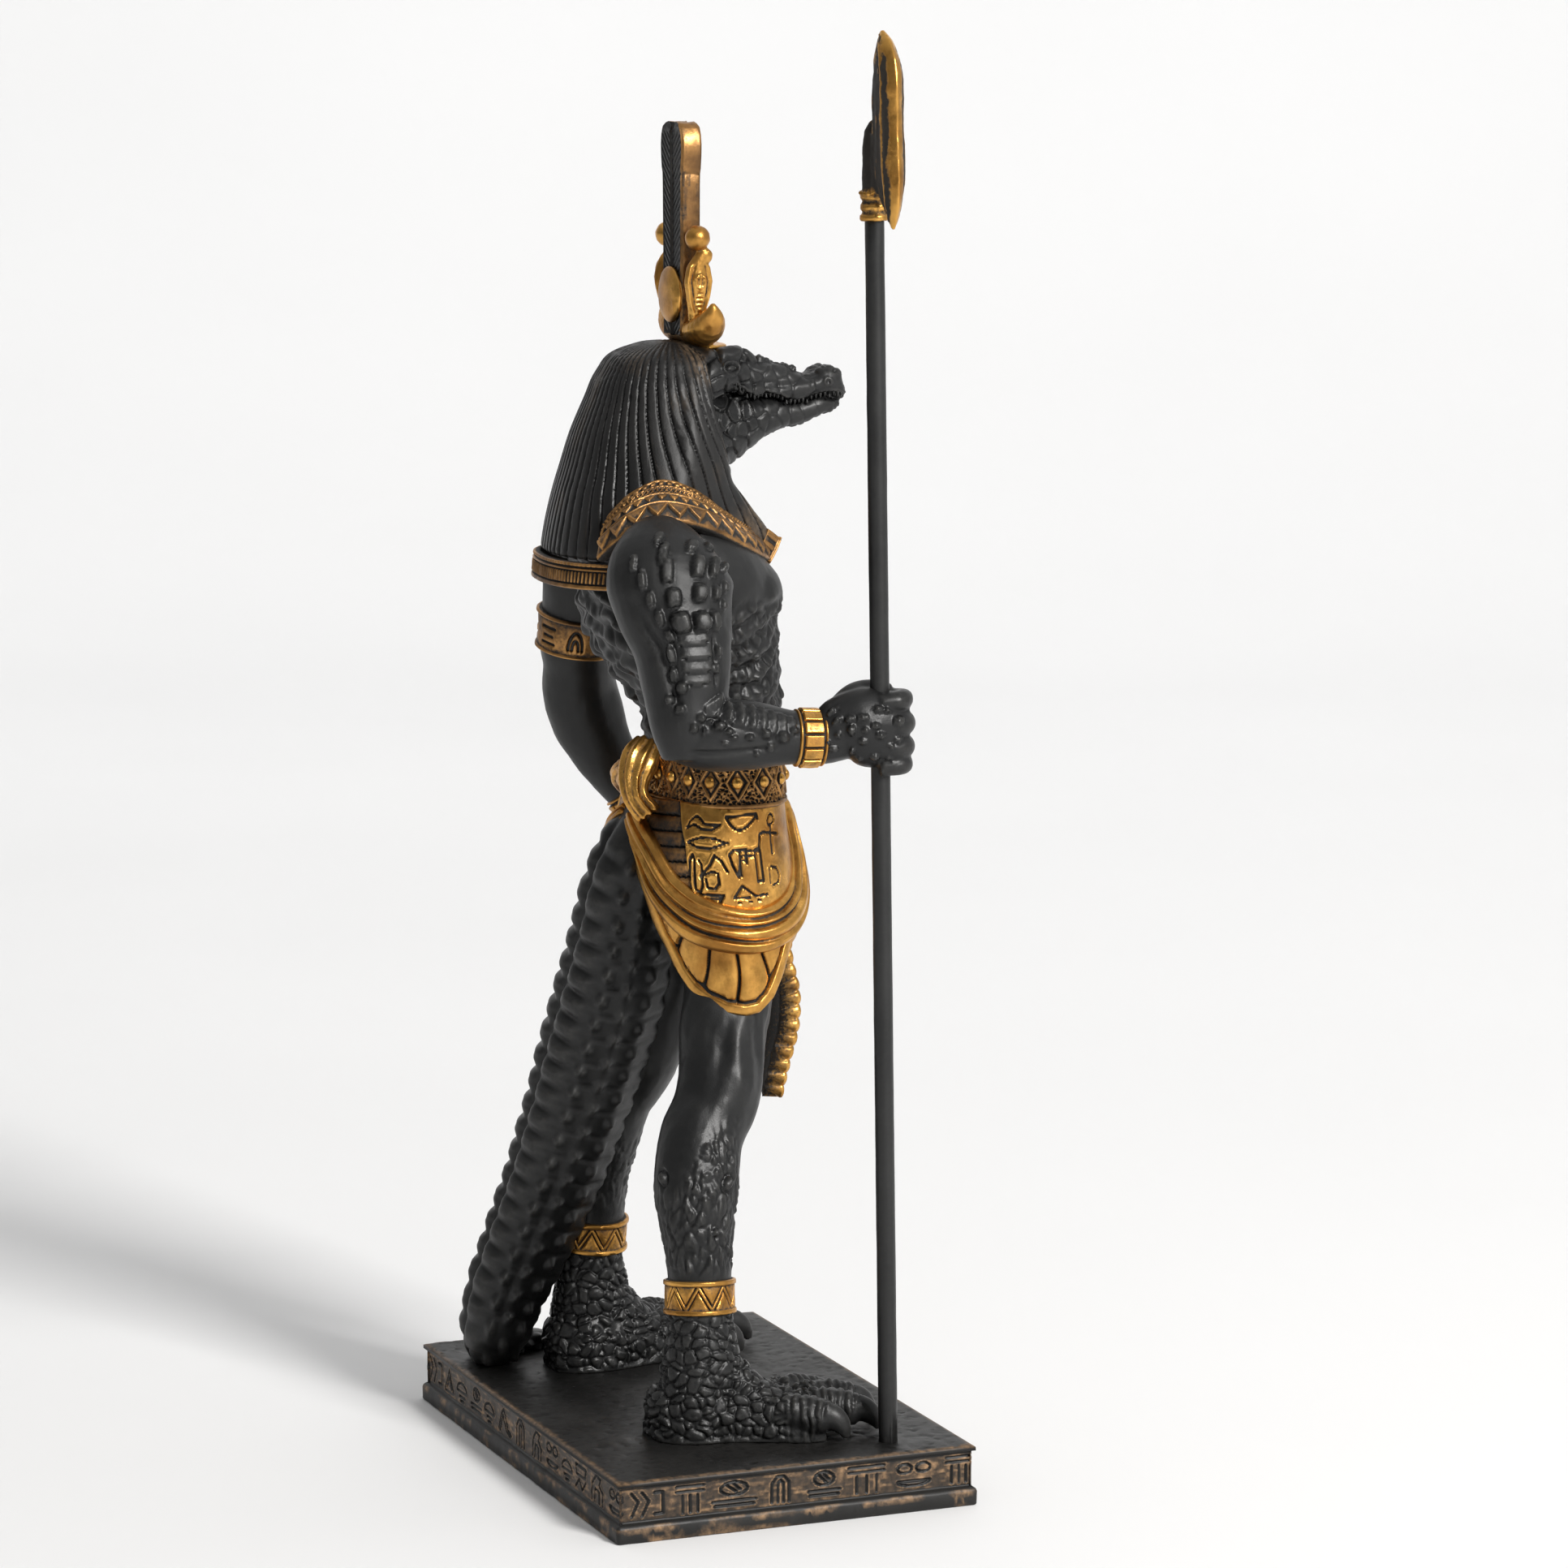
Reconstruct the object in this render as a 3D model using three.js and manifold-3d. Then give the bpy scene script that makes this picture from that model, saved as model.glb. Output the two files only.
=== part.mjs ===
// A crocodile-headed standing figure, cast in resin: a striding guard in a pleated wig, broad collar,
// belt, wrapped kilt and knotted sash, with a heavy crested tail that reaches the plinth behind him.
// He wears a plume crown and grips a tall staff with a crescent blade.
// Millimetres. +Z is up and the figure faces -Y, so his right side is at -X.
// The origin is the middle of the plinth's underside.
import * as THREE from 'three';
import { mergeVertices } from 'three/addons/utils/BufferGeometryUtils.js';
import Module from 'manifold-3d';

const wasm = await Module();
wasm.setup();

// Plinth, in millimetres.
const PLINTH_WIDTH = 122.6;
const PLINTH_DEPTH = 78.2;
const PLINTH_TALL = 12.6;
const PLATE_THICK = 1.1;
const BAND_RECESS = 1.0;
const MOULDING_TALL = 3.7;
const MOULDING_PROUD = 0.4;
const MOULDING_ROUND = 0.6;

// Figure: soles to the flat seat on top of the head. The body's stations are drawn at DRAWN_TALL,
// with their heights measured from the table under a plinth of SOLE_LEVEL, and scale with the figure.
const FIGURE_TALL = 221.4;
const DRAWN_TALL = 221.4;
const SOLE_LEVEL = 12.6;
const GLUE_LINE = 0.05;

// Crown.
const CROWN_TALL = 46.6;
const CROWN_DRAWN_TALL = 46.6;
const CROWN_FOOT_RADIUS = 7.1;
const CROWN_FOOT_THICK = 0.9;
const PLUME_THICK = 4.5;
const SUN_RADIUS = 5.9;
const SUN_HALF_THICK = 1.5;
const SERPENT_BALL_RADIUS = 2.6;

// Staff.
const STAFF_RADIUS = 1.95;
const STAFF_TOP_LEVEL = 266.5;
const STAFF_LEAN_DEG = 0.85;
const STAFF_CLEARANCE = 0.3;
const STAFF_SOCKET_DEEP = 3;
const HEAD_SLEEVE_RADIUS = 2.45;
const HEAD_SLEEVE_DEEP = 4;
const HEAD_RING_PROUD = 0.3;
const BLADE_THICK = 5;

const V = (x, y, z) => new THREE.Vector3(x, y, z);
const k = FIGURE_TALL / DRAWN_TALL;
const body = (x, y, z) => V(x * k, y * k, (z - SOLE_LEVEL) * k);

// Closed solids

// The same geometry with merged corners and no empty triangles, as a manifold.
function toManifold(geometry) {
  const bare = geometry.clone();
  for (const name of Object.keys(bare.attributes)) if (name !== 'position') bare.deleteAttribute(name);
  const merged = mergeVertices(bare, 1e-4);
  const from = merged.index.array;
  const kept = [];
  for (let i = 0; i < from.length; i += 3) {
    const [a, b, c] = [from[i], from[i + 1], from[i + 2]];
    if (a !== b && b !== c && c !== a) kept.push(a, b, c);
  }
  return new wasm.Manifold(new wasm.Mesh({
    numProp: 3,
    vertProperties: new Float32Array(merged.attributes.position.array),
    triVerts: new Uint32Array(kept),
  }));
}

function fromManifold(solid) {
  const mesh = solid.getMesh();
  const geometry = new THREE.BufferGeometry();
  geometry.setAttribute('position', new THREE.Float32BufferAttribute(mesh.vertProperties, 3));
  geometry.setIndex(Array.from(mesh.triVerts));
  geometry.computeVertexNormals();
  return geometry;
}

const united = (geometries) => geometries.map(toManifold).reduce((all, one) => all.add(one));

// The geometry of a closed shell, its faces turned outward.
function shell(points, faces) {
  const volume = faces.reduce((sum, [a, b, c]) => (
    sum + points[a].dot(V(0, 0, 0).crossVectors(points[b], points[c]))), 0);
  const order = volume < 0 ? ([a, b, c]) => [a, c, b] : (face) => face;
  const geometry = new THREE.BufferGeometry();
  const places = points.flatMap((p) => [p.x, p.y, p.z]);
  geometry.setAttribute('position', new THREE.Float32BufferAttribute(places, 3));
  geometry.setIndex(faces.flatMap(order));
  return geometry;
}

// A closed skin over rings that have the same number of points, capped at both ends.
function skin(rings) {
  const sides = rings[0].length;
  const points = rings.flat();
  const faces = [];
  for (let r = 0; r + 1 < rings.length; r += 1) {
    for (let s = 0; s < sides; s += 1) {
      const a = r * sides + s;
      const b = r * sides + ((s + 1) % sides);
      faces.push([a, b, b + sides], [a, b + sides, a + sides]);
    }
  }
  for (const first of [0, (rings.length - 1) * sides]) {
    const middle = points.length;
    const ring = points.slice(first, first + sides);
    points.push(ring.reduce((sum, p) => sum.add(p), V(0, 0, 0)).divideScalar(sides));
    for (let s = 0; s < sides; s += 1) {
      const edge = [first + s, first + ((s + 1) % sides)];
      faces.push(first === 0 ? [edge[1], edge[0], middle] : [edge[0], edge[1], middle]);
    }
  }
  return shell(points, faces);
}

// A ring of points on a rounded outline: round is 2 for an ellipse, more for a squarer one.
// The corners stand out enough for the ring to enclose the outline's own area.
function outline(middle, across, other, sides, { round = 2, flutes = 0, turn = 0 } = {}) {
  const ring = [];
  const step = (2 * Math.PI) / sides;
  const swell = Math.sqrt(step / Math.sin(step));
  for (let s = 0; s < sides; s += 1) {
    const angle = turn + step * s;
    const [c, d] = [Math.cos(angle), Math.sin(angle)];
    const rounded = (Math.abs(c) ** round + Math.abs(d) ** round) ** (-1 / round);
    const reach = swell * rounded * (s % 2 ? 1 - flutes : 1);
    ring.push(middle.clone().addScaledVector(across, c * reach).addScaledVector(other, d * reach));
  }
  return ring;
}

// A limb through stations [x, y, z, half width, half depth].
// Its width lies along ACROSS where its course allows.
function limb(stations, sides, { across = V(1, 0, 0), round = 2, place = body, size = k } = {}) {
  const middles = stations.map(([x, y, z]) => place(x, y, z));
  const rings = stations.map(([, , , wide, deep], i) => {
    const before = middles[Math.max(i - 1, 0)];
    const after = middles[Math.min(i + 1, middles.length - 1)];
    const along = after.clone().sub(before).normalize();
    const side = across.clone().addScaledVector(along, -across.dot(along)).normalize();
    const other = along.clone().cross(side);
    side.multiplyScalar(wide * size);
    other.multiplyScalar(deep * size);
    return outline(middles[i], side, other, sides, { round });
  });
  return skin(rings);
}

// A ring of level section [y, z, half width, rear half depth, front half depth].
function section([y, z, wide, rear, front = rear], sides, { round = 2, flutes = 0 } = {}) {
  const ring = outline(body(0, y, z), V(wide * k, 0, 0), V(0, rear * k, 0), sides, { round, flutes });
  const middle = body(0, y, z).y;
  for (const point of ring) if (point.y < middle) point.y = middle + ((point.y - middle) * front) / rear;
  return ring;
}

const stack = (sections, sides, shape = {}) => skin(sections.map((row) => section(row, sides, shape)));

// The chest, the collar and the hair on them are turned a little to his right about the upright axis.
const CHEST_TURN_DEG = -9;
const TURN_LEVELS = [[150, 0], [180, 1], [206, 1], [222, 0]];

function turned(geometry) {
  const at = geometry.attributes.position;
  for (let i = 0; i < at.count; i += 1) {
    const level = at.getZ(i) / k + SOLE_LEVEL;
    const angle = THREE.MathUtils.degToRad(CHEST_TURN_DEG) * readOff(TURN_LEVELS, level);
    const [x, y] = [at.getX(i), at.getY(i)];
    at.setXY(i, x * Math.cos(angle) - y * Math.sin(angle), x * Math.sin(angle) + y * Math.cos(angle));
  }
  return geometry;
}

// Value at a key in a table of [key, value], held level outside it.
function readOff(table, key) {
  const held = THREE.MathUtils.clamp(key, table[0][0], table[table.length - 1][0]);
  const i = Math.max(1, table.findIndex(([at]) => at >= held));
  const [[low, from], [high, to]] = [table[i - 1], table[i]];
  return from + ((to - from) * (held - low)) / (high - low);
}

function ball([x, y, z], [wide, deep, tall], { sides = 10, place = body, size = k, tip = 0 } = {}) {
  const geometry = new THREE.SphereGeometry(size, sides, Math.max(4, Math.round(sides * 0.6)));
  geometry.rotateX(Math.PI / 2);
  geometry.scale(wide, deep, tall);
  geometry.rotateX(THREE.MathUtils.degToRad(tip));
  const at = place(x, y, z);
  return geometry.translate(at.x, at.y, at.z);
}

const flipped = (stations) => stations.map(([x, ...rest]) => [-x, ...rest]);

// Body

const TRUNK = [
  [8.5, 210, 12, 9], [8, 204, 23, 12], [6.4, 197.5, 29.5, 16.4], [4, 190, 31.4, 19.8],
  [1.8, 177, 28, 19.4], [-1, 167.5, 24.2, 17], [-4.5, 159.6, 20.8, 13.9], [-5.4, 154, 20, 13.2],
  [-5.4, 151.2, 21, 13],
];
const CHEST = [[11.6, -10, 184.4], [12, 7.2, 7.6]];

// The anklet is the step of four rows above the heel.
const LEG = [
  [11, -5.2, 120, 9, 9.4], [15, -2.9, 100.6, 9.2, 9.6], [17, -1.1, 94.5, 9.2, 9.4],
  [18.9, -0.1, 88, 9, 9.2], [20.4, 1.1, 83.3, 8.9, 9.1], [21.8, 3.2, 78.5, 8.5, 8.7],
  [23.8, 6.4, 73.5, 8.4, 8.7], [25.8, 8.2, 68, 8.6, 8.8], [27.8, 9.4, 61.9, 8.4, 8.6],
  [29.6, 9.8, 55.4, 7.3, 7.5], [31.2, 9.9, 46, 6.4, 6.6], [31.3, 9.9, 45.4, 7.1, 7.3],
  [32.2, 10.2, 38.4, 7.2, 7.4], [32.3, 10.2, 37.8, 6.5, 6.7], [32.5, 10.2, 27, 7.6, 8.4],
  [32.4, 10.6, 12.4, 8, 9.4],
];
// How far the left leg stands behind the right one, by level.
const LEFT_LEG_BACK = [[44, 0], [62, 1], [84, 2.3], [100, 1.6], [112, 0]];

// Foot: [x, y, half width, height over the sole], from heel to toe roots.
const FOOT = [
  [30.4, 20.6, 4.6, 6], [30.8, 18, 7, 10.4], [31.6, 9, 8.8, 17], [33.4, 2, 9.2, 16.4],
  [34.8, -2, 9.8, 12], [36.6, -8, 10.6, 9.2], [37.4, -12, 9.8, 7.2],
];
// Toe: root, knuckle and claw tip in plan.
const TOES = [
  [[41, -2], [45.6, -9.6], [49, -15.4]],
  [[39, -8], [42, -17], [44.6, -24.4]],
  [[34.5, -9], [34.8, -19], [34.6, -27]],
  [[30, -6], [27.6, -14.6], [25.6, -21.6]],
];
const TOE_TALL = 9.2;

function foot(side) {
  const parts = [];
  const at = (x, y, z) => body(side * x, y, SOLE_LEVEL + z);
  parts.push(skin(FOOT.map(([x, y, wide, tall]) => {
    const ring = [];
    for (let s = 0; s <= 6; s += 1) {
      const angle = (Math.PI * s) / 6;
      ring.push(at(x + wide * Math.cos(angle), y, tall * Math.sin(angle) ** 0.7 - 0.4));
    }
    return ring;
  })));
  for (const [[rx, ry], [kx, ky], [tx, ty]] of TOES) {
    const [mx, my] = [rx + (kx - rx) * 0.6, ry + (ky - ry) * 0.6];
    const toe = [
      [rx, ry, 4.6, 3, 3.8], [mx, my, TOE_TALL * 0.6, 3, 3.6],
      [kx, ky, TOE_TALL * 0.58, 2.7, 3.5], [tx, ty, 0.8, 0.6, 0.8],
    ];
    parts.push(limb(toe.map(([x, y, z, w, d]) => [side * x, y, SOLE_LEVEL + z, w, d]), 5));
  }
  return parts;
}

// Everything of the feet and tail below the sole plane goes.
function soleCut() {
  const box = new THREE.BoxGeometry(300 * k, 300 * k, 40 * k);
  return toManifold(box.translate(0, 0, -20 * k));
}

// Tail: stations, and a crest of lobes along its rear and front edges.
const TAIL = [
  [0, 5, 138, 8, 7], [2, 9.5, 129, 8.6, 8.8], [5, 11.3, 120, 9, 9.6], [8, 11.7, 111, 9.6, 10.2],
  [11, 12.4, 102, 10, 10.8], [14.5, 13.6, 92.6, 10, 11], [18, 15, 83.3, 9.8, 11],
  [21, 16.7, 74, 9.4, 10.6], [24, 18.6, 64.8, 9, 10.2], [27, 20.8, 55.5, 8.6, 9.8],
  [30, 23.5, 46.2, 8.2, 9.4], [33, 26.6, 36.5, 7.8, 8.8], [35.6, 29.2, 28, 7.4, 8],
  [38, 30.4, 20, 6.8, 7], [42, 29.6, 15.6, 5.6, 5], [46.6, 25.6, 14.6, 4.4, 3.6],
  [49.8, 17, 14, 3, 2.6], [50.2, 7.6, 13.2, 1, 0.8],
];
const TAIL_SIDES = 10;
const REAR_LOBES_PROUD = 1.3;
const FRONT_LOBES_PROUD = 0.8;
const LOBE_PITCH = 9.2;
const LOBED_SPAN = [0.05, 0.84];

function tail() {
  const points = TAIL.map(([x, y, z]) => body(x, y, z));
  const curve = new THREE.CatmullRomCurve3(points, false, 'catmullrom', 0.5);
  const lobes = Math.round((curve.getLength() * (LOBED_SPAN[1] - LOBED_SPAN[0])) / (LOBE_PITCH * k));
  const shares = [0];
  const lobeShare = (LOBED_SPAN[1] - LOBED_SPAN[0]) / lobes;
  for (let n = 0; n < lobes; n += 1) {
    for (const part of [0.1, 0.6]) shares.push(LOBED_SPAN[0] + lobeShare * (n + part));
  }
  shares.push(LOBED_SPAN[1], 0.9, 0.95, 1);
  const rings = shares.map((share, i) => {
    const along = share * (TAIL.length - 1);
    const n = Math.min(Math.floor(along), TAIL.length - 2);
    const [wide, deep] = [3, 4].map((axis) => (
      TAIL[n][axis] + (TAIL[n + 1][axis] - TAIL[n][axis]) * (along - n)));
    const course = curve.getTangent(share);
    const side = V(1, 0, 0).addScaledVector(course, -course.x).normalize();
    const back = side.clone().cross(course);
    side.multiplyScalar(wide * k);
    back.multiplyScalar(deep * k);
    const ring = outline(curve.getPoint(share), side, back, TAIL_SIDES, { round: 2.3 });
    const crested = i > 0 && i % 2 === 0 && share < LOBED_SPAN[1];
    if (crested) {
      for (const spoke of [2, 3, 7, 8]) {
        const out = ring[spoke].clone().sub(curve.getPoint(share)).normalize();
        ring[spoke].addScaledVector(out, (spoke < 5 ? REAR_LOBES_PROUD : FRONT_LOBES_PROUD) * k);
      }
    }
    return ring;
  });
  return skin(rings);
}

// Arms: right arm bent forward to the staff, left arm hanging with the fist at the hip.
// Armband and wristbands are steps in the rows, and each hand's palm ends its arm.
const RIGHT_ARM = [
  [-25, 14, 195.4, 6, 7], [-31.4, 16.2, 193.2, 9, 12], [-35, 17.4, 190, 10.6, 13.2],
  [-37.6, 17.6, 185, 10.1, 12], [-40, 16.8, 178, 9.1, 10.2], [-42, 16.7, 167.6, 7.9, 8.6],
  [-43.4, 17, 160, 6.4, 6.8], [-43.6, 17, 155.2, 4.4, 5],
];
const RIGHT_FOREARM = [
  [-43, 21, 160.3, 4.2, 4.6], [-44, 15, 160.2, 6.4, 6.9], [-46, 4.3, 159.8, 6.4, 7],
  [-47.8, -3.8, 159.2, 5, 5.4], [-48, -4.4, 159.1, 5.6, 6], [-48.7, -9.8, 158.9, 5.4, 5.8],
  [-48.8, -10.4, 158.9, 4.7, 5.3], [-49.6, -14, 160.6, 5, 6.6], [-50.6, -17.8, 161, 5.6, 7.8],
  [-51, -22, 160.4, 5.6, 7.8], [-50.4, -26.4, 159.6, 4, 7],
];
const LEFT_ARM = [
  [26, 4, 196.4, 6, 7], [31.6, 6.6, 194, 9, 11], [34.4, 8, 189.6, 9.8, 11.6],
  [35.6, 9.2, 182, 8.9, 10], [37.4, 10, 176.2, 8.1, 8.3], [37.5, 10, 175.6, 8.9, 9.1],
  [39.4, 10.4, 168, 8.4, 8.6], [39.6, 10.4, 167.4, 7.5, 7.7], [42, 8.9, 159.1, 7.6, 7.9],
  [42.6, 7.2, 153.4, 7.8, 8.1], [40.8, 3.6, 144.4, 6.3, 6.7], [39.5, -1.2, 137.4, 5.6, 5.8],
  [39.2, -1.8, 136.7, 6.3, 6.5], [38.1, -4.6, 132.6, 5.6, 5.9], [37.9, -5, 131.9, 4.6, 5],
  [37, -8, 127.4, 4.6, 6], [36.6, -9.8, 122.8, 5, 6.8], [36.4, -10.6, 118.8, 4.4, 6],
];

// Fingers: [level of the knuckle, radius] from the first finger to the last.
const FINGERS = [[166.4, 2.1], [161.6, 2.5], [156.9, 2.4], [153.4, 2.1]];

function rightFingers() {
  const parts = FINGERS.map(([z, r]) => limb([
    [-53.6, -20.4, z - 0.4, r * 0.9, r], [-53.9, -25.4, z, r, r],
    [-49.6, -26.4, z - 0.2, r, r], [-46, -22.4, z - 0.6, r * 0.9, r],
  ], 5, { across: V(0, 0, 1) }));
  parts.push(limb([
    [-48.8, -13.6, 163.4, 2.6, 2.6], [-47.6, -19.4, 167, 2.6, 2.4], [-48.6, -25, 167.4, 1.6, 1.6],
  ], 6, { across: V(0, 0, 1) }));
  return parts;
}

function leftFingers() {
  const parts = [];
  for (let n = 0; n < 4; n += 1) {
    const y = -16.2 + n * 3.3;
    const z = 119.4 - n * 0.8;
    parts.push(limb([
      [39.6, y, z + 3, 1.8, 1.8], [38.6, y - 0.2, z - 2, 1.8, 1.8], [33, y, z - 1, 1.6, 1.6],
    ], 5, { across: V(0, 1, 0) }));
  }
  return parts;
}

// Head: stations [y, top, bottom, half width] of each jaw along the snout.
const UPPER_JAW = [
  [6, 234.6, 219, 11.4], [-5, 234.6, 223, 10.8], [-9, 233.4, 224.4, 9.2], [-12.6, 231.8, 223.6, 7.4],
  [-17, 231.6, 222.5, 6.2], [-25.6, 228.4, 222.3, 4.8], [-28, 229.2, 223.3, 4.9], [-31, 229.6, 223.7, 5],
  [-33.4, 228, 223, 4.2], [-35.2, 225.8, 222.6, 2.4],
];
const LOWER_JAW = [
  [6, 227, 208, 11], [-5, 225.6, 208.8, 10.2], [-8.5, 225.2, 210, 8.8], [-12, 224.2, 212.6, 7.4],
  [-17, 223.1, 215.9, 5.9], [-24, 222.8, 217.5, 4.6], [-28, 224, 219.2, 4.4], [-33.2, 223.2, 220.8, 2.6],
];

function head() {
  const squared = { round: 2.4, turn: Math.PI / 10 };
  const parts = [UPPER_JAW, LOWER_JAW].map((stations) => skin(stations.map(([y, top, bottom, wide]) => {
    const tall = V(0, 0, ((top - bottom) / 2) * k);
    return outline(body(0, y, (top + bottom) / 2), V(wide * k, 0, 0), tall, 10, squared);
  })));
  for (const side of [-1, 1]) {
    parts.push(ball([side * 5, -8.6, 233], [2.4, 4.6, 1.9], { sides: 6, tip: -6 }));
    parts.push(ball([side * 7.4, -10.4, 231], [1.7, 2, 1.7], { sides: 6 }));
    parts.push(ball([side * 2, -31.4, 228.7], [1.8, 2.6, 1.5], { sides: 6 }));
    parts.push(ball([side * 9.6, -3, 219.6], [2.6, 4.6, 4.4], { sides: 6 }));
  }
  parts.push(stack([[4, 219, 13, 11], [3.4, 208, 15, 11.6], [5, 198, 15, 12]], 10));
  return parts;
}

// Wig: fluted stack, hem band behind, and two lappets that frame the face and lie on the chest.
// Its sections are [y, z, half width, rear half depth, front half depth].
const WIG = [
  [3, 235.4, 7.4, 8, 5], [3, 233, 11.8, 11.8, 8], [3.5, 229.4, 14.6, 14.8, 8],
  [4, 224.3, 16.8, 17.2, 5], [4.8, 217.5, 19.6, 19.2, 5], [7.6, 206, 24.4, 19.8, 8],
  [9.6, 197.5, 25.4, 19.8, 8], [10.8, 192.6, 25, 19.4, 8],
];
const WIG_FLUTES = 13;
const WIG_FLUTE_SHARE = 0.035;
const HEM = [[11, 192.2, 25.8, 20.4, 9], [11.5, 187, 25.2, 20.4, 9]];
const LAPPET = [
  [13, 3.4, 230, 2, 2], [14.8, 3.2, 221, 3, 4.8], [16.6, 3.2, 213, 3.4, 7.6], [16.4, 2, 206, 3.4, 8.6],
  [13.8, -5.2, 199, 3, 6.8], [10.8, -11, 194.8, 2.6, 4], [10.7, -11.5, 194.4, 3.1, 4.8],
  [8.8, -13.9, 190.8, 2.9, 3],
];
const LAPPET_FACE = V(0.9, -0.4, 0.15);

function wig() {
  const fluted = { round: 2.3, flutes: WIG_FLUTE_SHARE };
  const rings = WIG.map((row) => section(row, WIG_FLUTES * 2, fluted));
  rings.push(...HEM.map((row) => section(row, WIG_FLUTES * 2, { round: 2.4 })));
  const parts = [turned(skin(rings))];
  for (const side of [-1, 1]) {
    const face = LAPPET_FACE.clone().multiply(V(side, 1, 1));
    parts.push(limb(LAPPET.map(([x, ...rest]) => [side * x, ...rest]), 8, { across: face, round: 3 }));
  }
  return parts;
}

// Broad collar: a strap laid over the shoulders and down to the lappets, its ends hidden under the wig.
// Its rows are [degrees from his front, x and y of the middle on his left, level, half strap, slope].
const COLLAR = [
  [0, 0, -14, 193.4, 4.4, 60], [30, 11, -11.4, 194.4, 4.6, 50], [55, 20, -5.2, 198, 5, 44],
  [75, 25.6, 3, 202.8, 5.2, 42], [95, 28, 12, 205, 5.4, 42], [115, 28.6, 18.6, 202.4, 5.4, 46],
  [130, 24, 21, 199, 5, 55],
];
const COLLAR_REACH = 130;
const COLLAR_THICK = 1.5;
const COLLAR_STEPS = 16;

function collar() {
  const rings = [];
  for (let n = 0; n <= COLLAR_STEPS; n += 1) {
    const degrees = COLLAR_REACH * ((2 * n) / COLLAR_STEPS - 1);
    const [x, y, level, half, slope] = [1, 2, 3, 4, 5].map((axis) => (
      readOff(COLLAR.map((row) => [row[0], row[axis]]), Math.abs(degrees))));
    const angle = THREE.MathUtils.degToRad(degrees - 90);
    const out = V(Math.cos(angle), Math.sin(angle), 0);
    const middle = body(Math.sign(degrees) * x, y, level);
    const fall = THREE.MathUtils.degToRad(slope);
    const down = out.clone().multiplyScalar(Math.cos(fall)).setZ(-Math.sin(fall));
    const proud = out.clone().multiplyScalar(Math.sin(fall)).setZ(Math.cos(fall));
    rings.push([[-1, 1], [-1, -1], [1, -1], [1, 1]].map(([a, b]) => (
      middle.clone().addScaledVector(down, a * half * k).addScaledVector(proud, b * COLLAR_THICK * k))));
  }
  return turned(skin(rings));
}

// Kilt: level sections as for the trunk, closed below by a hem that dips at each hip.
// Hem: [degrees from his front, level].
const KILT = [
  [-4.8, 142.8, 24.2, 14], [-3.6, 134, 25, 16.6], [-4, 127, 25.4, 17.6], [-4.8, 119.6, 25.4, 17.6],
  [-6, 109.2, 25.4, 15.4], [-5.8, 101, 25.4, 13.6], [-5.6, 93, 25, 11.6],
];
const KILT_ROUND = 2.3;
const HEM_LEVELS = [
  [0, 114], [40, 113.5], [58, 111], [68, 103.6], [80, 99.2], [100, 98], [124, 99.4], [140, 102.4],
  [150, 107], [158, 120], [180, 131],
];
const KILT_TOP = 140.6;
const KILT_STEPS = 22;
const KILT_RINGS = 3;
const BELT = [[-5.3, 150.6, 24, 13.4], [-5.1, 141.2, 25, 14]];
const STUDS = 14;
const STUD_LEVEL = 146.6;
const STUD_PROUD = 1.6;

// A point on the kilt at an angle from the front, in degrees, pushed out by PROUD.
function onKilt(degrees, level, proud) {
  const [y, wide, deep] = [0, 2, 3].map((axis) => readOff(KILT.map((row) => [-row[1], row[axis]]), -level));
  const angle = THREE.MathUtils.degToRad(degrees - 90);
  const [c, s] = [Math.cos(angle), Math.sin(angle)];
  const reach = (Math.abs(c) ** KILT_ROUND + Math.abs(s) ** KILT_ROUND) ** (-1 / KILT_ROUND);
  return body(c * reach * (wide + proud), y + s * reach * (deep + proud), level);
}

// Trunk, belt and kilt in one stack, hollowed a little under the hem.
function torso() {
  const rings = [...TRUNK, ...BELT].map((row) => section(row, KILT_STEPS, { round: 2.4 }));
  for (let r = 0; r <= KILT_RINGS; r += 1) {
    rings.push(Array.from({ length: KILT_STEPS }, (_, n) => {
      const degrees = (90 + (360 * n) / KILT_STEPS) % 360;
      const hem = readOff(HEM_LEVELS, degrees > 180 ? 360 - degrees : degrees);
      return onKilt(degrees, KILT_TOP + ((hem - KILT_TOP) * r) / KILT_RINGS, 0);
    }));
  }
  const inward = (point) => point.clone().lerp(body(0, -6, 0).setZ(point.z), 0.12);
  rings.push(rings[rings.length - 1].map(inward));
  return turned(skin(rings));
}

// Sash: a swag of folded cloth from a knot behind each hip, low over the hip and across the front.
// Its rows are [degrees from his front, level, half width].
const SASH = [
  [176, 137.4, 2.8], [158, 132, 3.4], [142, 123.4, 4.4], [128, 119, 5], [104, 116.4, 4.9],
  [80, 116.2, 4.7], [60, 118, 4.5], [42, 121.8, 4.3], [28, 129.6, 3.7], [15, 138, 3],
];
const SASH_THICK = 1.7;
const SASH_FOLDS = 0.14;

function sash() {
  const rows = [...SASH, ...[...SASH].reverse().map(([degrees, ...rest]) => [-degrees, ...rest])];
  return skin(rows.map(([degrees, level, half], i) => {
    const middle = onKilt(degrees, level, SASH_THICK * 0.3);
    const before = rows[Math.max(i - 1, 0)];
    const after = rows[Math.min(i + 1, rows.length - 1)];
    const course = onKilt(after[0], after[1], 0).sub(onKilt(before[0], before[1], 0)).normalize();
    const out = middle.clone().setZ(0).sub(body(0, -6, SOLE_LEVEL)).normalize();
    out.addScaledVector(course, -out.dot(course)).normalize();
    const across = out.clone().cross(course);
    across.multiplyScalar(half * k);
    out.multiplyScalar(SASH_THICK * k);
    return outline(middle, across, out, 8, { flutes: SASH_FOLDS });
  }));
}

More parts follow.
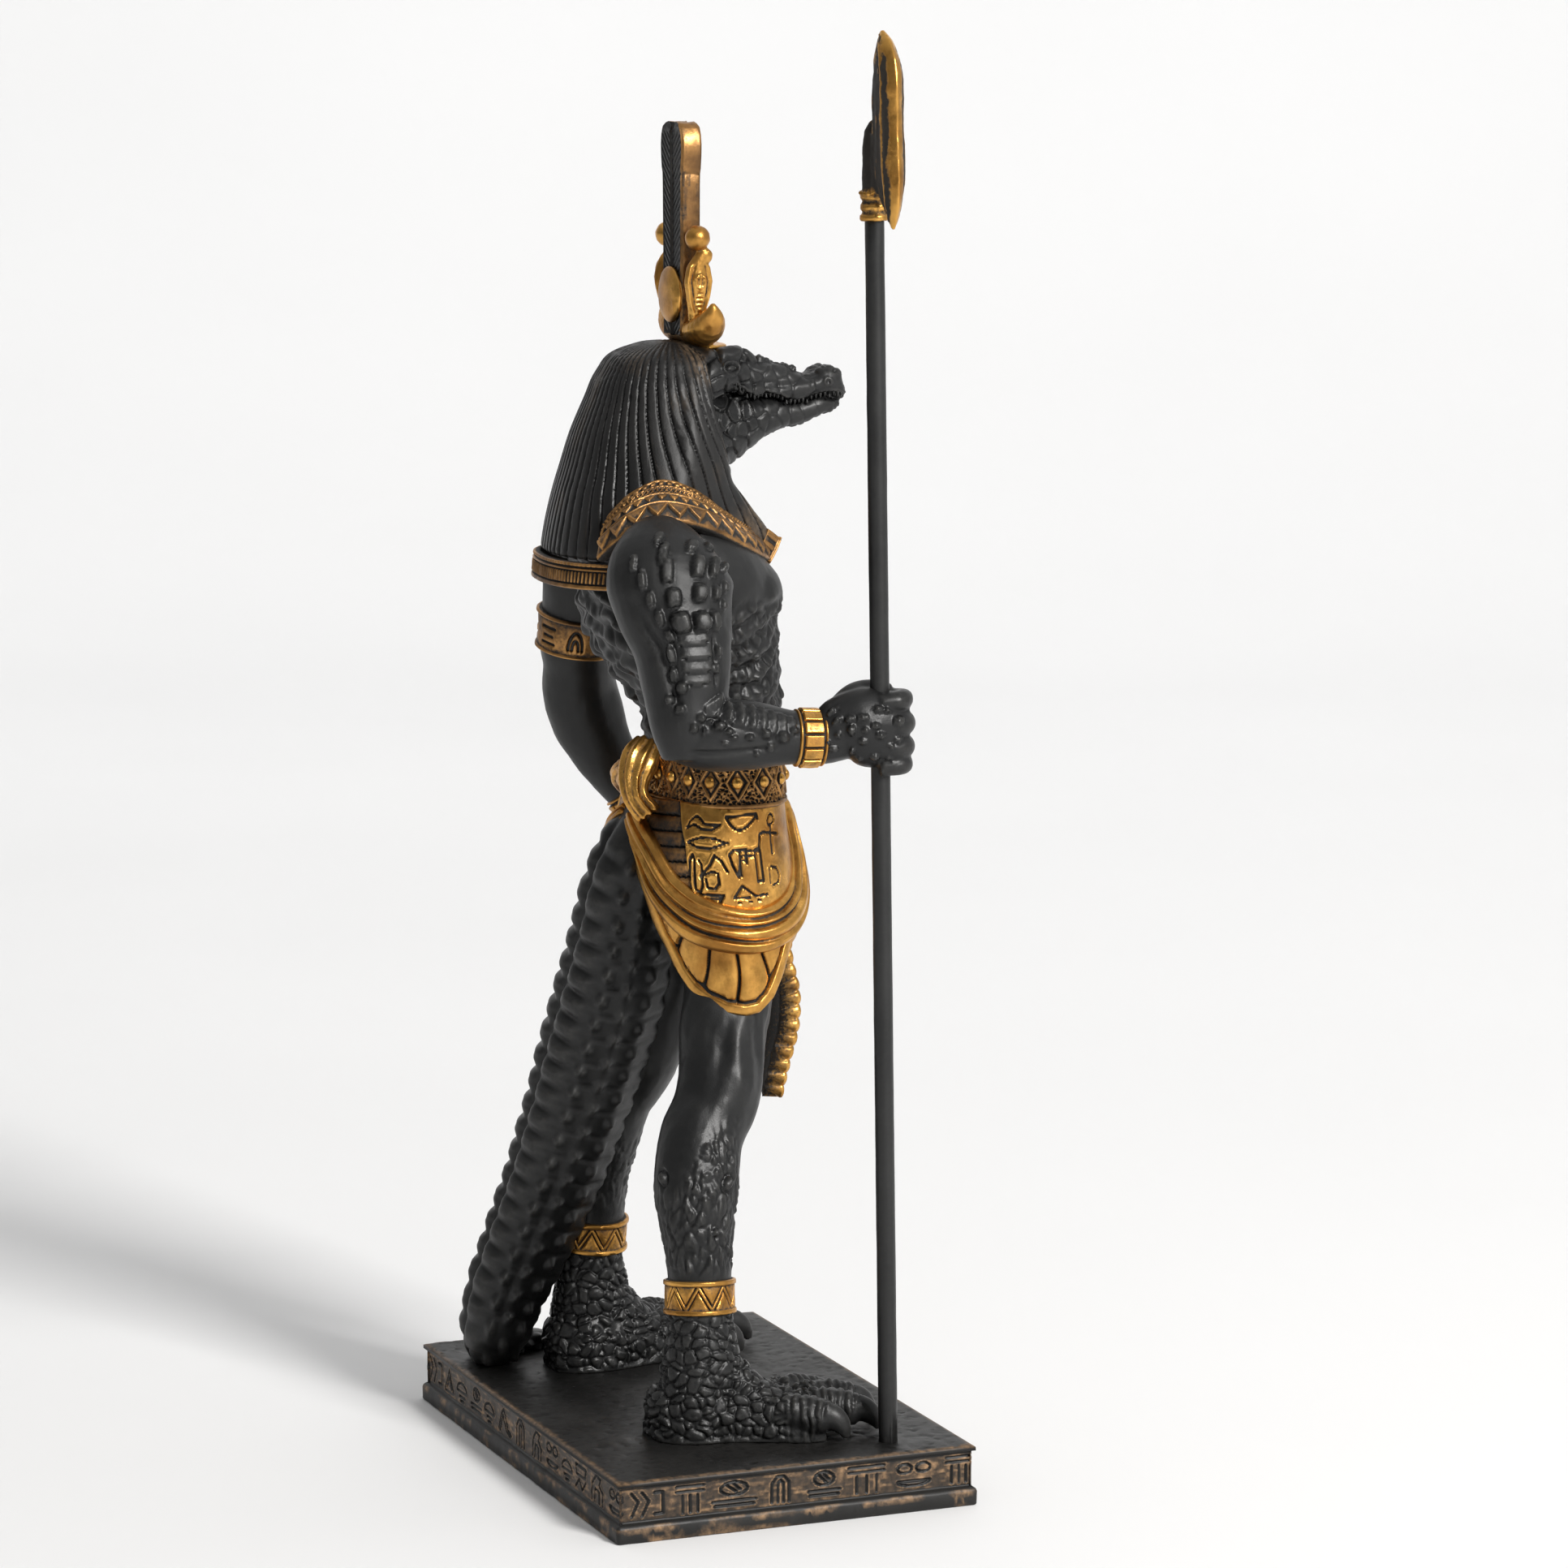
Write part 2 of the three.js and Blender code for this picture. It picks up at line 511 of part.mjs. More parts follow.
const KNOT = [
  [-4, 10.4, 152.8, 2.8, 3], [-6, 13.2, 149.6, 3.6, 4], [-7, 14.8, 146.2, 3, 3.2],
  [-8, 15.2, 143, 2.6, 2.6], [-8.6, 12.6, 138.6, 2.6, 2.6],
];
const KNOT_END = [[9, 9.6, 143, 2.6, 3], [3, 13, 146, 2.6, 3.2], [-4, 13.6, 147.6, 2.6, 3]];
const TAB = [
  [0, -18.6, 140.4, 5.2, 1.6], [0, -21.4, 130, 5.8, 2], [0, -21.6, 117, 6.2, 2.2],
  [0, -21.4, 106, 6.4, 2.2], [0, -21.4, 90, 6.2, 2.2], [0, -20.6, 80, 4.8, 2],
  [0, -19.6, 75, 1.8, 1.2],
];

function dress() {
  const parts = [collar(), sash(), limb(TAB, 8, { round: 4 })];
  for (let n = 0; n < STUDS; n += 1) {
    const angle = (2 * Math.PI * (n + 0.5)) / STUDS;
    const [c, s] = [Math.cos(angle), Math.sin(angle)];
    const reach = (Math.abs(c) ** KILT_ROUND + Math.abs(s) ** KILT_ROUND) ** (-1 / KILT_ROUND);
    const stud = new THREE.ConeGeometry(2.5 * k, STUD_PROUD * 2 * k, 4);
    stud.applyQuaternion(new THREE.Quaternion().setFromUnitVectors(V(0, 1, 0), V(c, s, 0)));
    const at = body(c * reach * 24.4, BELT[0][0] + s * reach * 13.6, STUD_LEVEL);
    parts.push(stud.translate(at.x, at.y, at.z));
  }
  for (const knot of [KNOT, KNOT_END]) parts.push(limb(knot, 8));
  return parts;
}

function flesh() {
  const setBack = LEG.map(([x, y, z, ...size]) => [x, y + readOff(LEFT_LEG_BACK, z), z, ...size]);
  const parts = [torso(), limb(flipped(LEG), 8), limb(setBack, 8)];
  for (const side of [-1, 1]) {
    const [[x, y, z], size] = CHEST;
    parts.push(turned(ball([side * x, y, z], size, { sides: 7 })), ...foot(side));
  }
  for (const arm of [RIGHT_ARM, RIGHT_FOREARM, LEFT_ARM]) parts.push(limb(arm, 8));
  return [...parts, ...rightFingers(), ...leftFingers()];
}

// Staff axis: it passes through the fist and leans back a little.
const FIST_MIDDLE = body(-51.3, -21.6, 161);
FIST_MIDDLE.z += PLINTH_TALL;
const staffLean = THREE.MathUtils.degToRad(STAFF_LEAN_DEG);
const STAFF_COURSE = V(0, Math.sin(staffLean), Math.cos(staffLean));

// The point of the staff's axis at a level above the table.
const onStaff = (level) => (
  FIST_MIDDLE.clone().addScaledVector(STAFF_COURSE, (level - FIST_MIDDLE.z) / STAFF_COURSE.z));

// A round bar along the staff's axis between two levels.
function bar(low, high, radius, sides = 16) {
  const [from, to] = [onStaff(low), onStaff(high)];
  const geometry = new THREE.CylinderGeometry(radius, radius, from.distanceTo(to), sides);
  geometry.applyQuaternion(new THREE.Quaternion().setFromUnitVectors(V(0, 1, 0), STAFF_COURSE));
  const middle = from.lerp(to, 0.5);
  return geometry.translate(middle.x, middle.y, middle.z);
}

function figure() {
  const whole = united([...flesh(), tail(), ...head(), ...wig(), ...dress()]);
  const seatRadius = (CROWN_FOOT_RADIUS + 0.6) * k;
  const seat = new THREE.CylinderGeometry(seatRadius, seatRadius, 20 * k, 16);
  seat.rotateX(Math.PI / 2).translate(CROWN_AT.x, CROWN_AT.y, FIGURE_TALL + 10 * k);
  const bore = bar(FIST_MIDDLE.z - 25 * k, FIST_MIDDLE.z + 25 * k, STAFF_RADIUS + STAFF_CLEARANCE);
  bore.translate(0, 0, -PLINTH_TALL - GLUE_LINE);
  return fromManifold(whole.subtract(soleCut()).subtract(toManifold(seat)).subtract(toManifold(bore)));
}

// Crown: round foot, ram's horns, sun disc, two plumes and a serpent with its own disc on each side.
// Its stations are drawn from its underside and scale with CROWN_TALL.
const CROWN_AT = V(0, -1.1 * k, 0);
const crownScale = CROWN_TALL / CROWN_DRAWN_TALL;
const onCrown = (x, y, z) => V(x * crownScale, (y + 1.1) * crownScale, z * crownScale);
const CROWN_FRAME = { place: onCrown, size: crownScale };
const HORN = [
  [0, -0.8, 4, 3.3, 3.8], [8.2, -0.9, 4.6, 3.2, 3.8], [11.4, -0.9, 6.6, 2.2, 2.8],
  [12.8, -0.7, 8.6, 1.2, 1.7], [13.1, -0.6, 9.8, 0.4, 0.6],
];
const SERPENT = [
  [7.4, 0.9, 6.4, 1.6, 1.7], [8.2, 0.9, 10.4, 1.7, 2.4], [8.6, 0.9, 14.4, 1.8, 3.2],
  [8.6, 0.9, 17, 1.7, 3], [8.5, 0.4, 19.4, 1.3, 1.9], [8.5, 0.4, 21.2, 1.1, 1.6],
];
const BALL_AT = [8.5, 1, 23.2];
const SUN_AT = [0, 3.7, 11.3];
const PLUME_MIDDLE = 1.25;
const PLUME_FOOT = 3;
const PLUME_WAIST = [5.6, 37];
const PLUME_LOBE = 6.4;

// Half of the pair's outline, mirrored: it widens into a rounded lobe with a notch between the two tips.
function plumes() {
  const s = crownScale;
  const shape = new THREE.Shape();
  const top = CROWN_DRAWN_TALL;
  shape.moveTo(5.1 * s, PLUME_FOOT * s);
  shape.lineTo(PLUME_WAIST[0] * s, PLUME_WAIST[1] * s);
  shape.quadraticCurveTo(PLUME_LOBE * s, (top - 9) * s, PLUME_LOBE * s, (top - 5) * s);
  shape.bezierCurveTo(PLUME_LOBE * s, (top - 1) * s, 4.6 * s, top * s, 3 * s, top * s);
  shape.quadraticCurveTo(0.9 * s, top * s, 0, (top - 1.2) * s);
  shape.quadraticCurveTo(-0.9 * s, top * s, -3 * s, top * s);
  shape.bezierCurveTo(-4.6 * s, top * s, -PLUME_LOBE * s, (top - 1) * s, -PLUME_LOBE * s, (top - 5) * s);
  shape.quadraticCurveTo(-PLUME_LOBE * s, (top - 9) * s, -PLUME_WAIST[0] * s, PLUME_WAIST[1] * s);
  shape.lineTo(-5.1 * s, PLUME_FOOT * s);
  const plate = { depth: PLUME_THICK, bevelEnabled: false, curveSegments: 3 };
  const geometry = new THREE.ExtrudeGeometry(shape, plate);
  return geometry.rotateX(Math.PI / 2).translate(0, onCrown(0, PLUME_MIDDLE, 0).y + PLUME_THICK / 2, 0);
}

function crown() {
  const footDisc = new THREE.CylinderGeometry(CROWN_FOOT_RADIUS, CROWN_FOOT_RADIUS, CROWN_FOOT_THICK, 16);
  const parts = [footDisc.rotateX(Math.PI / 2).translate(0, 0, CROWN_FOOT_THICK / 2), plumes()];
  parts.push(ball(SUN_AT, [SUN_RADIUS, SUN_HALF_THICK, SUN_RADIUS], { ...CROWN_FRAME, sides: 10 }));
  for (const side of [-1, 1]) {
    const mirrored = (stations) => stations.map(([x, ...rest]) => [side * x, ...rest]);
    parts.push(limb(mirrored(HORN), 6, { ...CROWN_FRAME, across: V(0, 0, 1) }));
    parts.push(limb(mirrored(SERPENT), 7, CROWN_FRAME));
    const at = [side * BALL_AT[0], BALL_AT[1], BALL_AT[2]];
    parts.push(ball(at, Array(3).fill(SERPENT_BALL_RADIUS), { ...CROWN_FRAME, sides: 8 }));
  }
  return fromManifold(united(parts));
}

// Staff head: a ringed sleeve over the staff's top, a rolled socket and a crescent blade facing outwards.
// Blade: cutting edge and heel as [out from the staff's axis, level], with its share of the thickness.
const BLADE_EDGE = [
  [9.9, 261], [11.8, 264.6], [12.7, 270], [12.4, 277], [12.1, 284], [12.2, 290], [11.2, 294.6],
  [8.4, 298.4], [5.2, 300.3],
];
const BLADE_HEEL = [
  [8.6, 262], [5, 266.6], [3.2, 272], [2.4, 279], [2.4, 284], [2.6, 288], [2.8, 292], [3, 296],
  [3.6, 299.8],
];
const BLADE_SWELL = [0.15, 0.6, 0.95, 1, 1, 1, 0.9, 0.6, 0.2];
const SOCKET_RADIUS = 2.3;
const SOCKET_TOP = 282;
const RING_LEVELS = [262.5, 264.7, 266.9];
const RING_TALL = 1.6;

function blade() {
  const at = ([out, level]) => onStaff(level).add(V(-out, 0, 0));
  return skin(BLADE_EDGE.map((row, i) => {
    const edge = at(row);
    const heel = at(BLADE_HEEL[i]);
    const ridge = edge.clone().lerp(heel, 0.4);
    const [half, quarter] = [2, 4].map((part) => V(0, (BLADE_THICK / part) * BLADE_SWELL[i], 0));
    const rear = [ridge.clone().add(half), heel.clone().add(quarter)];
    const front = [heel.clone().sub(quarter), ridge.clone().sub(half)];
    return [edge, ...rear, ...front];
  }));
}

function staffHead() {
  const low = RING_LEVELS[0];
  const [sleeve, ring] = [HEAD_SLEEVE_RADIUS, HEAD_SLEEVE_RADIUS + HEAD_RING_PROUD];
  const rows = RING_LEVELS.flatMap((level) => (
    [[level, ring], [level + RING_TALL, ring], [level + RING_TALL + 0.2, sleeve]]));
  rows.push([270.6, SOCKET_RADIUS], [SOCKET_TOP - 5, SOCKET_RADIUS]);
  rows.push([SOCKET_TOP - 1.6, 1.7], [SOCKET_TOP, 0.7]);
  const turning = ([level, radius]) => outline(onStaff(level), V(radius, 0, 0), V(0, radius, 0), 9);
  const webbing = (level) => outline(onStaff(level).add(V(-2.4, 0, 0)), V(2.6, 0, 0), V(0, 1.6, 0), 6);
  const parts = [blade(), skin(rows.map(turning)), skin([268, 280].map(webbing))];
  const hole = bar(low - 5, low + HEAD_SLEEVE_DEEP + STAFF_CLEARANCE, STAFF_RADIUS + STAFF_CLEARANCE, 16);
  return fromManifold(united(parts).subtract(toManifold(hole)));
}

const staffShaft = () => (
  bar(PLINTH_TALL - STAFF_SOCKET_DEEP + STAFF_CLEARANCE, STAFF_TOP_LEVEL, STAFF_RADIUS));

// Plinth: a plate over a recessed band over a rounded moulding, with a socket for the staff's foot.
function plinth() {
  const box = (inset, low, high) => new THREE.BoxGeometry(
    PLINTH_WIDTH - 2 * inset, PLINTH_DEPTH - 2 * inset, high - low).translate(0, 0, (low + high) / 2);
  const rings = [
    [-MOULDING_PROUD, 0], [-MOULDING_PROUD, MOULDING_TALL - MOULDING_ROUND],
    [MOULDING_ROUND - MOULDING_PROUD, MOULDING_TALL],
  ].map(([inset, z]) => {
    const [w, d] = [PLINTH_WIDTH / 2 - inset, PLINTH_DEPTH / 2 - inset];
    return [V(w, d, z), V(-w, d, z), V(-w, -d, z), V(w, -d, z)];
  });
  const core = box(BAND_RECESS, 0.5, PLINTH_TALL - PLATE_THICK / 2);
  const parts = [skin(rings), core, box(0, PLINTH_TALL - PLATE_THICK, PLINTH_TALL)];
  const socket = bar(PLINTH_TALL - STAFF_SOCKET_DEEP, PLINTH_TALL + 8, STAFF_RADIUS + STAFF_CLEARANCE);
  return fromManifold(united(parts).subtract(toManifold(socket)));
}

const paint = {
  resin: new THREE.MeshStandardMaterial({ color: 0x1b1c1d, roughness: 0.5, metalness: 0 }),
  gold: new THREE.MeshStandardMaterial({ color: 0xb07a22, roughness: 0.38, metalness: 0.85 }),
  rod: new THREE.MeshStandardMaterial({ color: 0x161718, roughness: 0.42, metalness: 0 }),
  bronze: new THREE.MeshStandardMaterial({ color: 0x2a211a, roughness: 0.55, metalness: 0.2 }),
};

function piece(name, geometry, material, z = 0) {
  const mesh = new THREE.Mesh(geometry, material);
  mesh.name = name;
  mesh.position.z = z;
  return mesh;
}

const model = new THREE.Group();
model.add(piece('plinth', plinth(), paint.bronze));
model.add(piece('figure', figure(), paint.resin, PLINTH_TALL + GLUE_LINE));
const crownMesh = piece('crown', crown(), paint.gold, PLINTH_TALL + FIGURE_TALL + 2 * GLUE_LINE);
crownMesh.position.add(CROWN_AT);
model.add(crownMesh);
model.add(piece('staff_shaft', staffShaft(), paint.rod));
model.add(piece('staff_head', staffHead(), paint.gold));

export default model;
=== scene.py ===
import math
import bpy
import numpy as np
from mathutils import Matrix, Vector


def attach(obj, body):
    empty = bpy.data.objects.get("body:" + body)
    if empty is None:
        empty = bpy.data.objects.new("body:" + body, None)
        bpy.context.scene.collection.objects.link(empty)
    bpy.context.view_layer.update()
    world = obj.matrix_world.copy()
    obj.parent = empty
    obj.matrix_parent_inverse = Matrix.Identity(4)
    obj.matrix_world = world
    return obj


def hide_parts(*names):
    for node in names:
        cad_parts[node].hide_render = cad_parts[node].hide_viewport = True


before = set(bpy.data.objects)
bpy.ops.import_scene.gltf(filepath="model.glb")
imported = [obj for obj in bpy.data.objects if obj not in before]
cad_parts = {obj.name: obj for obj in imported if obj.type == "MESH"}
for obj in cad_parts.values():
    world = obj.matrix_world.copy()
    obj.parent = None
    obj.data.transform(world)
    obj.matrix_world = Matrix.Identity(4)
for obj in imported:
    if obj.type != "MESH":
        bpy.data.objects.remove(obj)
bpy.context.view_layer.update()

# All sizes below are in millimetres until a piece becomes a mesh.
MM = 0.001
LIFT = 0.05
RIGHT, LEFT = -1, 1


# Surfaces as arrays of points.


def flow(rows, step=1.0, lead=3):
    """Stations joined by one smooth course, a step apart. The first columns are a place, the rest sizes."""
    rows = np.array(rows, float)
    gap = np.maximum(np.linalg.norm(np.diff(rows[:, :lead], axis=0), axis=1), 1e-6)
    t = np.concatenate([[0], np.cumsum(gap)])
    s = np.linspace(0, t[-1], max(3, int(round(t[-1] / step)) + 1))
    m = np.gradient(rows, t, axis=0)
    i = np.clip(np.searchsorted(t, s, side="right") - 1, 0, len(t) - 2)
    h = (t[i + 1] - t[i])[:, None]
    u = (s - t[i])[:, None] / h
    return ((2 * u**3 - 3 * u**2 + 1) * rows[i] + (u**3 - 2 * u**2 + u) * h * m[i]
            + (3 * u**2 - 2 * u**3) * rows[i + 1] + (u**3 - u**2) * h * m[i + 1])


def unit(a):
    """Directions of length one."""
    return a / np.maximum(np.linalg.norm(a, axis=-1, keepdims=True), 1e-9)


def length_along(points):
    """Length from the first point to each point of a line."""
    return np.concatenate([[0], np.cumsum(np.linalg.norm(np.diff(points, axis=0), axis=1))])


def angles(sides):
    """Even steps round a circle."""
    return np.arange(sides) * 2 * math.pi / sides


def read(table, at):
    """The second value of a table of pairs, between its rows."""
    return np.interp(at, [a for a, _ in table], [b for _, b in table])


def mirrored(side, rows):
    """Stations that are written for the left side, on the side asked for."""
    return [[side * x, *rest] for x, *rest in rows]


def nearest_turn(degrees):
    """The same angle between -180 and 180 degrees."""
    return (degrees + 180) % 360 - 180


def curve_round(angle, power=2.0):
    """Cosine and sine of an angle on an outline that is an ellipse at power 2 and squarer above it."""
    c, s = np.cos(angle), np.sin(angle)
    r = (np.abs(c) ** power + np.abs(s) ** power) ** (-1 / power)
    return c * r, s * r


def capped(rings):
    """Closed skin over rings [n, sides, 3]."""
    n, sides, _ = rings.shape
    v = rings.reshape(-1, 3)
    r, s = np.meshgrid(np.arange(n - 1), np.arange(sides), indexing="ij")
    a = (r * sides + s).ravel()
    b = (r * sides + (s + 1) % sides).ravel()
    quads = np.stack([a, b, b + sides, a + sides], 1)
    ends = np.stack([rings[0].mean(0), rings[-1].mean(0)])
    v = np.concatenate([v, ends])
    k = np.arange(sides)
    low = np.stack([(k + 1) % sides, k, np.full(sides, n * sides)], 1)
    last = (n - 1) * sides
    high = np.stack([last + k, last + (k + 1) % sides, np.full(sides, n * sides + 1)], 1)
    tris = np.concatenate([low, high])
    p = v[quads]
    volume = np.einsum("ij,ij->i", p[:, 0], np.cross(p[:, 1], p[:, 2])).sum()
    volume += np.einsum("ij,ij->i", p[:, 0], np.cross(p[:, 2], p[:, 3])).sum()
    if volume < 0:
        quads, tris = quads[:, ::-1], tris[:, ::-1]
    return v, quads, tris


def tube(rows, sides=32, across=(1, 0, 0), power=2.0, step=1.0, smooth=True):
    """A limb through stations [x, y, z, half width, half depth]."""
    rows = flow(rows, step) if smooth else np.array(rows, float)
    middle = rows[:, :3]
    along = unit(np.gradient(middle, axis=0))
    side = np.array(across, float) - along * (along @ np.array(across, float))[:, None]
    side = unit(side)
    other = np.cross(along, side)
    c, s = curve_round(angles(sides), power)
    rings = (middle[:, None] + side[:, None] * (c * rows[:, 3:4])[..., None]
             + other[:, None] * (s * rows[:, 4:5])[..., None])
    return capped(rings)


def stacked(rows, sides=64, power=2.2, step=1.0):
    """Level sections [y, z, half width, rear half depth, front half depth] joined upwards."""
    rows = [list(r) + [r[3]] if len(r) == 4 else list(r) for r in rows]
    rows = flow([[0, *r] for r in rows], step)
    c, s = curve_round(angles(sides), power)
    deep = np.where(s[None] > 0, rows[:, 4:5], rows[:, 5:6])
    x = c * rows[:, 3:4]
    y = rows[:, 1:2] + s * deep
    z = np.repeat(rows[:, 2:3], sides, 1)
    return capped(np.stack([x, y, z], -1))


def ball(at, size, sides=24):
    """A closed ball or egg of quads."""
    t = np.linspace(0, math.pi, sides // 2 + 1)[1:-1]
    a = angles(sides)
    ring = np.stack([np.sin(t)[:, None] * np.cos(a), np.sin(t)[:, None] * np.sin(a),
                     np.repeat(np.cos(t)[:, None], sides, 1)], -1)
    v, q, tr = capped(ring)
    v[-2], v[-1] = [0, 0, 1], [0, 0, -1]
    return v * np.array(size) + np.array(at), q, tr


def joined(parts):
    """Several parts as one set of arrays."""
    vs, qs, ts, base = [], [], [], 0
    for v, q, t in parts:
        vs.append(v)
        qs.append(q + base)
        ts.append(t + base)
        base += len(v)
    return np.concatenate(vs), np.concatenate(qs), np.concatenate(ts)


# The chest turns by this much, in shares of it by level.
CHEST_TURN_DEG = 9
CHEST_TURN = [(150, 0), (180, 1), (206, 1), (222, 0)]


def turned(part):
    """Chest, collar and wig are turned a little to his right about the upright axis."""
    v, q, t = part
    return turn_points(v), q, t


def turn_points(v):
    """Points turned with the chest."""
    angle = -np.radians(CHEST_TURN_DEG) * read(CHEST_TURN, v[..., 2])
    c, s = np.cos(angle), np.sin(angle)
    return np.stack([v[..., 0] * c - v[..., 1] * s, v[..., 0] * s + v[..., 1] * c, v[..., 2]], -1)


def shown(name, data):
    """A new object in the scene."""
    obj = bpy.data.objects.new(name, data)
    bpy.context.scene.collection.objects.link(obj)
    return obj


def as_changed(obj):
    """The mesh of an object with its modifiers worked in."""
    return bpy.data.meshes.new_from_object(obj.evaluated_get(bpy.context.evaluated_depsgraph_get()))


def keep_marks(mesh, marks):
    """Gives a mesh the marks of a skin as attributes."""
    for key, values in marks.items():
        a = mesh.attributes.new(key, "FLOAT", "POINT")
        a.data.foreach_set("value", values.astype(np.float32))


def plain_mesh(name, v, q, t=None, lift=LIFT):
    """A mesh in metres from arrays in millimetres."""
    mesh = bpy.data.meshes.new(name)
    t = np.zeros((0, 3), int) if t is None else t
    loops = np.concatenate([q.ravel(), t.ravel()])
    starts = np.concatenate([np.arange(len(q)) * 4, len(q) * 4 + np.arange(len(t)) * 3])
    totals = np.concatenate([np.full(len(q), 4), np.full(len(t), 3)])
    mesh.vertices.add(len(v))
    mesh.vertices.foreach_set("co", ((v + [0, 0, lift]) * MM).astype(np.float32).ravel())
    mesh.loops.add(len(loops))
    mesh.loops.foreach_set("vertex_index", loops.astype(np.int32))
    mesh.polygons.add(len(starts))
    mesh.polygons.foreach_set("loop_start", starts.astype(np.int32))
    mesh.polygons.foreach_set("loop_total", totals.astype(np.int32))
    mesh.update(calc_edges=True)
    mesh.validate()
    return mesh


class Skin:
    """A closed surface that is carved by moving its points along their normals."""

    def __init__(self, v, q, t):
        self.v, self.q, self.t = v, q, t
        e = [q[:, [0, 1]], q[:, [1, 2]], q[:, [2, 3]], q[:, [3, 0]], t[:, [0, 1]], t[:, [1, 2]],
             t[:, [2, 0]]]
        e = np.concatenate(e)
        e.sort(axis=1)
        key = np.unique(e[:, 0].astype(np.int64) * len(v) + e[:, 1])
        self.e = np.stack([key // len(v), key % len(v)], 1)
        self.degree = np.bincount(self.e.ravel(), minlength=len(v))
        self.marks = {}

    def around(self, values):
        """The mean of each point's neighbours."""
        cols = values[:, None] if values.ndim == 1 else values
        res = []
        for c in range(cols.shape[1]):
            x = cols[:, c]
            res.append(np.bincount(self.e[:, 0], x[self.e[:, 1]], len(x))
                       + np.bincount(self.e[:, 1], x[self.e[:, 0]], len(x)))
        out = np.stack(res, 1) / np.maximum(self.degree, 1)[:, None]
        return out[:, 0] if values.ndim == 1 else out

    def normals(self):
        v = self.v
        n = np.zeros_like(v)
        fq = np.cross(v[self.q[:, 2]] - v[self.q[:, 0]], v[self.q[:, 3]] - v[self.q[:, 1]])
        ft = np.cross(v[self.t[:, 1]] - v[self.t[:, 0]], v[self.t[:, 2]] - v[self.t[:, 0]])
        for f, idx in ((fq, self.q), (ft, self.t)):
            for k in range(idx.shape[1]):
                for c in range(3):
                    n[:, c] += np.bincount(idx[:, k], f[:, c], len(v))
        return unit(n)

    def relax(self, times, share=0.5):
        for _ in range(times):
            self.v = self.v + share * (self.around(self.v) - self.v)
        return self

    def blur(self, values, times):
        for _ in range(times):
            values = 0.5 * values + 0.5 * self.around(values)
        return values

    def push(self, height, normals=None):
        n = self.normals() if normals is None else normals
        self.v = self.v + n * height[:, None]
        return self

    def hollows(self, times=3):
        """How far each point lies below its surroundings, in millimetres."""
        n = self.normals()
        d = np.einsum("ij,ij->i", self.around(self.v) - self.v, n)
        return self.blur(d, times)

    def mark(self, name, values):
        self.marks[name] = np.clip(values, 0, 1)
        return self

    def brighten(self, change):
        """Adds to the proud mark, of every point or of the first ones when the change is a grid."""
        change = np.ravel(change)
        tone = self.marks["proud"]
        n = len(change) if len(change) > 1 else len(tone)
        tone[:n] = np.clip(tone[:n] + change, 0, 1)


def melted(parts, voxel, smooth=4):
    """Overlapping closed parts as one surface, with soft joints."""
    v, q, t = joined(parts)
    mesh = plain_mesh("melt", v, q, t, 0)
    obj = shown("melt", mesh)
    mod = obj.modifiers.new("remesh", "REMESH")
    mod.mode = "VOXEL"
    mod.voxel_size = voxel * MM
    mod.adaptivity = 0
    out = as_changed(obj)
    n = len(out.vertices)
    co = np.empty(n * 3, np.float32)
    out.vertices.foreach_get("co", co)
    total = np.empty(len(out.polygons), np.int32)
    out.polygons.foreach_get("loop_total", total)
    loops = np.empty(len(out.loops), np.int32)
    out.loops.foreach_get("vertex_index", loops)
    start = np.empty(len(out.polygons), np.int32)
    out.polygons.foreach_get("loop_start", start)
    quads = loops[start[total == 4][:, None] + np.arange(4)]
    tris = loops[start[total == 3][:, None] + np.arange(3)] if (total == 3).any() else np.zeros((0, 3), int)
    bpy.data.objects.remove(obj)
    bpy.data.meshes.remove(mesh)
    bpy.data.meshes.remove(out)
    skin = Skin(co.reshape(-1, 3).astype(float) / MM, quads.astype(int), tris.astype(int))
    return skin.relax(smooth)


def hashed(i, j, k, seed):
    n = (i.astype(np.int64) * 73856093) ^ (j.astype(np.int64) * 19349663) ^ (k.astype(np.int64)
            * 83492791) ^ (seed * 2654435)
    n = (n ^ (n >> 13)) * 1274126177 & 0x7FFFFFFF
    n = (n ^ (n >> 15)) * 668265263 & 0x7FFFFFFF
    return (n & 0xFFFFFF) / float(0xFFFFFF)


def noise(p, size, seed=1):
    """Smooth random heights from -1 to 1 with lumps of a size."""
    x = p / size
    b = np.floor(x).astype(np.int64)
    f = x - b
    f = f * f * (3 - 2 * f)
    total = np.zeros(len(p))
    for dx in (0, 1):
        for dy in (0, 1):
            for dz in (0, 1):
                w = ((f[:, 0] if dx else 1 - f[:, 0]) * (f[:, 1] if dy else 1 - f[:, 1])
                     * (f[:, 2] if dz else 1 - f[:, 2]))
                total += w * hashed(b[:, 0] + dx, b[:, 1] + dy, b[:, 2] + dz, seed)
    return total * 2 - 1


def scales(p, size, seed=1, jitter=0.8):
    """Distances to the two nearest seeds of a scattered pattern, in cells, and a number for each cell."""
    x = p / np.array(size, float)
    b = np.floor(x).astype(np.int64)
    first = np.full(len(p), 9.0)
    second = np.full(len(p), 9.0)
    name = np.zeros(len(p))
    for dx in (-1, 0, 1):
        for dy in (-1, 0, 1):
            for dz in (-1, 0, 1):
                c = b + [dx, dy, dz]
                h = np.stack([hashed(c[:, 0], c[:, 1], c[:, 2], seed + a) for a in (0, 7, 13)], 1)
                d = np.linalg.norm(c + 0.5 + (h - 0.5) * jitter - x, axis=1)
                nearer = d < first
                second = np.where(nearer, first, np.minimum(second, d))
                name = np.where(nearer, h[:, 0], name)
                first = np.where(nearer, d, first)
    return first, second, name


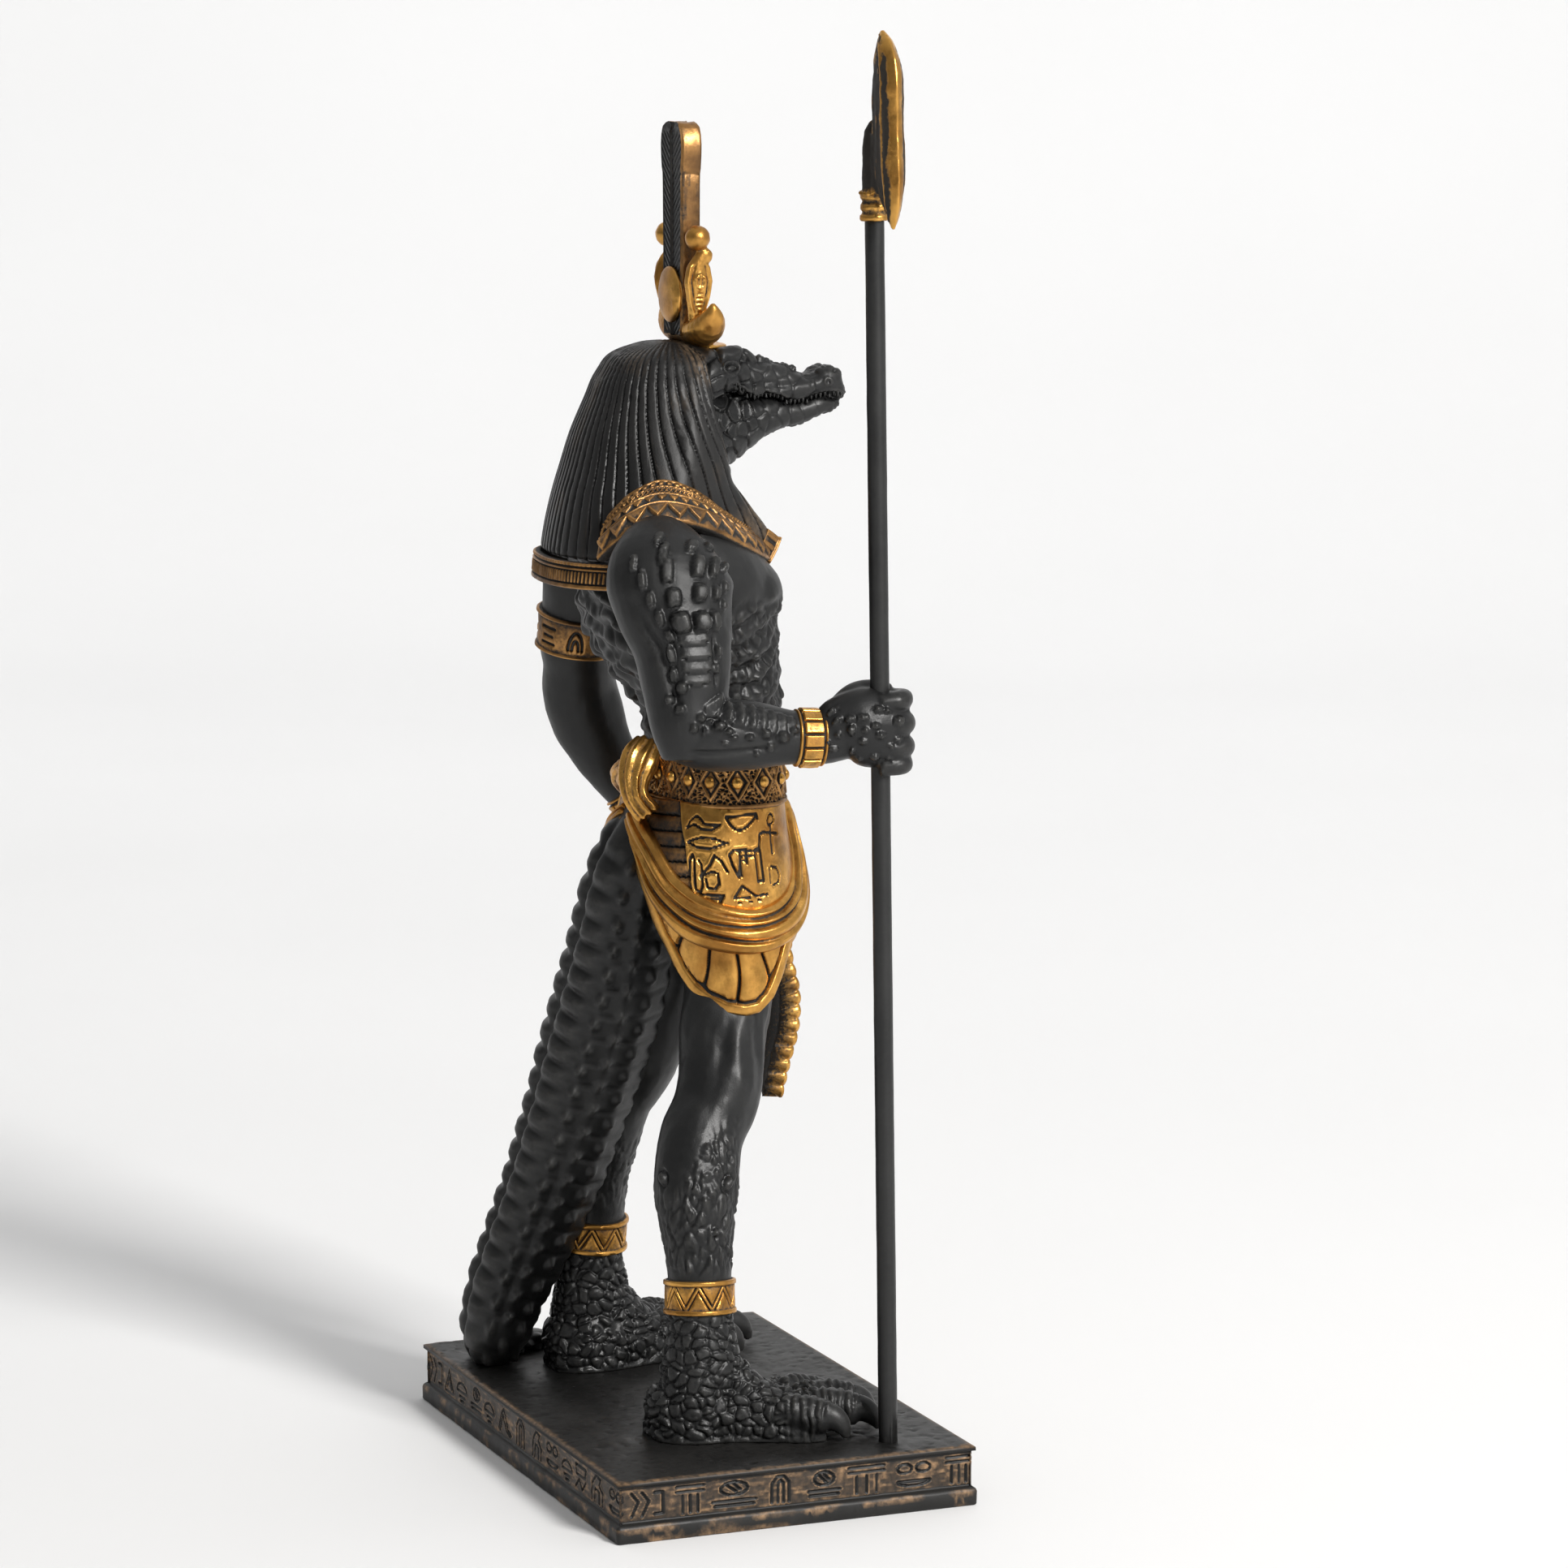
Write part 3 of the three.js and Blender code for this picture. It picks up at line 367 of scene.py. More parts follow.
def bent(v, amount, size, seed):
    """Places moved about a little, so that a pattern read there looks grown."""
    return v + amount * np.stack([noise(v, size, seed + k) for k in range(3)], 1)


def ramp(x, low, high):
    """A soft step from 0 at low to 1 at high."""
    u = np.clip((x - low) / (high - low), 0, 1)
    return u * u * (3 - 2 * u)


def fall(x, low, high):
    """A soft step down from 1 at low to 0 at high."""
    return 1 - ramp(x, low, high)


def hill(x, half, flat=0.0):
    """A rounded rise: 1 within flat times half of the middle, 0 beyond half."""
    return 1 - ramp(np.abs(x), half * flat, half)


# Finishes.


def node(tree, kind, **inputs):
    """A new shader node with some of its inputs set."""
    n = tree.nodes.new(kind)
    for key, value in inputs.items():
        n.inputs[key.replace("_", " ")].default_value = value
    return n


def finish(name, build):
    """A material whose one surface shader is set up by a function."""
    mat = bpy.data.materials.new(name)
    mat.use_nodes = True
    tree = mat.node_tree
    tree.nodes.clear()
    out = tree.nodes.new("ShaderNodeOutputMaterial")
    shader = tree.nodes.new("ShaderNodeBsdfPrincipled")
    tree.links.new(shader.outputs["BSDF"], out.inputs["Surface"])
    build(tree, shader)
    return mat


def texture(tree, scale, detail=4, rough=0.55):
    """Soft random cloud, in the coordinates of the piece."""
    where = tree.nodes.new("ShaderNodeTexCoord")
    t = node(tree, "ShaderNodeTexNoise", Scale=scale, Detail=detail, Roughness=rough)
    tree.links.new(where.outputs["Object"], t.inputs["Vector"])
    return t.outputs["Fac"]


def attribute(tree, name):
    """A mark of the mesh, as a value for the shader."""
    a = tree.nodes.new("ShaderNodeAttribute")
    a.attribute_name = name
    return a.outputs["Fac"]


def ranged(tree, value, low, high, out_low=0.0, out_high=1.0):
    """A value taken from one range to another."""
    m = node(tree, "ShaderNodeMapRange")
    m.inputs["From Min"].default_value = low
    m.inputs["From Max"].default_value = high
    m.inputs["To Min"].default_value = out_low
    m.inputs["To Max"].default_value = out_high
    tree.links.new(value, m.inputs["Value"])
    return m.outputs["Result"]


def maths(tree, kind, a, b):
    """Two values put together, kept from 0 to 1."""
    m = tree.nodes.new("ShaderNodeMath")
    m.operation = kind
    m.use_clamp = True
    for i, x in enumerate((a, b)):
        if isinstance(x, (int, float)):
            m.inputs[i].default_value = x
        else:
            tree.links.new(x, m.inputs[i])
    return m.outputs[0]


def blended(tree, share, a, b):
    """Two colours mixed by a share."""
    m = tree.nodes.new("ShaderNodeMix")
    m.data_type = "RGBA"
    tree.links.new(share, m.inputs["Factor"])
    for i, x in ((6, a), (7, b)):
        if isinstance(x, tuple):
            m.inputs[i].default_value = (*x, 1)
        else:
            tree.links.new(x, m.inputs[i])
    return m.outputs[2]


def relief(tree, shader, height, strength, distance):
    """A fine bump on the surface of a shader."""
    b = node(tree, "ShaderNodeBump", Strength=strength, Distance=distance)
    tree.links.new(height, b.inputs["Height"])
    tree.links.new(b.outputs["Normal"], shader.inputs["Normal"])


def resin_finish(name, dark, light, rub, rub_share, rough=0.44, grain=2600):
    """Cast resin: near black, a little lighter where handled, metallic rub where proud, painted shade in
    hollows.
    """
    def build(tree, shader):
        cloud = texture(tree, 60, 5)
        speck = texture(tree, 900, 3)
        proud = attribute(tree, "proud")
        base = blended(tree, ranged(tree, cloud, 0.35, 0.65), dark, light)
        worn = maths(tree, "MULTIPLY", ranged(tree, proud, 0.55, 1.0),
                     ranged(tree, speck, 0.35, 0.65, 0.25, 1.0))
        worn = maths(tree, "MULTIPLY", worn, rub_share)
        colour = blended(tree, worn, base, rub)
        # Painted shade: the hollows are darkened toward a fifth of the dark colour.
        deep = ranged(tree, proud, 0.47, 0.1, 0.0, 0.85)
        colour = blended(tree, deep, colour, tuple(0.2 * c for c in dark))
        tree.links.new(colour, shader.inputs["Base Color"])
        tree.links.new(ranged(tree, cloud, 0.3, 0.7, rough - 0.05, rough + 0.09),
                       shader.inputs["Roughness"])
        shader.inputs["Specular IOR Level"].default_value = 0.37
        relief(tree, shader, texture(tree, grain, 3, 0.6), 0.25, 0.0001)
    return finish(name, build)


def gold_finish(name, bright, dull, grime, rough=0.32):
    """Antique gold paint: bright on what stands proud, browner in patches, brown-black in the hollows."""
    def build(tree, shader):
        cloud = texture(tree, 85, 5)
        patch = texture(tree, 240, 4, 0.65)
        speck = texture(tree, 1500, 4)
        proud = attribute(tree, "proud")
        metal = blended(tree, ranged(tree, cloud, 0.38, 0.66), bright, dull)
        stain = maths(tree, "MULTIPLY", ranged(tree, patch, 0.44, 0.68, 0.0, 0.8),
                      ranged(tree, proud, 0.95, 0.5, 0.2, 1.0))
        metal = blended(tree, stain, metal, tuple(0.42 * c for c in dull))
        edge = maths(tree, "ADD", proud, ranged(tree, speck, 0.3, 0.7, -0.10, 0.10))
        clean = ranged(tree, edge, 0.28, 0.56)
        colour = blended(tree, clean, grime, metal)
        tree.links.new(colour, shader.inputs["Base Color"])
        tree.links.new(ranged(tree, clean, 0, 1, 0.0, 0.96), shader.inputs["Metallic"])
        gloss = ranged(tree, maths(tree, "SUBTRACT", clean, ranged(tree, cloud, 0.35, 0.7, 0, 0.3)), 0, 1,
                       0.7, rough)
        tree.links.new(gloss, shader.inputs["Roughness"])
        relief(tree, shader, texture(tree, 1500, 4, 0.6), 0.35, 0.00016)
    return finish(name, build)


CHARCOAL = resin_finish("charcoal_resin", (0.0060, 0.0062, 0.0064), (0.0120, 0.0122, 0.0122),
                        (0.060, 0.058, 0.053), 0.35, 0.41)
HAIR = resin_finish("wig_resin", (0.0065, 0.0063, 0.0062), (0.0125, 0.012, 0.0115), (0.17, 0.115, 0.068),
                    0.6, 0.43)
STONE = resin_finish("plinth_resin", (0.0075, 0.0072, 0.0068), (0.014, 0.0132, 0.0120),
                     (0.34, 0.205, 0.105), 0.9, 0.48)
GOLD = gold_finish("antique_gold", (0.74, 0.40, 0.098), (0.36, 0.165, 0.036), (0.012, 0.0085, 0.005), 0.27)
BRONZE = gold_finish("rubbed_bronze", (0.50, 0.265, 0.092), (0.15, 0.082, 0.038), (0.010, 0.008, 0.006),
                     0.40)
ROD = resin_finish("staff_black", (0.0085, 0.0088, 0.009), (0.015, 0.0153, 0.0153), (0.05, 0.048, 0.044),
                   0.3, 0.42)


TRIANGLES = {
    "torso": 98000, "wig": 72000, "head": 84000, "kilt": 70000, "right_arm": 76000, "plinth_sides": 72000,
    "plinth_plate": 18000,
    "broad_collar": 50000, "leg_left": 28000, "leg_right": 38000, "left_arm": 22000, "foot_left": 36000,
    "foot_right": 42000,
    "tail": 46000, "sash": 24000, "belt": 36000, "plumes": 18000, "anklet_right": 8000,
    "anklet_left": 7000, "wig_hem": 12000,
    "armband": 12000, "staff_head_blade": 10000, "wristband_right": 10000, "front_tab": 11000,
    "wristband_left": 5000,
    "serpents": 12000, "crown_disc_and_horns": 11000, "staff_rod": 4000, "knot": 12000,
}


def thinned(obj, most):
    """The same surface with fewer triangles, where it is nearly flat first."""
    old = obj.data
    share = most / (len(old.loops) - 2 * len(old.polygons))
    if share >= 1:
        return
    change = obj.modifiers.new("fewer", "DECIMATE")
    change.ratio = share
    obj.data = as_changed(obj)
    obj.modifiers.remove(change)
    bpy.data.meshes.remove(old)
    obj.data.name = obj.name


def piece(name, skin, mats, stands_for=("figure",), lift=LIFT, which=None):
    """A finished piece: shaded mesh with its marks, riding on the part in place of its CAD node."""
    mesh = plain_mesh(name, skin.v, skin.q, skin.t, lift)
    mesh.polygons.foreach_set("use_smooth", np.ones(len(mesh.polygons), bool))
    for m in mats:
        mesh.materials.append(m)
    if which is not None:
        q = which[skin.q].mean(1) > 0.5
        t = which[skin.t].mean(1) > 0.5 if len(skin.t) else np.zeros(0, bool)
        mesh.polygons.foreach_set("material_index", np.concatenate([q, t]).astype(np.int32))
    keep_marks(mesh, skin.marks)
    obj = shown(name, mesh)
    thinned(obj, TRIANGLES.get(name, 20000))
    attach(obj, "root")
    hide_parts(*stands_for)
    return obj


def proud_mark(skin, times=2, gain=9.0, wide=14, wide_gain=2.2):
    """Marks ridges near 1 and hollows near 0, from the fine and the broad form together."""
    fine = -skin.hollows(times) * gain
    broad = -skin.hollows(wide) * wide_gain * 6
    return skin.mark("proud", 0.5 + fine + broad)


# Trunk, arms and legs.

TRUNK = [
    [8.5, 210, 12, 9], [8, 204, 23, 12], [6.4, 197.5, 29.5, 16.4], [4, 190, 31.4, 19.8],
    [1.8, 177, 28, 19.4], [-1, 167.5, 24.2, 17], [-4.5, 159.6, 20.8, 13.9], [-5.4, 154, 20, 13.2],
    [-5.4, 148, 21, 12.6], [-5.4, 140, 21, 12.6], [-5.4, 128, 21.5, 12],
]
LEG = [
    [11, -5.2, 122, 8.7, 9.1], [12.9, -4.2, 110, 9.1, 9.5], [15, -2.9, 100.6, 9.2, 9.6],
    [17, -1.1, 94.5, 9.2, 9.4], [18.9, -0.1, 88, 9, 9.2], [20.4, 1.1, 83.3, 8.9, 9.1],
    [21.8, 3.2, 78.5, 8.5, 8.7], [23.8, 6.4, 73.5, 8.4, 8.7], [25.8, 8.2, 68, 8.6, 8.8],
    [27.8, 9.4, 61.9, 8.4, 8.6], [29.6, 9.8, 55.4, 7.3, 7.5], [31.2, 9.9, 46, 6.4, 6.6],
    [31.9, 10.1, 40, 6.2, 6.4],
]

ANKLE = [[31.6, 10, 42.6, 6.1, 6.3], [32.2, 10.2, 38, 6.4, 6.6], [32.5, 10.2, 27, 7.6, 8.4],
         [32.4, 10.6, 12.6, 8, 9.4]]

LEFT_LEG_BACK = [(44, 0), (62, 1), (84, 2.3), (100, 1.6), (112, 0)]

SHIN_NAILS = [(251, 66.5, 1.0), (153, 65.4, 1.1), (170, 56, 0.7)]


def on_leg(v, rows):
    """For points near a leg: level, degrees round from the inside, and the leg's mean half size at that
    level.
    """
    rows = flow(rows, 0.5)[::-1]
    x, y, w, d = (np.interp(v[:, 2], rows[:, 2], rows[:, k]) for k in (0, 1, 3, 4))
    dx, dy = v[:, 0] - x, v[:, 1] - y
    return v[:, 2], np.degrees(np.arctan2(dy / d, dx / w)), (w + d) / 2


def leaf_carving(v, size, seed, warp=1.0, low=0.04, high=0.6):
    """Pointed leaf-like lumps with sharp seams, as tall as one."""
    f, g, tag = scales(bent(v, warp, 4.2, seed + 1), size, seed, 0.95)
    return ramp(g - f, low, high) * (0.5 + 0.5 * tag)


def leg(side, name):
    """One leg, from the kilt to the ankle."""
    back = LEFT_LEG_BACK if side == LEFT else [(0, 0), (200, 0)]
    rows = mirrored(side, [[x, y + read(back, z), z, w, d] for x, y, z, w, d in LEG])
    skin = melted([tube(rows)], 0.36, 4)
    v = skin.v
    z, degrees, girth = on_leg(v, rows)
    outward = (degrees if side == LEFT else 180 - degrees) % 360
    face = hill(nearest_turn(outward) + 20, 120, 0.7)
    tip = 77 - 12 * (1 - hill(nearest_turn(outward - 350), 60, 0.2))
    shin = fall(z, tip - 5, tip + 3) * ramp(z, 46.5, 49)
    round_front = 0.35 + 0.65 * hill(nearest_turn(outward - 345), 140, 0.5)
    leaves = leaf_carving(v, (1.9, 1.9, 5.4), 61 + side, 1.1, 0.03, 0.42)
    h = (shin * round_front * (0.62 * leaves - 0.3
                               + 0.3 * leaf_carving(v, (1.1, 1.1, 3.4), 67 + side, 0.7, 0.03, 0.4)))
    thigh = ramp(z, 72, 80)
    h += (thigh * (1 - shin) * (0.5 * noise(v * [1, 1, 0.35], 4.2, 68)
                                + 0.1 * noise(v * [1, 1, 0.4], 1.8, 69)))
    for at, lean, deep in ((330, 1.2, 0.8), (20, -1.0, 0.6), (292, 0.7, 0.5)):
        off = nearest_turn(outward - at - lean * (z - 92))
        h -= thigh * deep * hill(off, 17) * hill(z - 98, 22, 0.3)
    for at, level, r in SHIN_NAILS:
        off = nearest_turn(outward - (at - 180)) * np.radians(girth)
        far = np.hypot(off, (z - level) * 0.8) / r
        h += 1.0 * np.sqrt(np.clip(1 - far * far, 0, 1)) - 0.4 * hill(far - 1.35, 0.4)
    h += 0.05 * noise(v, 1.2, 64) + face * 0.1 * noise(v, 2.6, 65)
    skin.push(h)
    skin.relax(1, 0.25)
    proud_mark(skin, 2, 9)
    piece(name, skin, [CHARCOAL])


RIGHT_ARM = [
    [-25, 14, 195.4, 6, 7], [-31.4, 16.2, 193.2, 9, 12], [-35, 17.4, 190, 10.6, 13.2],
    [-37.6, 17.6, 185, 10.1, 12], [-40, 16.8, 178, 9.1, 10.2], [-42, 16.7, 167.6, 7.9, 8.6],
    [-43.4, 17, 160, 6.6, 7], [-43.6, 17, 155.4, 4.6, 5.2],
]
RIGHT_FOREARM = [
    [-43, 21, 160.3, 4.4, 4.8], [-44, 15, 160.2, 6.5, 7], [-46, 4.3, 159.8, 6.5, 7],
    [-47.8, -3.8, 159.2, 5, 5.5], [-48.4, -7, 159, 4.8, 5.3], [-48.8, -10.4, 158.9, 4.8, 5.4],
    [-49.6, -14, 160.6, 5, 6.8], [-50.6, -17.8, 161, 5.6, 8], [-51, -22, 160.4, 5.6, 8],
    [-50.4, -26, 159.8, 4.4, 7],
]
LEFT_ARM = [
    [26, 4, 196.4, 6, 7], [31.6, 6.6, 194, 9, 11], [34.4, 8, 189.6, 9.8, 11.6], [35.6, 9.2, 182, 8.9, 10],
    [37.6, 10, 175, 8.2, 8.4], [39.2, 10.4, 168.4, 7.7, 7.9], [40.4, 9.6, 164.4, 7.5, 7.7],
    [42, 8.9, 159.1, 7.7, 8], [42.6, 7.2, 153.4, 7.9, 8.2], [40.8, 3.6, 144.4, 6.4, 6.8],
    [39.5, -1.2, 137.4, 5.5, 5.8], [38.1, -4.6, 132.4, 4.7, 5.1], [37, -8, 127.4, 4.7, 6.1],
    [36.6, -9.8, 122.8, 5, 6.9], [36.4, -10.6, 118.8, 4.4, 6],
]
FINGERS = [(166.4, 2.1), (161.6, 2.6), (156.9, 2.5), (153.3, 2.1)]


def right_fingers():
    parts = [tube([[-53.6, -20.4, z - 0.4, r * 0.9, r], [-54, -25, z, r, r], [-51.6, -26.4, z, r, r],
                   [-48.2, -25.6, z - 0.4, r, r], [-46, -22.4, z - 0.6, r * 0.9, r]], 20, (0, 0, 1),
                   step=0.5)
             for z, r in FINGERS]
    parts.append(tube([[-48.8, -13, 163.6, 2.8, 2.8], [-47.8, -17.4, 166.8, 2.8, 2.7],
                       [-47.2, -21.8, 167.6, 2.4, 2.3],
                       [-48.6, -25.2, 167.4, 1.7, 1.7]], 20, (0, 0, 1), step=0.5))
    return parts


def left_fingers():
    parts = []
    for n in range(4):
        y, z = -16.2 + n * 3.3, 119.4 - n * 0.8
        parts.append(tube([[39.6, y, z + 3, 1.9, 1.9], [39, y - 0.2, z - 1.4, 1.9, 1.9],
                           [36, y - 0.2, z - 3, 1.9, 1.9],
                           [33, y, z - 0.6, 1.7, 1.7]], 20, (0, 1, 0), step=0.5))
    parts.append(tube([[36.6, -14.4, 127.8, 2.3, 2.4], [34.6, -17.4, 123.8, 2.2, 2.2],
                       [34.2, -18, 120.2, 1.9, 1.9]], 20, step=0.5))
    return parts


def limb_place(v, rows, across=(1, 0, 0)):
    """Where points lie on a limb: millimetres along, degrees round, share of its half width, girth radius."""
    rows = flow(rows, 0.5)
    middle = rows[:, :3]
    along = unit(np.gradient(middle, axis=0))
    side = unit(np.array(across, float) - along * (along @ np.array(across, float))[:, None])
    other = np.cross(along, side)
    near = np.concatenate([((c[:, None] - middle[None]) ** 2).sum(2).argmin(1)
                           for c in np.array_split(v, 40)])
    off = v - middle[near]
    x = np.einsum("ij,ij->i", off, side[near]) / rows[near, 3]
    y = np.einsum("ij,ij->i", off, other[near]) / rows[near, 4]
    turn = np.degrees(np.arctan2(y, x)) % 360
    return near * 0.5, turn, np.hypot(x, y), (rows[near, 3] + rows[near, 4]) / 2


def bosses(place, rows, square=3.0, flat=0.5, lift=1.35):
    """Bosses on a limb, each in a shallow ditch: [along, degrees round, half length, half width, height]."""
    along, degrees, _, girth = place
    h = np.zeros(len(along))
    for at, angle, long, wide, tall in rows:
        x = (along - at) / (0.88 * long)
        y = nearest_turn(degrees - angle) * np.radians(girth) / (0.86 * wide)
        r = (np.abs(x) ** square + np.abs(y) ** square) ** (1 / square)
        h = np.maximum(h, lift * tall * hill(r, 1.08, flat)) - 0.22 * tall * hill(r - 1.32, 0.3)
    return h


def overlapping(place, rows):
    """Curved plates that overlap along a limb, each highest at its far edge."""
    along, degrees, _, girth = place
    h = np.zeros(len(along))
    for at, angle, long, wide, tall in rows:
        y = nearest_turn(degrees - angle) * np.radians(girth) / wide
        bow = long * (1 - 0.55 * y * y)
        x = (along - at) / long
        inside = (np.abs(y) < 1) * (x > -1.2) * (along - at < bow)
        rise = tall * (0.35 + 0.65 * ramp(x, -1, 0.75)) * fall(np.abs(y), 0.75, 1)
        h = np.where(inside, np.maximum(rise, h * (x < -0.2)), h)
        h -= 0.35 * tall * hill((along - at - bow) / 0.45, 1) * (np.abs(y) < 0.9)
    return h


SHOULDER_BOSSES = [
    [12.5, 233, 1.0, 0.9, 0.5], [14.5, 224, 1.4, 1.0, 0.7], [17.5, 219, 1.5, 1.0, 0.7],
    [20.5, 213, 1.5, 1.1, 0.7], [10, 213, 1.3, 1.0, 0.8], [12, 205, 1.6, 1.2, 0.9],
    [14, 200, 1.9, 1.4, 1.0], [18, 196, 2.1, 1.7, 1.2], [22, 193, 2.3, 2.4, 1.7],
    [10.5, 181, 1.5, 1.4, 0.9], [13.5, 172, 2.0, 1.6, 1.1], [17.5, 170, 2.1, 1.7, 1.2],
    [22.5, 171, 2.1, 2.2, 1.5], [8.5, 163, 1.4, 1.2, 0.8], [13, 155, 2.0, 1.3, 1.0],
    [17.5, 151, 2.0, 1.2, 0.9], [22.6, 155, 2.1, 1.5, 1.2], [12, 141, 1.5, 1.2, 0.8],
    [16, 138, 1.5, 1.1, 0.8], [20, 138, 1.3, 1.0, 0.7], [24, 209, 1.6, 1.2, 0.8],
    [27.5, 213, 2.0, 1.1, 0.8], [31.5, 214, 2.0, 1.1, 0.8], [34, 205, 1.5, 1.5, 1.1],
    [36.5, 222, 1.2, 1.1, 0.8], [38.5, 209, 1.1, 1.2, 0.8], [27.5, 153, 1.3, 1.0, 0.7],
    [30.5, 157, 1.2, 1.0, 0.6],
]
BICEPS_PLATES = [[25.2, 184, 1.15, 3.3, 0.6], [27.6, 182, 1.15, 3.5, 0.62], [30.0, 182, 1.2, 3.5, 0.6],
                 [32.4, 184, 1.15, 3.2, 0.55]]

BACK_LUMP = (4.6, 4.0, 5.0)
FOREARM_BOSSES = [
    [1.5, 137, 0.9, 0.9, 0.8], [3.5, 140, 0.9, 0.9, 0.8], [5.5, 148, 0.9, 0.9, 0.8],
    [4, 163, 0.9, 1.2, 0.8], [6, 166, 0.7, 1.3, 0.8], [9.3, 160, 1.7, 1.3, 1.1], [11.2, 168, 1.1, 0.9, 0.7],
    [12.2, 177, 1.0, 0.7, 0.5], [10.5, 186, 1.1, 0.5, 0.4], [15.6, 177, 1.1, 0.9, 0.7],
    [19, 171, 1.3, 1.2, 0.9], [22.6, 175, 1.6, 1.4, 1.0], [20.2, 194, 1.0, 1.3, 0.7],
    [3, 84, 1.6, 1.5, 1.1], [1, 110, 1.2, 1.2, 0.8], [7.4, 152, 0.8, 0.7, 0.6], [25, 160, 0.9, 0.8, 0.5],
    [17.4, 205, 0.8, 0.9, 0.4],
]
FOREARM_PLATES = [
    [5.2, 115, 1.9, 2.2, 0.9], [8.3, 127, 1.6, 2.6, 0.95], [10.9, 133, 1.5, 2.9, 0.95],
    [13.4, 137, 1.4, 3.1, 0.9], [15.8, 140, 1.3, 3.2, 0.85], [18.0, 143, 1.2, 3.2, 0.75],
    [20.2, 146, 1.15, 3.0, 0.65], [22.3, 148, 1.1, 2.8, 0.55], [24.2, 149, 1.0, 2.4, 0.4],
]
HAND_WARTS = [
    [32.4, 142, 0.8, 0.8, 0.6], [35.4, 150, 0.9, 0.8, 0.6], [37.4, 160, 1.1, 1.0, 0.8],
    [39.5, 161, 1.0, 0.9, 0.6], [41.7, 149, 0.9, 0.9, 0.7], [43, 149, 0.8, 0.8, 0.6],
    [45, 163, 1.1, 1.2, 0.6], [37.5, 177, 1.2, 1.4, 0.9], [34.5, 174, 0.9, 0.9, 0.6],
    [41.5, 174, 1.0, 0.9, 0.6], [40, 180, 0.8, 0.8, 0.5], [42.5, 187, 1.1, 1.0, 0.6],
    [39.5, 197, 1.0, 0.9, 0.5], [37, 213, 1.1, 1.1, 0.7], [32.5, 197, 1.1, 0.9, 0.6],
    [31.6, 182, 0.7, 0.8, 0.5], [45.4, 190, 1.0, 0.9, 0.5], [44.4, 200, 0.7, 0.7, 0.4],
    [42.5, 222, 1.1, 1.1, 0.7], [44.6, 218, 0.7, 0.7, 0.4], [39, 230, 0.8, 0.8, 0.5],
    [35.4, 128, 0.8, 0.8, 0.5],
]


def trunk_carving(v, free):
    """Chest, belly and ribs in front, lumps on the flanks and soft wavy lumps down the back."""
    angle = np.radians(CHEST_TURN_DEG) * read(CHEST_TURN, v[:, 2])
    x = v[:, 0] * np.cos(angle) - v[:, 1] * np.sin(angle)
    y = v[:, 0] * np.sin(angle) + v[:, 1] * np.cos(angle)
    z = v[:, 2]
    front = ramp(-y, 4, 9) * free
    h = -1.0 * hill(x, 1.7) * front * ramp(z, 150, 153) * fall(z, 188, 194)
    for level in (175.6, 167, 158.6):
        h -= 0.7 * hill(z - level - 0.02 * x * x, 1.5) * front * (np.abs(x) < 9.5)
    h -= 0.7 * hill(np.abs(x) - 9.6, 1.8) * front * fall(z, 172, 176)
    ribs = front * ramp(np.abs(x), 10, 12) * ramp(z, 154, 158) * fall(z, 173, 176)
    h += ribs * 0.7 * np.sin((z + 0.55 * np.abs(x)) * 2 * math.pi / 5.6)
    h -= 0.8 * hill(z - 177.2 + 0.02 * x * x, 1.6) * front * (np.abs(x) > 2)
    flank = free * ramp(np.abs(x), 9.5, 13) * ramp(13 - y, 0, 5) * ramp(z, 151, 155) * fall(z, 181, 186)
    grown = bent(v, 1.1, 4.4, 33)
    f, g, tag = scales(grown, (3.0, 3.0, 3.6), 31, 0.95)
    h += flank * (0.85 * ramp(g - f, 0.03, 0.42) * (0.4 + 0.6 * tag) - 0.35)
    f, g, tag = scales(grown, (1.5, 1.5, 1.9), 37, 0.95)
    h += flank * 0.22 * ramp(g - f, 0.03, 0.35) * (0.3 + 0.7 * tag)
    h += flank * 0.4 * np.sin((z + 0.7 * np.abs(x) + 1.2 * noise(v, 6, 36)) * 2 * math.pi / 5.4)
    rear = free * ramp(y, 1, 5) * ramp(z, 151, 154) * fall(z, 190, 194)
    f, g, tag = scales(bent(v, 1.3, 5, 71), BACK_LUMP, 43, 0.85)
    h += rear * (1.0 * ramp(g - f, 0.0, 0.5) * (0.4 + 0.6 * tag) - 0.4)
    h += rear * 0.55 * np.sin((z + 0.25 * np.abs(x) + 1.2 * noise(v, 6, 74)) * 2 * math.pi / 5.2)
    h -= rear * 0.8 * hill(x, 1.6)
    return h


def torso():
    parts = [turned(stacked(TRUNK)), tube(RIGHT_ARM[:4]), tube(LEFT_ARM[:4]),
             stacked([[-4.2, 141.6, 23.4, 12.2], [-4.2, 149.4, 23.2, 12]], 64, 2.4)]
    for side in (RIGHT, LEFT):
        parts.append(turned(ball([side * 11.6, -9.4, 184.6], [12.4, 7.6, 7.8])))
    skin = melted(parts, 0.40, 8)
    v = skin.v
    arm, left = (limb_place(v, rows) for rows in (RIGHT_ARM, LEFT_ARM))
    near = np.maximum(fall(arm[2], 1.0, 1.25) * (v[:, 0] < -22), fall(left[2], 1.0, 1.25) * (v[:, 0] > 22))
    h = trunk_carving(v, 1 - near)
    h -= 1.2 * near
    h += 0.12 * noise(v, 3.5, 61) + 0.05 * noise(v, 1.4, 62)
    skin.push(h)
    skin.relax(1, 0.3)
    proud_mark(skin)
    piece("torso", skin, [CHARCOAL])


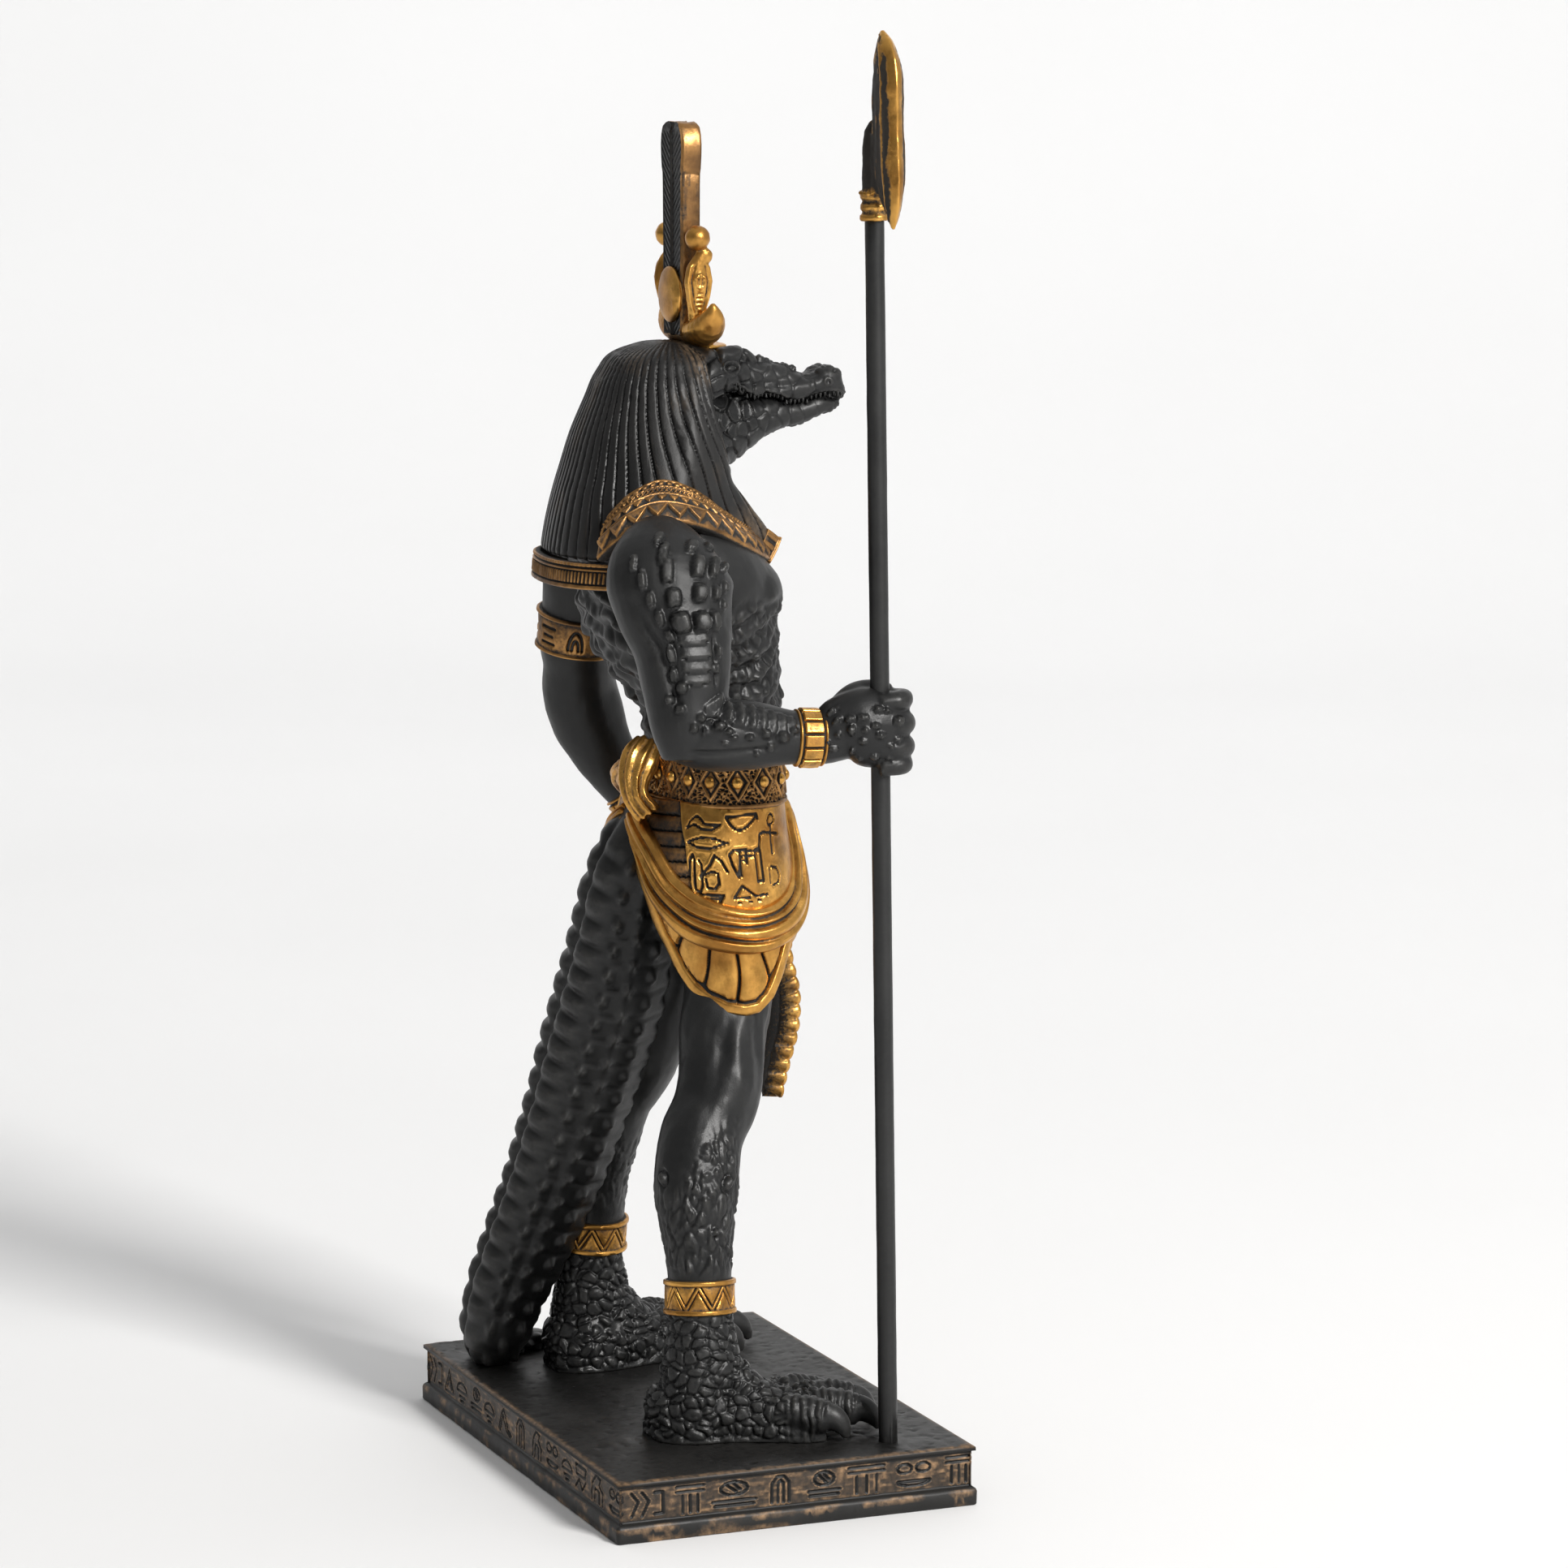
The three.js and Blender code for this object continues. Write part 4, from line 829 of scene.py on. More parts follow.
def right_arm():
    skin = melted([tube(RIGHT_ARM), tube(RIGHT_FOREARM), *right_fingers()], 0.29, 9)
    v = skin.v
    arm, fore = (limb_place(v, rows) for rows in (RIGHT_ARM, RIGHT_FOREARM))
    on_fore = (fore[2] < 1.3) * ramp(fore[0], 0.2, 1.5)
    on_arm = (arm[2] < 1.35) * (1 - on_fore * (v[:, 2] < 166.5))
    h = on_arm * ramp(arm[0], 6, 9) * bosses(arm, SHOULDER_BOSSES)
    h += on_arm * overlapping(arm, BICEPS_PLATES)
    for edge in (-4.2, 4.2):
        h -= (on_arm * 0.5 * hill((arm[1] - 184) * np.radians(arm[3]) + edge, 0.9) * ramp(arm[0], 24, 26)
              * fall(arm[0], 33, 35))
    h -= (on_arm * 0.8 * hill(arm[1] - 232 + (arm[0] - 21) * 1.2, 12) * ramp(arm[0], 15, 21)
          * fall(arm[0], 35, 41))
    h += on_fore * bosses(fore, FOREARM_BOSSES, 2.2, 0.3)
    h += on_fore * overlapping(fore, FOREARM_PLATES)
    h += on_fore * bosses(fore, HAND_WARTS, 2.0, 0.25)
    h -= (on_fore * 0.45 * hill(fore[1] - 208 + fore[0] * 0.6, 9) * ramp(fore[0], 2, 6)
          * fall(fore[0], 18, 24))
    rear = hill(arm[1] - 130, 70, 0.4) * ramp(arm[0], 3, 8) * fall(arm[0], 24, 32) * on_arm
    h += (0.10 * noise(v, 3.5, 61) * (1 - on_fore) + 0.03 * noise(v, 1.4, 62)
          + 0.34 * rear * noise(v, 3.0, 63))
    skin.push(h)
    skin.relax(1, 0.25)
    proud_mark(skin, 3, 14, 24, 2.6)
    piece("right_arm", skin, [CHARCOAL])


def left_arm():
    skin = melted([tube(LEFT_ARM), *left_fingers()], 0.38, 8)
    v = skin.v
    left = limb_place(v, LEFT_ARM)
    mirror = [[a, (180 - b) % 360, c, d, e] for a, b, c, d, e in SHOULDER_BOSSES]
    h = ramp(left[0], 5, 8) * fall(left[0], 22, 24) * bosses(left, mirror)
    h -= (0.9 * hill(left[1] - 312 - (left[0] - 20) * 0.6, 14) * ramp(left[0], 10, 16)
          * fall(left[0], 44, 50))
    h += 0.12 * noise(v, 3.5, 61) + 0.05 * noise(v, 1.4, 62)
    skin.push(h)
    skin.relax(1, 0.3)
    proud_mark(skin)
    piece("left_arm", skin, [CHARCOAL])


FOOT = [
    [30.4, 20.6, 4.6, 6], [30.8, 18, 7, 10.4], [31.6, 9, 8.8, 17], [33.4, 2, 9.2, 16.4],
    [34.8, -2, 9.8, 12], [36.6, -8, 10.6, 9.2], [37.4, -12, 9.8, 7.2],
]
TOES = [
    [[41, -2], [45.6, -9.6], [49, -15.4]], [[39, -8], [42, -17], [44.6, -24.4]],
    [[34.5, -9], [34.8, -19], [34.6, -27]], [[30, -6], [27.6, -14.6], [25.6, -21.6]],
]
SOLE = 12.6

# Stations from the root, -1, by the knuckle, 0, to the tip, 1: share, height on the sole, width, depth.
TOE = [(-1, 4.6, 3.4, 4.2), (-0.4, 5.6, 3.2, 4), (0, 5.2, 3.1, 4), (0.35, 4.6, 2.7, 3.5),
       (0.55, 3.6, 1.8, 2.4)]
CLAW = [(0.2, 5, 2.4, 3), (0.5, 5.2, 2.3, 2.8), (0.76, 4.2, 1.9, 2.4), (0.95, 2.4, 1.2, 1.6),
        (1.03, 0.8, 0.6, 0.7)]


def foot(side, name):
    """One foot with four toes and claws."""
    rows = flow([[x, y, 0, w, t] for x, y, w, t in FOOT], 0.8)
    a = np.linspace(0, math.pi, 25)
    top = np.stack([rows[:, 0:1] + rows[:, 3:4] * np.cos(a), np.repeat(rows[:, 1:2], 25, 1),
                    SOLE + rows[:, 4:5] * np.sin(a) ** 0.7 - 0.3], -1)
    top[..., 0] *= side
    parts = [capped(top), tube(mirrored(side, ANKLE)), ball([side * 31, 17.2, 18.6], [6, 4.4, 5.6])]
    for toe in TOES:
        root, knuckle, tip = np.array(toe, float)
        for stations, sides, step in ((TOE, 24, 0.5), (CLAW, 20, 0.4)):
            rows = []
            for share, up, wide, deep in stations:
                x, y = (knuckle + (tip - knuckle) * share if share > 0
                        else knuckle + (root - knuckle) * -share)
                rows.append([side * x, y, SOLE + up, wide, deep])
            parts.append(tube(rows, sides, step=step))
    skin = melted(parts, 0.31, 3)
    v = skin.v
    z = v[:, 2] - SOLE
    claws = np.zeros(len(v))
    ribs = np.zeros(len(v))
    on_toe = np.zeros(len(v))
    for toe in TOES:
        knuckle, tip = (np.array([side * px, py]) for px, py in toe[1:])
        way = unit(tip - knuckle)
        along = (v[:, :2] - knuckle) @ way
        off = np.abs((v[:, :2] - knuckle) @ np.array([way[1], -way[0]]))
        length = np.linalg.norm(tip - knuckle)
        claws = np.maximum(claws, ramp(along / length - 0.06 * (z - 5), 0.30, 0.36) * (off < 3.6))
        here = (off < 3.8) * ramp(along, -7, -4) * (along < length)
        on_toe = np.maximum(on_toe, here)
        ph = (along + 0.5 * noise(v, 2.4, 95)) / 1.7
        rib = ramp(np.abs((ph % 1) * 2 - 1), 0.1, 0.75) * (0.55 + 0.45 * noise(v, 2.0, 96))
        ribs = np.where(here > 0, rib, ribs)
    free = ramp(z, 0.2, 1.4) * (1 - claws)
    grown = bent(v, 0.8, 3.0, 81)
    f, g, tag = scales(grown, (2.7, 2.7, 2.3), 85 + side, 0.95)
    big = ramp(g - f, 0.04, 0.24) * (0.35 + 0.65 * tag)
    seam = hill(g - f, 0.16)
    f, g, tag = scales(grown, (1.5, 1.5, 1.3), 93 + side, 0.9)
    small = ramp(g - f, 0.05, 0.35) * (0.4 + 0.6 * tag)
    front = ramp(-v[:, 1] - 0.35 * z, -2, 6)
    h = free * (1 - on_toe) * (0.62 * big - 0.28 * seam - 0.25 + (0.12 + 0.3 * front) * small)
    h += free * on_toe * (0.6 * ribs - 0.25 + 0.15 * small)
    h += free * 0.4 * noise(v, 4.5, 87) * (1 - on_toe)
    h += 0.03 * noise(v, 1.1, 88) - 0.16 * hill(claws - 0.4, 0.3)
    h *= 1 - ramp(z, 25, 27)
    skin.push(h)
    skin.v[:, 2] = np.maximum(skin.v[:, 2], SOLE)
    proud_mark(skin, 2, 9)
    piece(name, skin, [CHARCOAL])


def legs():
    for side, way in ((RIGHT, "right"), (LEFT, "left")):
        leg(side, "leg_" + way)
        foot(side, "foot_" + way)


# Thin walls with carved faces, and what repeats.


def edges_of(nu, nv, wrap):
    """Distance of each grid point from the grid's borders, in grid steps."""
    u = np.arange(nu)
    v = np.arange(nv)
    du = np.full(nu, 1e6) if wrap else np.minimum(u, nu - 1 - u)
    return np.minimum(du[:, None], np.minimum(v, nv - 1 - v)[None])


def grid_normals(g, wrap, core):
    """Normals of a grid, and whether they point away from its core."""
    if wrap:
        du = np.roll(g, -1, 0) - np.roll(g, 1, 0)
    else:
        du = np.gradient(g, axis=0)
    n = unit(np.cross(du, np.gradient(g, axis=1)))
    out = g - np.array(core)
    sign = 1 if np.einsum("ijk,ijk->", n, out) > 0 else -1
    return n * sign, sign


def border(nu, nv, wrap, wide):
    """One on the rim of a grid, fading inward over some steps."""
    return 1 - ramp(edges_of(nu, nv, wrap), 0, wide)


def grid_noise(g, size, seed):
    """Random heights for a grid of points."""
    return noise(g.reshape(-1, 3), size, seed).reshape(g.shape[:2])


def blurred(h, ru, rv, wrap):
    """Running mean of a height grid."""
    for axis, r, w in ((0, ru, wrap), (1, rv, False)):
        r = max(1, int(r))
        pad = [(0, 0), (0, 0)]
        pad[axis] = (r, r)
        x = np.pad(h, pad, mode="wrap" if w else "edge")
        c = np.cumsum(x, axis)
        c = np.insert(c, 0, 0, axis)
        k = 2 * r + 1
        n = h.shape[axis]
        h = (np.take(c, np.arange(k, k + n), axis) - np.take(c, np.arange(0, n), axis)) / k
    return h


def slab(grid, height, thick, core, wrap=False, reach=(6, 6), gain=2.2, base=0.58):
    """A wall with a carved outer face: grid points, heights, thickness, and what it curves round."""
    nu, nv, _ = grid.shape
    n, sign = grid_normals(grid, wrap, core)
    outer = grid + n * height[..., None]
    keep = np.unique(np.linspace(0, nv - 1, 5).round().astype(int))
    inner = (grid - n * thick)[:, keep]
    m, rows = nu * nv, len(keep)

    def faces(idx):
        nxt = np.roll(idx, -1, 0) if wrap else idx[1:]
        cur = idx if wrap else idx[:-1]
        return np.stack([cur[:, :-1], nxt[:, :-1], nxt[:, 1:], cur[:, 1:]], -1).reshape(-1, 4)

    front = np.arange(m).reshape(nu, nv)
    back = m + np.arange(nu * rows).reshape(nu, rows)

    def rim(side, way):
        a, b = front[:, side], back[:, side]
        ends = [np.roll(a, -1), a, b, np.roll(b, -1)] if wrap else [a[1:], a[:-1], b[:-1], b[1:]]
        return np.stack(ends, 1) if way > 0 else np.stack([ends[1], ends[0], ends[3], ends[2]], 1)

    walls = [rim(0, 1), rim(-1, -1)]
    tris = []
    if not wrap:
        for row, turn in ((0, 1), (-1, -1)):
            for j in range(rows - 1):
                a, b = front[row], back[row]
                half = (keep[j] + keep[j + 1]) // 2
                for k in range(keep[j], half):
                    tris.append([a[k], a[k + 1], b[j]][::turn])
                tris.append([a[half], b[j + 1], b[j]][::turn])
                for k in range(half, keep[j + 1]):
                    tris.append([a[k], a[k + 1], b[j + 1]][::turn])
    q = np.concatenate([faces(front), faces(back)[:, ::-1], *walls])
    t = np.array(tris, int).reshape(-1, 3)
    if sign < 0:
        q, t = q[:, ::-1], t[:, ::-1]
    skin = Skin(np.concatenate([outer.reshape(-1, 3), inner.reshape(-1, 3)]), q, t)
    local = height - blurred(height, *reach, wrap)
    proud = base + gain * local
    skin.mark("proud", np.concatenate([proud.ravel(), np.full(nu * rows, 0.25)]))
    return skin


def segments_near(x, y, lines, half):
    """How strongly each point lies on one of these strokes, from 0 to 1."""
    on = np.zeros(np.broadcast(x, y).shape)
    for line in lines:
        for (ax, ay), (bx, by) in zip(line[:-1], line[1:]):
            lx, ly = min(ax, bx) - half, min(ay, by) - half
            hx, hy = max(ax, bx) + half, max(ay, by) + half
            near = (x > lx) & (x < hx) & (y > ly) & (y < hy)
            if not near.any():
                continue
            px, py = x[near] - ax, y[near] - ay
            dx, dy = bx - ax, by - ay
            k = np.clip((px * dx + py * dy) / max(dx * dx + dy * dy, 1e-9), 0, 1)
            d = np.hypot(px - k * dx, py - k * dy)
            on[near] = np.maximum(on[near], 1 - ramp(d, half * 0.45, half))
    return on


def loop(x, y, rx, ry, start=0, end=360, n=14):
    """Part of an ellipse as a stroke."""
    return [(x + rx * math.cos(t), y + ry * math.sin(t)) for t in np.radians(np.linspace(start, end, n))]


def in_box(cx, cy, w, h, strokes):
    """Strokes drawn between -1 and 1, set in a box about a middle."""
    return [[(cx + a * w / 2, cy + b * h / 2) for a, b in stroke] for stroke in strokes]


def repeated(name, places, turns, sizes, shape, mat, spread):
    """The same small shape set at each place by a node tree, made a plain mesh."""
    places = np.array(places, float) + [0, 0, LIFT]
    mesh = bpy.data.meshes.new(name)
    mesh.from_pydata([tuple(p) for p in places * MM], [], [])
    for key, values in (("turn", turns), ("size", sizes)):
        a = mesh.attributes.new(key, "FLOAT_VECTOR", "POINT")
        a.data.foreach_set("vector", np.array(values, np.float32).ravel())
    obj = shown(name, mesh)
    tree = bpy.data.node_groups.new(name + "_rule", "GeometryNodeTree")
    side = tree.interface.new_socket
    side(name="Places", in_out="INPUT", socket_type="NodeSocketGeometry")
    shape_in = side(name="Shape", in_out="INPUT", socket_type="NodeSocketObject")
    size_in = side(name="Size", in_out="INPUT", socket_type="NodeSocketFloat")
    spread_in = side(name="Size Spread", in_out="INPUT", socket_type="NodeSocketFloat")
    finish_in = side(name="Finish", in_out="INPUT", socket_type="NodeSocketMaterial")
    side(name="Pieces", in_out="OUTPUT", socket_type="NodeSocketGeometry")
    new = tree.nodes.new
    start, end = new("NodeGroupInput"), new("NodeGroupOutput")
    info, put, real, coat = (new("GeometryNode" + k)
                             for k in ("ObjectInfo", "InstanceOnPoints", "RealizeInstances", "SetMaterial"))
    turn, size = new("GeometryNodeInputNamedAttribute"), new("GeometryNodeInputNamedAttribute")
    chance = new("FunctionNodeRandomValue")
    euler = new("FunctionNodeEulerToRotation")
    for n, key in ((turn, "turn"), (size, "size")):
        n.data_type = "FLOAT_VECTOR"
        n.inputs["Name"].default_value = key
    chance.inputs["Seed"].default_value = 5
    low, high, both = (new("ShaderNodeMath") for _ in range(3))
    low.operation, high.operation, both.operation = "SUBTRACT", "ADD", "MULTIPLY"
    low.inputs[0].default_value = 1
    high.inputs[0].default_value = 1
    grow = new("ShaderNodeVectorMath")
    grow.operation = "SCALE"
    for source, place in (
        (start.outputs["Size Spread"], low.inputs[1]),
        (start.outputs["Size Spread"], high.inputs[1]),
        (low.outputs[0], chance.inputs[2]),
        (high.outputs[0], chance.inputs[3]),
        (chance.outputs[1], both.inputs[0]),
        (start.outputs["Size"], both.inputs[1]),
        (size.outputs["Attribute"], grow.inputs[0]),
        (both.outputs[0], grow.inputs["Scale"]),
        (start.outputs["Shape"], info.inputs["Object"]),
        (start.outputs["Places"], put.inputs["Points"]),
        (info.outputs["Geometry"], put.inputs["Instance"]),
        (turn.outputs["Attribute"], euler.inputs[0]),
        (euler.outputs[0], put.inputs["Rotation"]),
        (grow.outputs[0], put.inputs["Scale"]),
        (put.outputs["Instances"], real.inputs["Geometry"]),
        (real.outputs["Geometry"], coat.inputs["Geometry"]),
        (start.outputs["Finish"], coat.inputs["Material"]),
        (coat.outputs["Geometry"], end.inputs["Pieces"]),
    ):
        tree.links.new(source, place)
    mod = obj.modifiers.new("rule", "NODES")
    mod.node_group = tree
    mod[shape_in.identifier] = shape
    mod[size_in.identifier] = 1.0
    mod[spread_in.identifier] = spread
    mod[finish_in.identifier] = mat
    obj.update_tag()
    done = as_changed(obj)
    obj.modifiers.clear()
    obj.data = done
    done.name = name
    if not done.materials:
        done.materials.append(mat)
    done.polygons.foreach_set("use_smooth", np.ones(len(done.polygons), bool))
    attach(obj, "root")
    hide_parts("figure")
    return obj


def pattern_piece(name, skin):
    """A small shape kept out of the picture, for a node tree to repeat."""
    mesh = plain_mesh(name, skin.v, skin.q, skin.t, 0)
    keep_marks(mesh, skin.marks)
    return bpy.data.objects.new(name, mesh)


def turns_to(normals, ups):
    """Euler turns that take +Z to each normal and +Y near each up direction."""
    out = []
    for n, u in zip(np.array(normals, float), np.array(ups, float)):
        z = Vector(n).normalized()
        x = Vector(u).cross(z)
        x = x.normalized() if x.length > 1e-6 else z.orthogonal().normalized()
        y = z.cross(x)
        out.append(tuple(Matrix((x, y, z)).transposed().to_euler()))
    return out


# Tail.

TAIL = [
    [0, 5, 138, 8, 7], [2, 9.5, 129, 8.6, 8.8], [5, 11.3, 120, 9, 9.6], [8, 11.7, 111, 9.6, 10.2],
    [11, 12.4, 102, 10, 10.8], [14.5, 13.6, 92.6, 10, 11], [18, 15, 83.3, 9.8, 11],
    [21, 16.7, 74, 9.4, 10.6], [24, 18.6, 64.8, 9, 10.2], [27, 20.8, 55.5, 8.6, 9.8],
    [30, 23.5, 46.2, 8.2, 9.4], [33, 26.6, 36.5, 7.8, 8.8], [35.6, 29.2, 28, 7.4, 8],
    [38, 30.4, 20, 6.8, 7], [42, 29.6, 16, 5.6, 5], [46.6, 25.6, 14.8, 4.2, 3.4],
    [49.8, 17, 14.2, 2.8, 2.2], [50.2, 7.6, 13.4, 0.6, 0.5],
]
SCUTE_PITCH = 5.9
TAIL_LOBES = [(64, 30, 1.35), (116, 30, 1.35), (244, 22, 0.8), (-64, 22, 0.8)]
TAIL_KNOBS = [(150, 0.5), (176, 0.0), (203, 0.5), (30, 0.5), (4, 0.0), (-23, 0.5)]


def tail():
    rows = flow(TAIL, 0.5)
    sides = 150
    middle = rows[:, :3]
    along = unit(np.gradient(middle, axis=0))
    side = unit(np.array([1.0, 0, 0]) - along * along[:, :1])
    back = np.cross(side, along)
    a = angles(sides)
    c, s = curve_round(a, 2.3)
    s_at = (np.arange(len(rows)) * 0.5)[:, None]
    degrees = np.degrees(a)[None]
    share = s_at / s_at[-1]
    fade = ramp(s_at, 3, 12) * (1 - 0.75 * ramp(share, 0.93, 1.0))
    girth = rows[:, 3:4] / 10
    h = np.zeros((len(rows), sides))
    for at, wide, proud in TAIL_LOBES:
        off = nearest_turn(degrees - at)
        wave = (0.5 - 0.5 * np.cos(2 * math.pi * s_at / SCUTE_PITCH)) ** 0.65
        h += proud * girth * fade * hill(off, wide, 0.2) * wave
    for at, shift in TAIL_KNOBS:
        off = nearest_turn(degrees - at) * np.radians(9 * girth)
        ph = ((s_at / SCUTE_PITCH + shift) % 1 - 0.5) * SCUTE_PITCH
        knob = np.hypot(off / 1.25, (ph + 0.4) / 1.9)
        h += 1.35 * fade * np.clip(1 - knob, 0, 1) ** 1.25 + 0.25 * fade * hill(off, 2.0)
    ring = (s_at / SCUTE_PITCH + 0.5) % 1 - 0.5
    h -= 0.26 * fade * hill(ring - 0.5, 0.16) + 0.26 * fade * hill(ring + 0.5, 0.16)
    h -= 0.7 * fade * hill(nearest_turn(degrees - 90), 10)
    p = (middle[:, None] + side[:, None] * (c * rows[:, 3:4])[..., None]
         + back[:, None] * (s * rows[:, 4:5])[..., None])
    n = unit(side[:, None] * (c / rows[:, 3:4])[..., None] + back[:, None] * (s / rows[:, 4:5])[..., None])
    flat = p.reshape(-1, 3)
    h += (0.16 * noise(flat, 4.1, 4) + 0.05 * noise(flat, 1.4, 5)).reshape(h.shape) * fade
    skin = Skin(*capped(p + n * h[..., None]))
    skin.relax(1)
    skin.v[:, 2] = np.maximum(skin.v[:, 2], SOLE)
    proud_mark(skin, 2, 7)
    # Painted shade: the whole tail's mark is lowered, so its finish reads darker on the shaded side.
    skin.brighten(-0.09)
    piece("tail", skin, [CHARCOAL])


# Head.

UPPER_JAW = [
    [6, 234.2, 219, 11.4], [0, 234.2, 221, 11.6], [-5, 234, 224.2, 10.6], [-9, 233, 225.2, 8.8],
    [-12.6, 231.6, 224.1, 7.2], [-17, 231.4, 223.9, 6.1], [-21.5, 229.9, 222.5, 5.4],
    [-25.6, 228.3, 223.1, 4.8], [-28, 228.9, 223.8, 5], [-30.4, 229.5, 223.7, 5.1],
    [-32.5, 228.2, 223, 4.5], [-33.8, 226.6, 222.6, 3.3], [-34.5, 225.3, 223.2, 1.6],
]
LOWER_JAW = [
    [6, 227, 208, 11], [0, 226.4, 208.6, 11.2], [-5, 225.6, 208.8, 9.8], [-8.5, 226, 210, 8.3],
    [-12, 224.6, 212.6, 6.9], [-17, 224.2, 215.9, 5.7], [-20.5, 223.2, 217.1, 5], [-24, 223.3, 217.6, 4.5],
    [-28, 224, 219.2, 4.3], [-31, 223.4, 220.2, 3.5], [-33, 222.8, 220.9, 2.4],
]
MOUTH = [
    (4.2, 227.2), (7.4, 226.9), (10, 225), (12.5, 224), (14.9, 224.8), (18.2, 223.9), (21.4, 222.6),
    (24.2, 223), (27.2, 223.7), (29.7, 224.2), (32, 224), (34.6, 223.4), (37, 223),
]

CHEEK_SEEDS = [
    (-3.7, 223.7), (-7.1, 221), (-10.4, 221), (-4.4, 219.5), (-1.2, 220.9), (-2.2, 217.9), (-6.4, 217.9),
    (-9.2, 217.8), (-11.8, 218.6), (-12.8, 216.4), (-8.4, 215), (-5, 215.4), (-1.6, 214.9), (1.6, 218),
    (1.6, 212.6), (-2.2, 212), (-5.6, 212.2), (2, 208.4), (-1.8, 208.8), (-4.8, 209.4), (-14.6, 219.4),
    (-13.4, 221.4), (-16.4, 221.6), (-17.4, 218.6), (-19.8, 219.8), (-22.4, 219.8), (-25.6, 220.8),
    (-29.4, 221.6), (0.9, 225.2), (2.2, 228.2), (2, 222), (0.8, 231), (-2.8, 227.6), (-6.6, 227.4),
    (-10.2, 226.3), (-13, 226), (-12.6, 228.2), (-9.6, 228.6), (-5.8, 230.6), (-1.6, 230.4), (-14, 230.4),
    (-16.4, 226), (-16.4, 228.4), (-19.4, 226.6), (-18.8, 229.2), (-23.4, 225.8), (-22, 228.4),
    (-27.4, 226.6), (-31.8, 226.6), (-25.6, 229.6),
]

NETTED = (0, 1, 2, 3, 6)

JAW_KNOBS = [
    (-9, 212.4, 1.2), (-6.6, 210.9, 1.3), (-11.9, 215, 1.1), (-13.8, 215.7, 1.0), (-17.2, 217.4, 1.1),
    (-20.2, 218.4, 0.9), (-23.6, 218.9, 1.1), (-30.6, 221.2, 1.0), (-4.4, 208.8, 1.3), (-15.4, 217, 0.8),
]

CROWN_KNOBS = [
    (-14.7, 231.4, 2.8, 1.3), (-16.4, 230.9, 2.6, 1.1), (-18.8, 229.8, 2.8, 1.1), (-20.6, 229.7, 2.4, 1.0),
    (-22.4, 229.4, 2.6, 1.0), (-13.4, 231.8, 1.4, 1.0), (-17.4, 230.6, 1.2, 0.9), (-21, 229.4, 1.0, 0.9),
    (-11.6, 232.4, 3.4, 1.1),
]

CHEEK_KNOBS = [
    (2.1, 228.1, 10.4, 1.6), (0.9, 225, 10.8, 2.4), (1.4, 221.6, 10.4, 1.9), (0.6, 230.6, 9.4, 1.6),
    (1.2, 217.6, 10.6, 1.8), (0.4, 213, 10.4, 1.7), (-5.2, 211.4, 6.2, 1.3), (-8.8, 213, 5.2, 1.1),
    (-12.4, 215.6, 4.6, 1.0), (-3.4, 209, 7.6, 1.5),
]


# Stations of the brow over an eye, and of the fold from the eye to the nose.
BROW = [
    [6.4, 1.6, 231.4, 1.6, 1.6], [6.8, -2.4, 232.4, 2, 1.9], [6.4, -6.2, 232.9, 2.1, 1.8],
    [5.8, -9.2, 233.1, 1.9, 1.6], [5, -11.4, 232.1, 1.4, 1.3], [4.2, -13, 231.1, 1, 1],
]
FOLD = [
    [7.2, -1.6, 227.2, 2.6, 1.3], [7.2, -6, 227.4, 2.3, 1.2], [6.6, -10, 225.9, 1.8, 1.1],
    [5.6, -14, 225.8, 1.5, 1], [5, -18.4, 225.2, 1.4, 1.1], [4.3, -22.4, 225.2, 1.6, 1.7],
    [4.2, -26.4, 226, 1.4, 1.3],
]
EYE = [0, -5.8, 230.6]
EYE_BALL, EYE_SIZE = (7.3, -5.9, 230.6), [2.3, 2.6, 2.0]
NOSE, NOSE_SIZE = (2.1, -30.2, 227.6), [2.8, 3.4, 2.4]
TEETH_A_SIDE, TOOTH_PITCH, FIRST_TOOTH_Y = 27, 0.98, -7.2


def snout(rows):
    rows = flow([[y, 0, 0, t, b, w] for y, t, b, w in rows], 0.5)
    c, s = curve_round(angles(64), 2.5)
    mid, tall = (rows[:, 3:4] + rows[:, 4:5]) / 2, (rows[:, 3:4] - rows[:, 4:5]) / 2
    return capped(np.stack([c * rows[:, 5:6], np.repeat(rows[:, 0:1], 64, 1), mid + s * tall], -1))


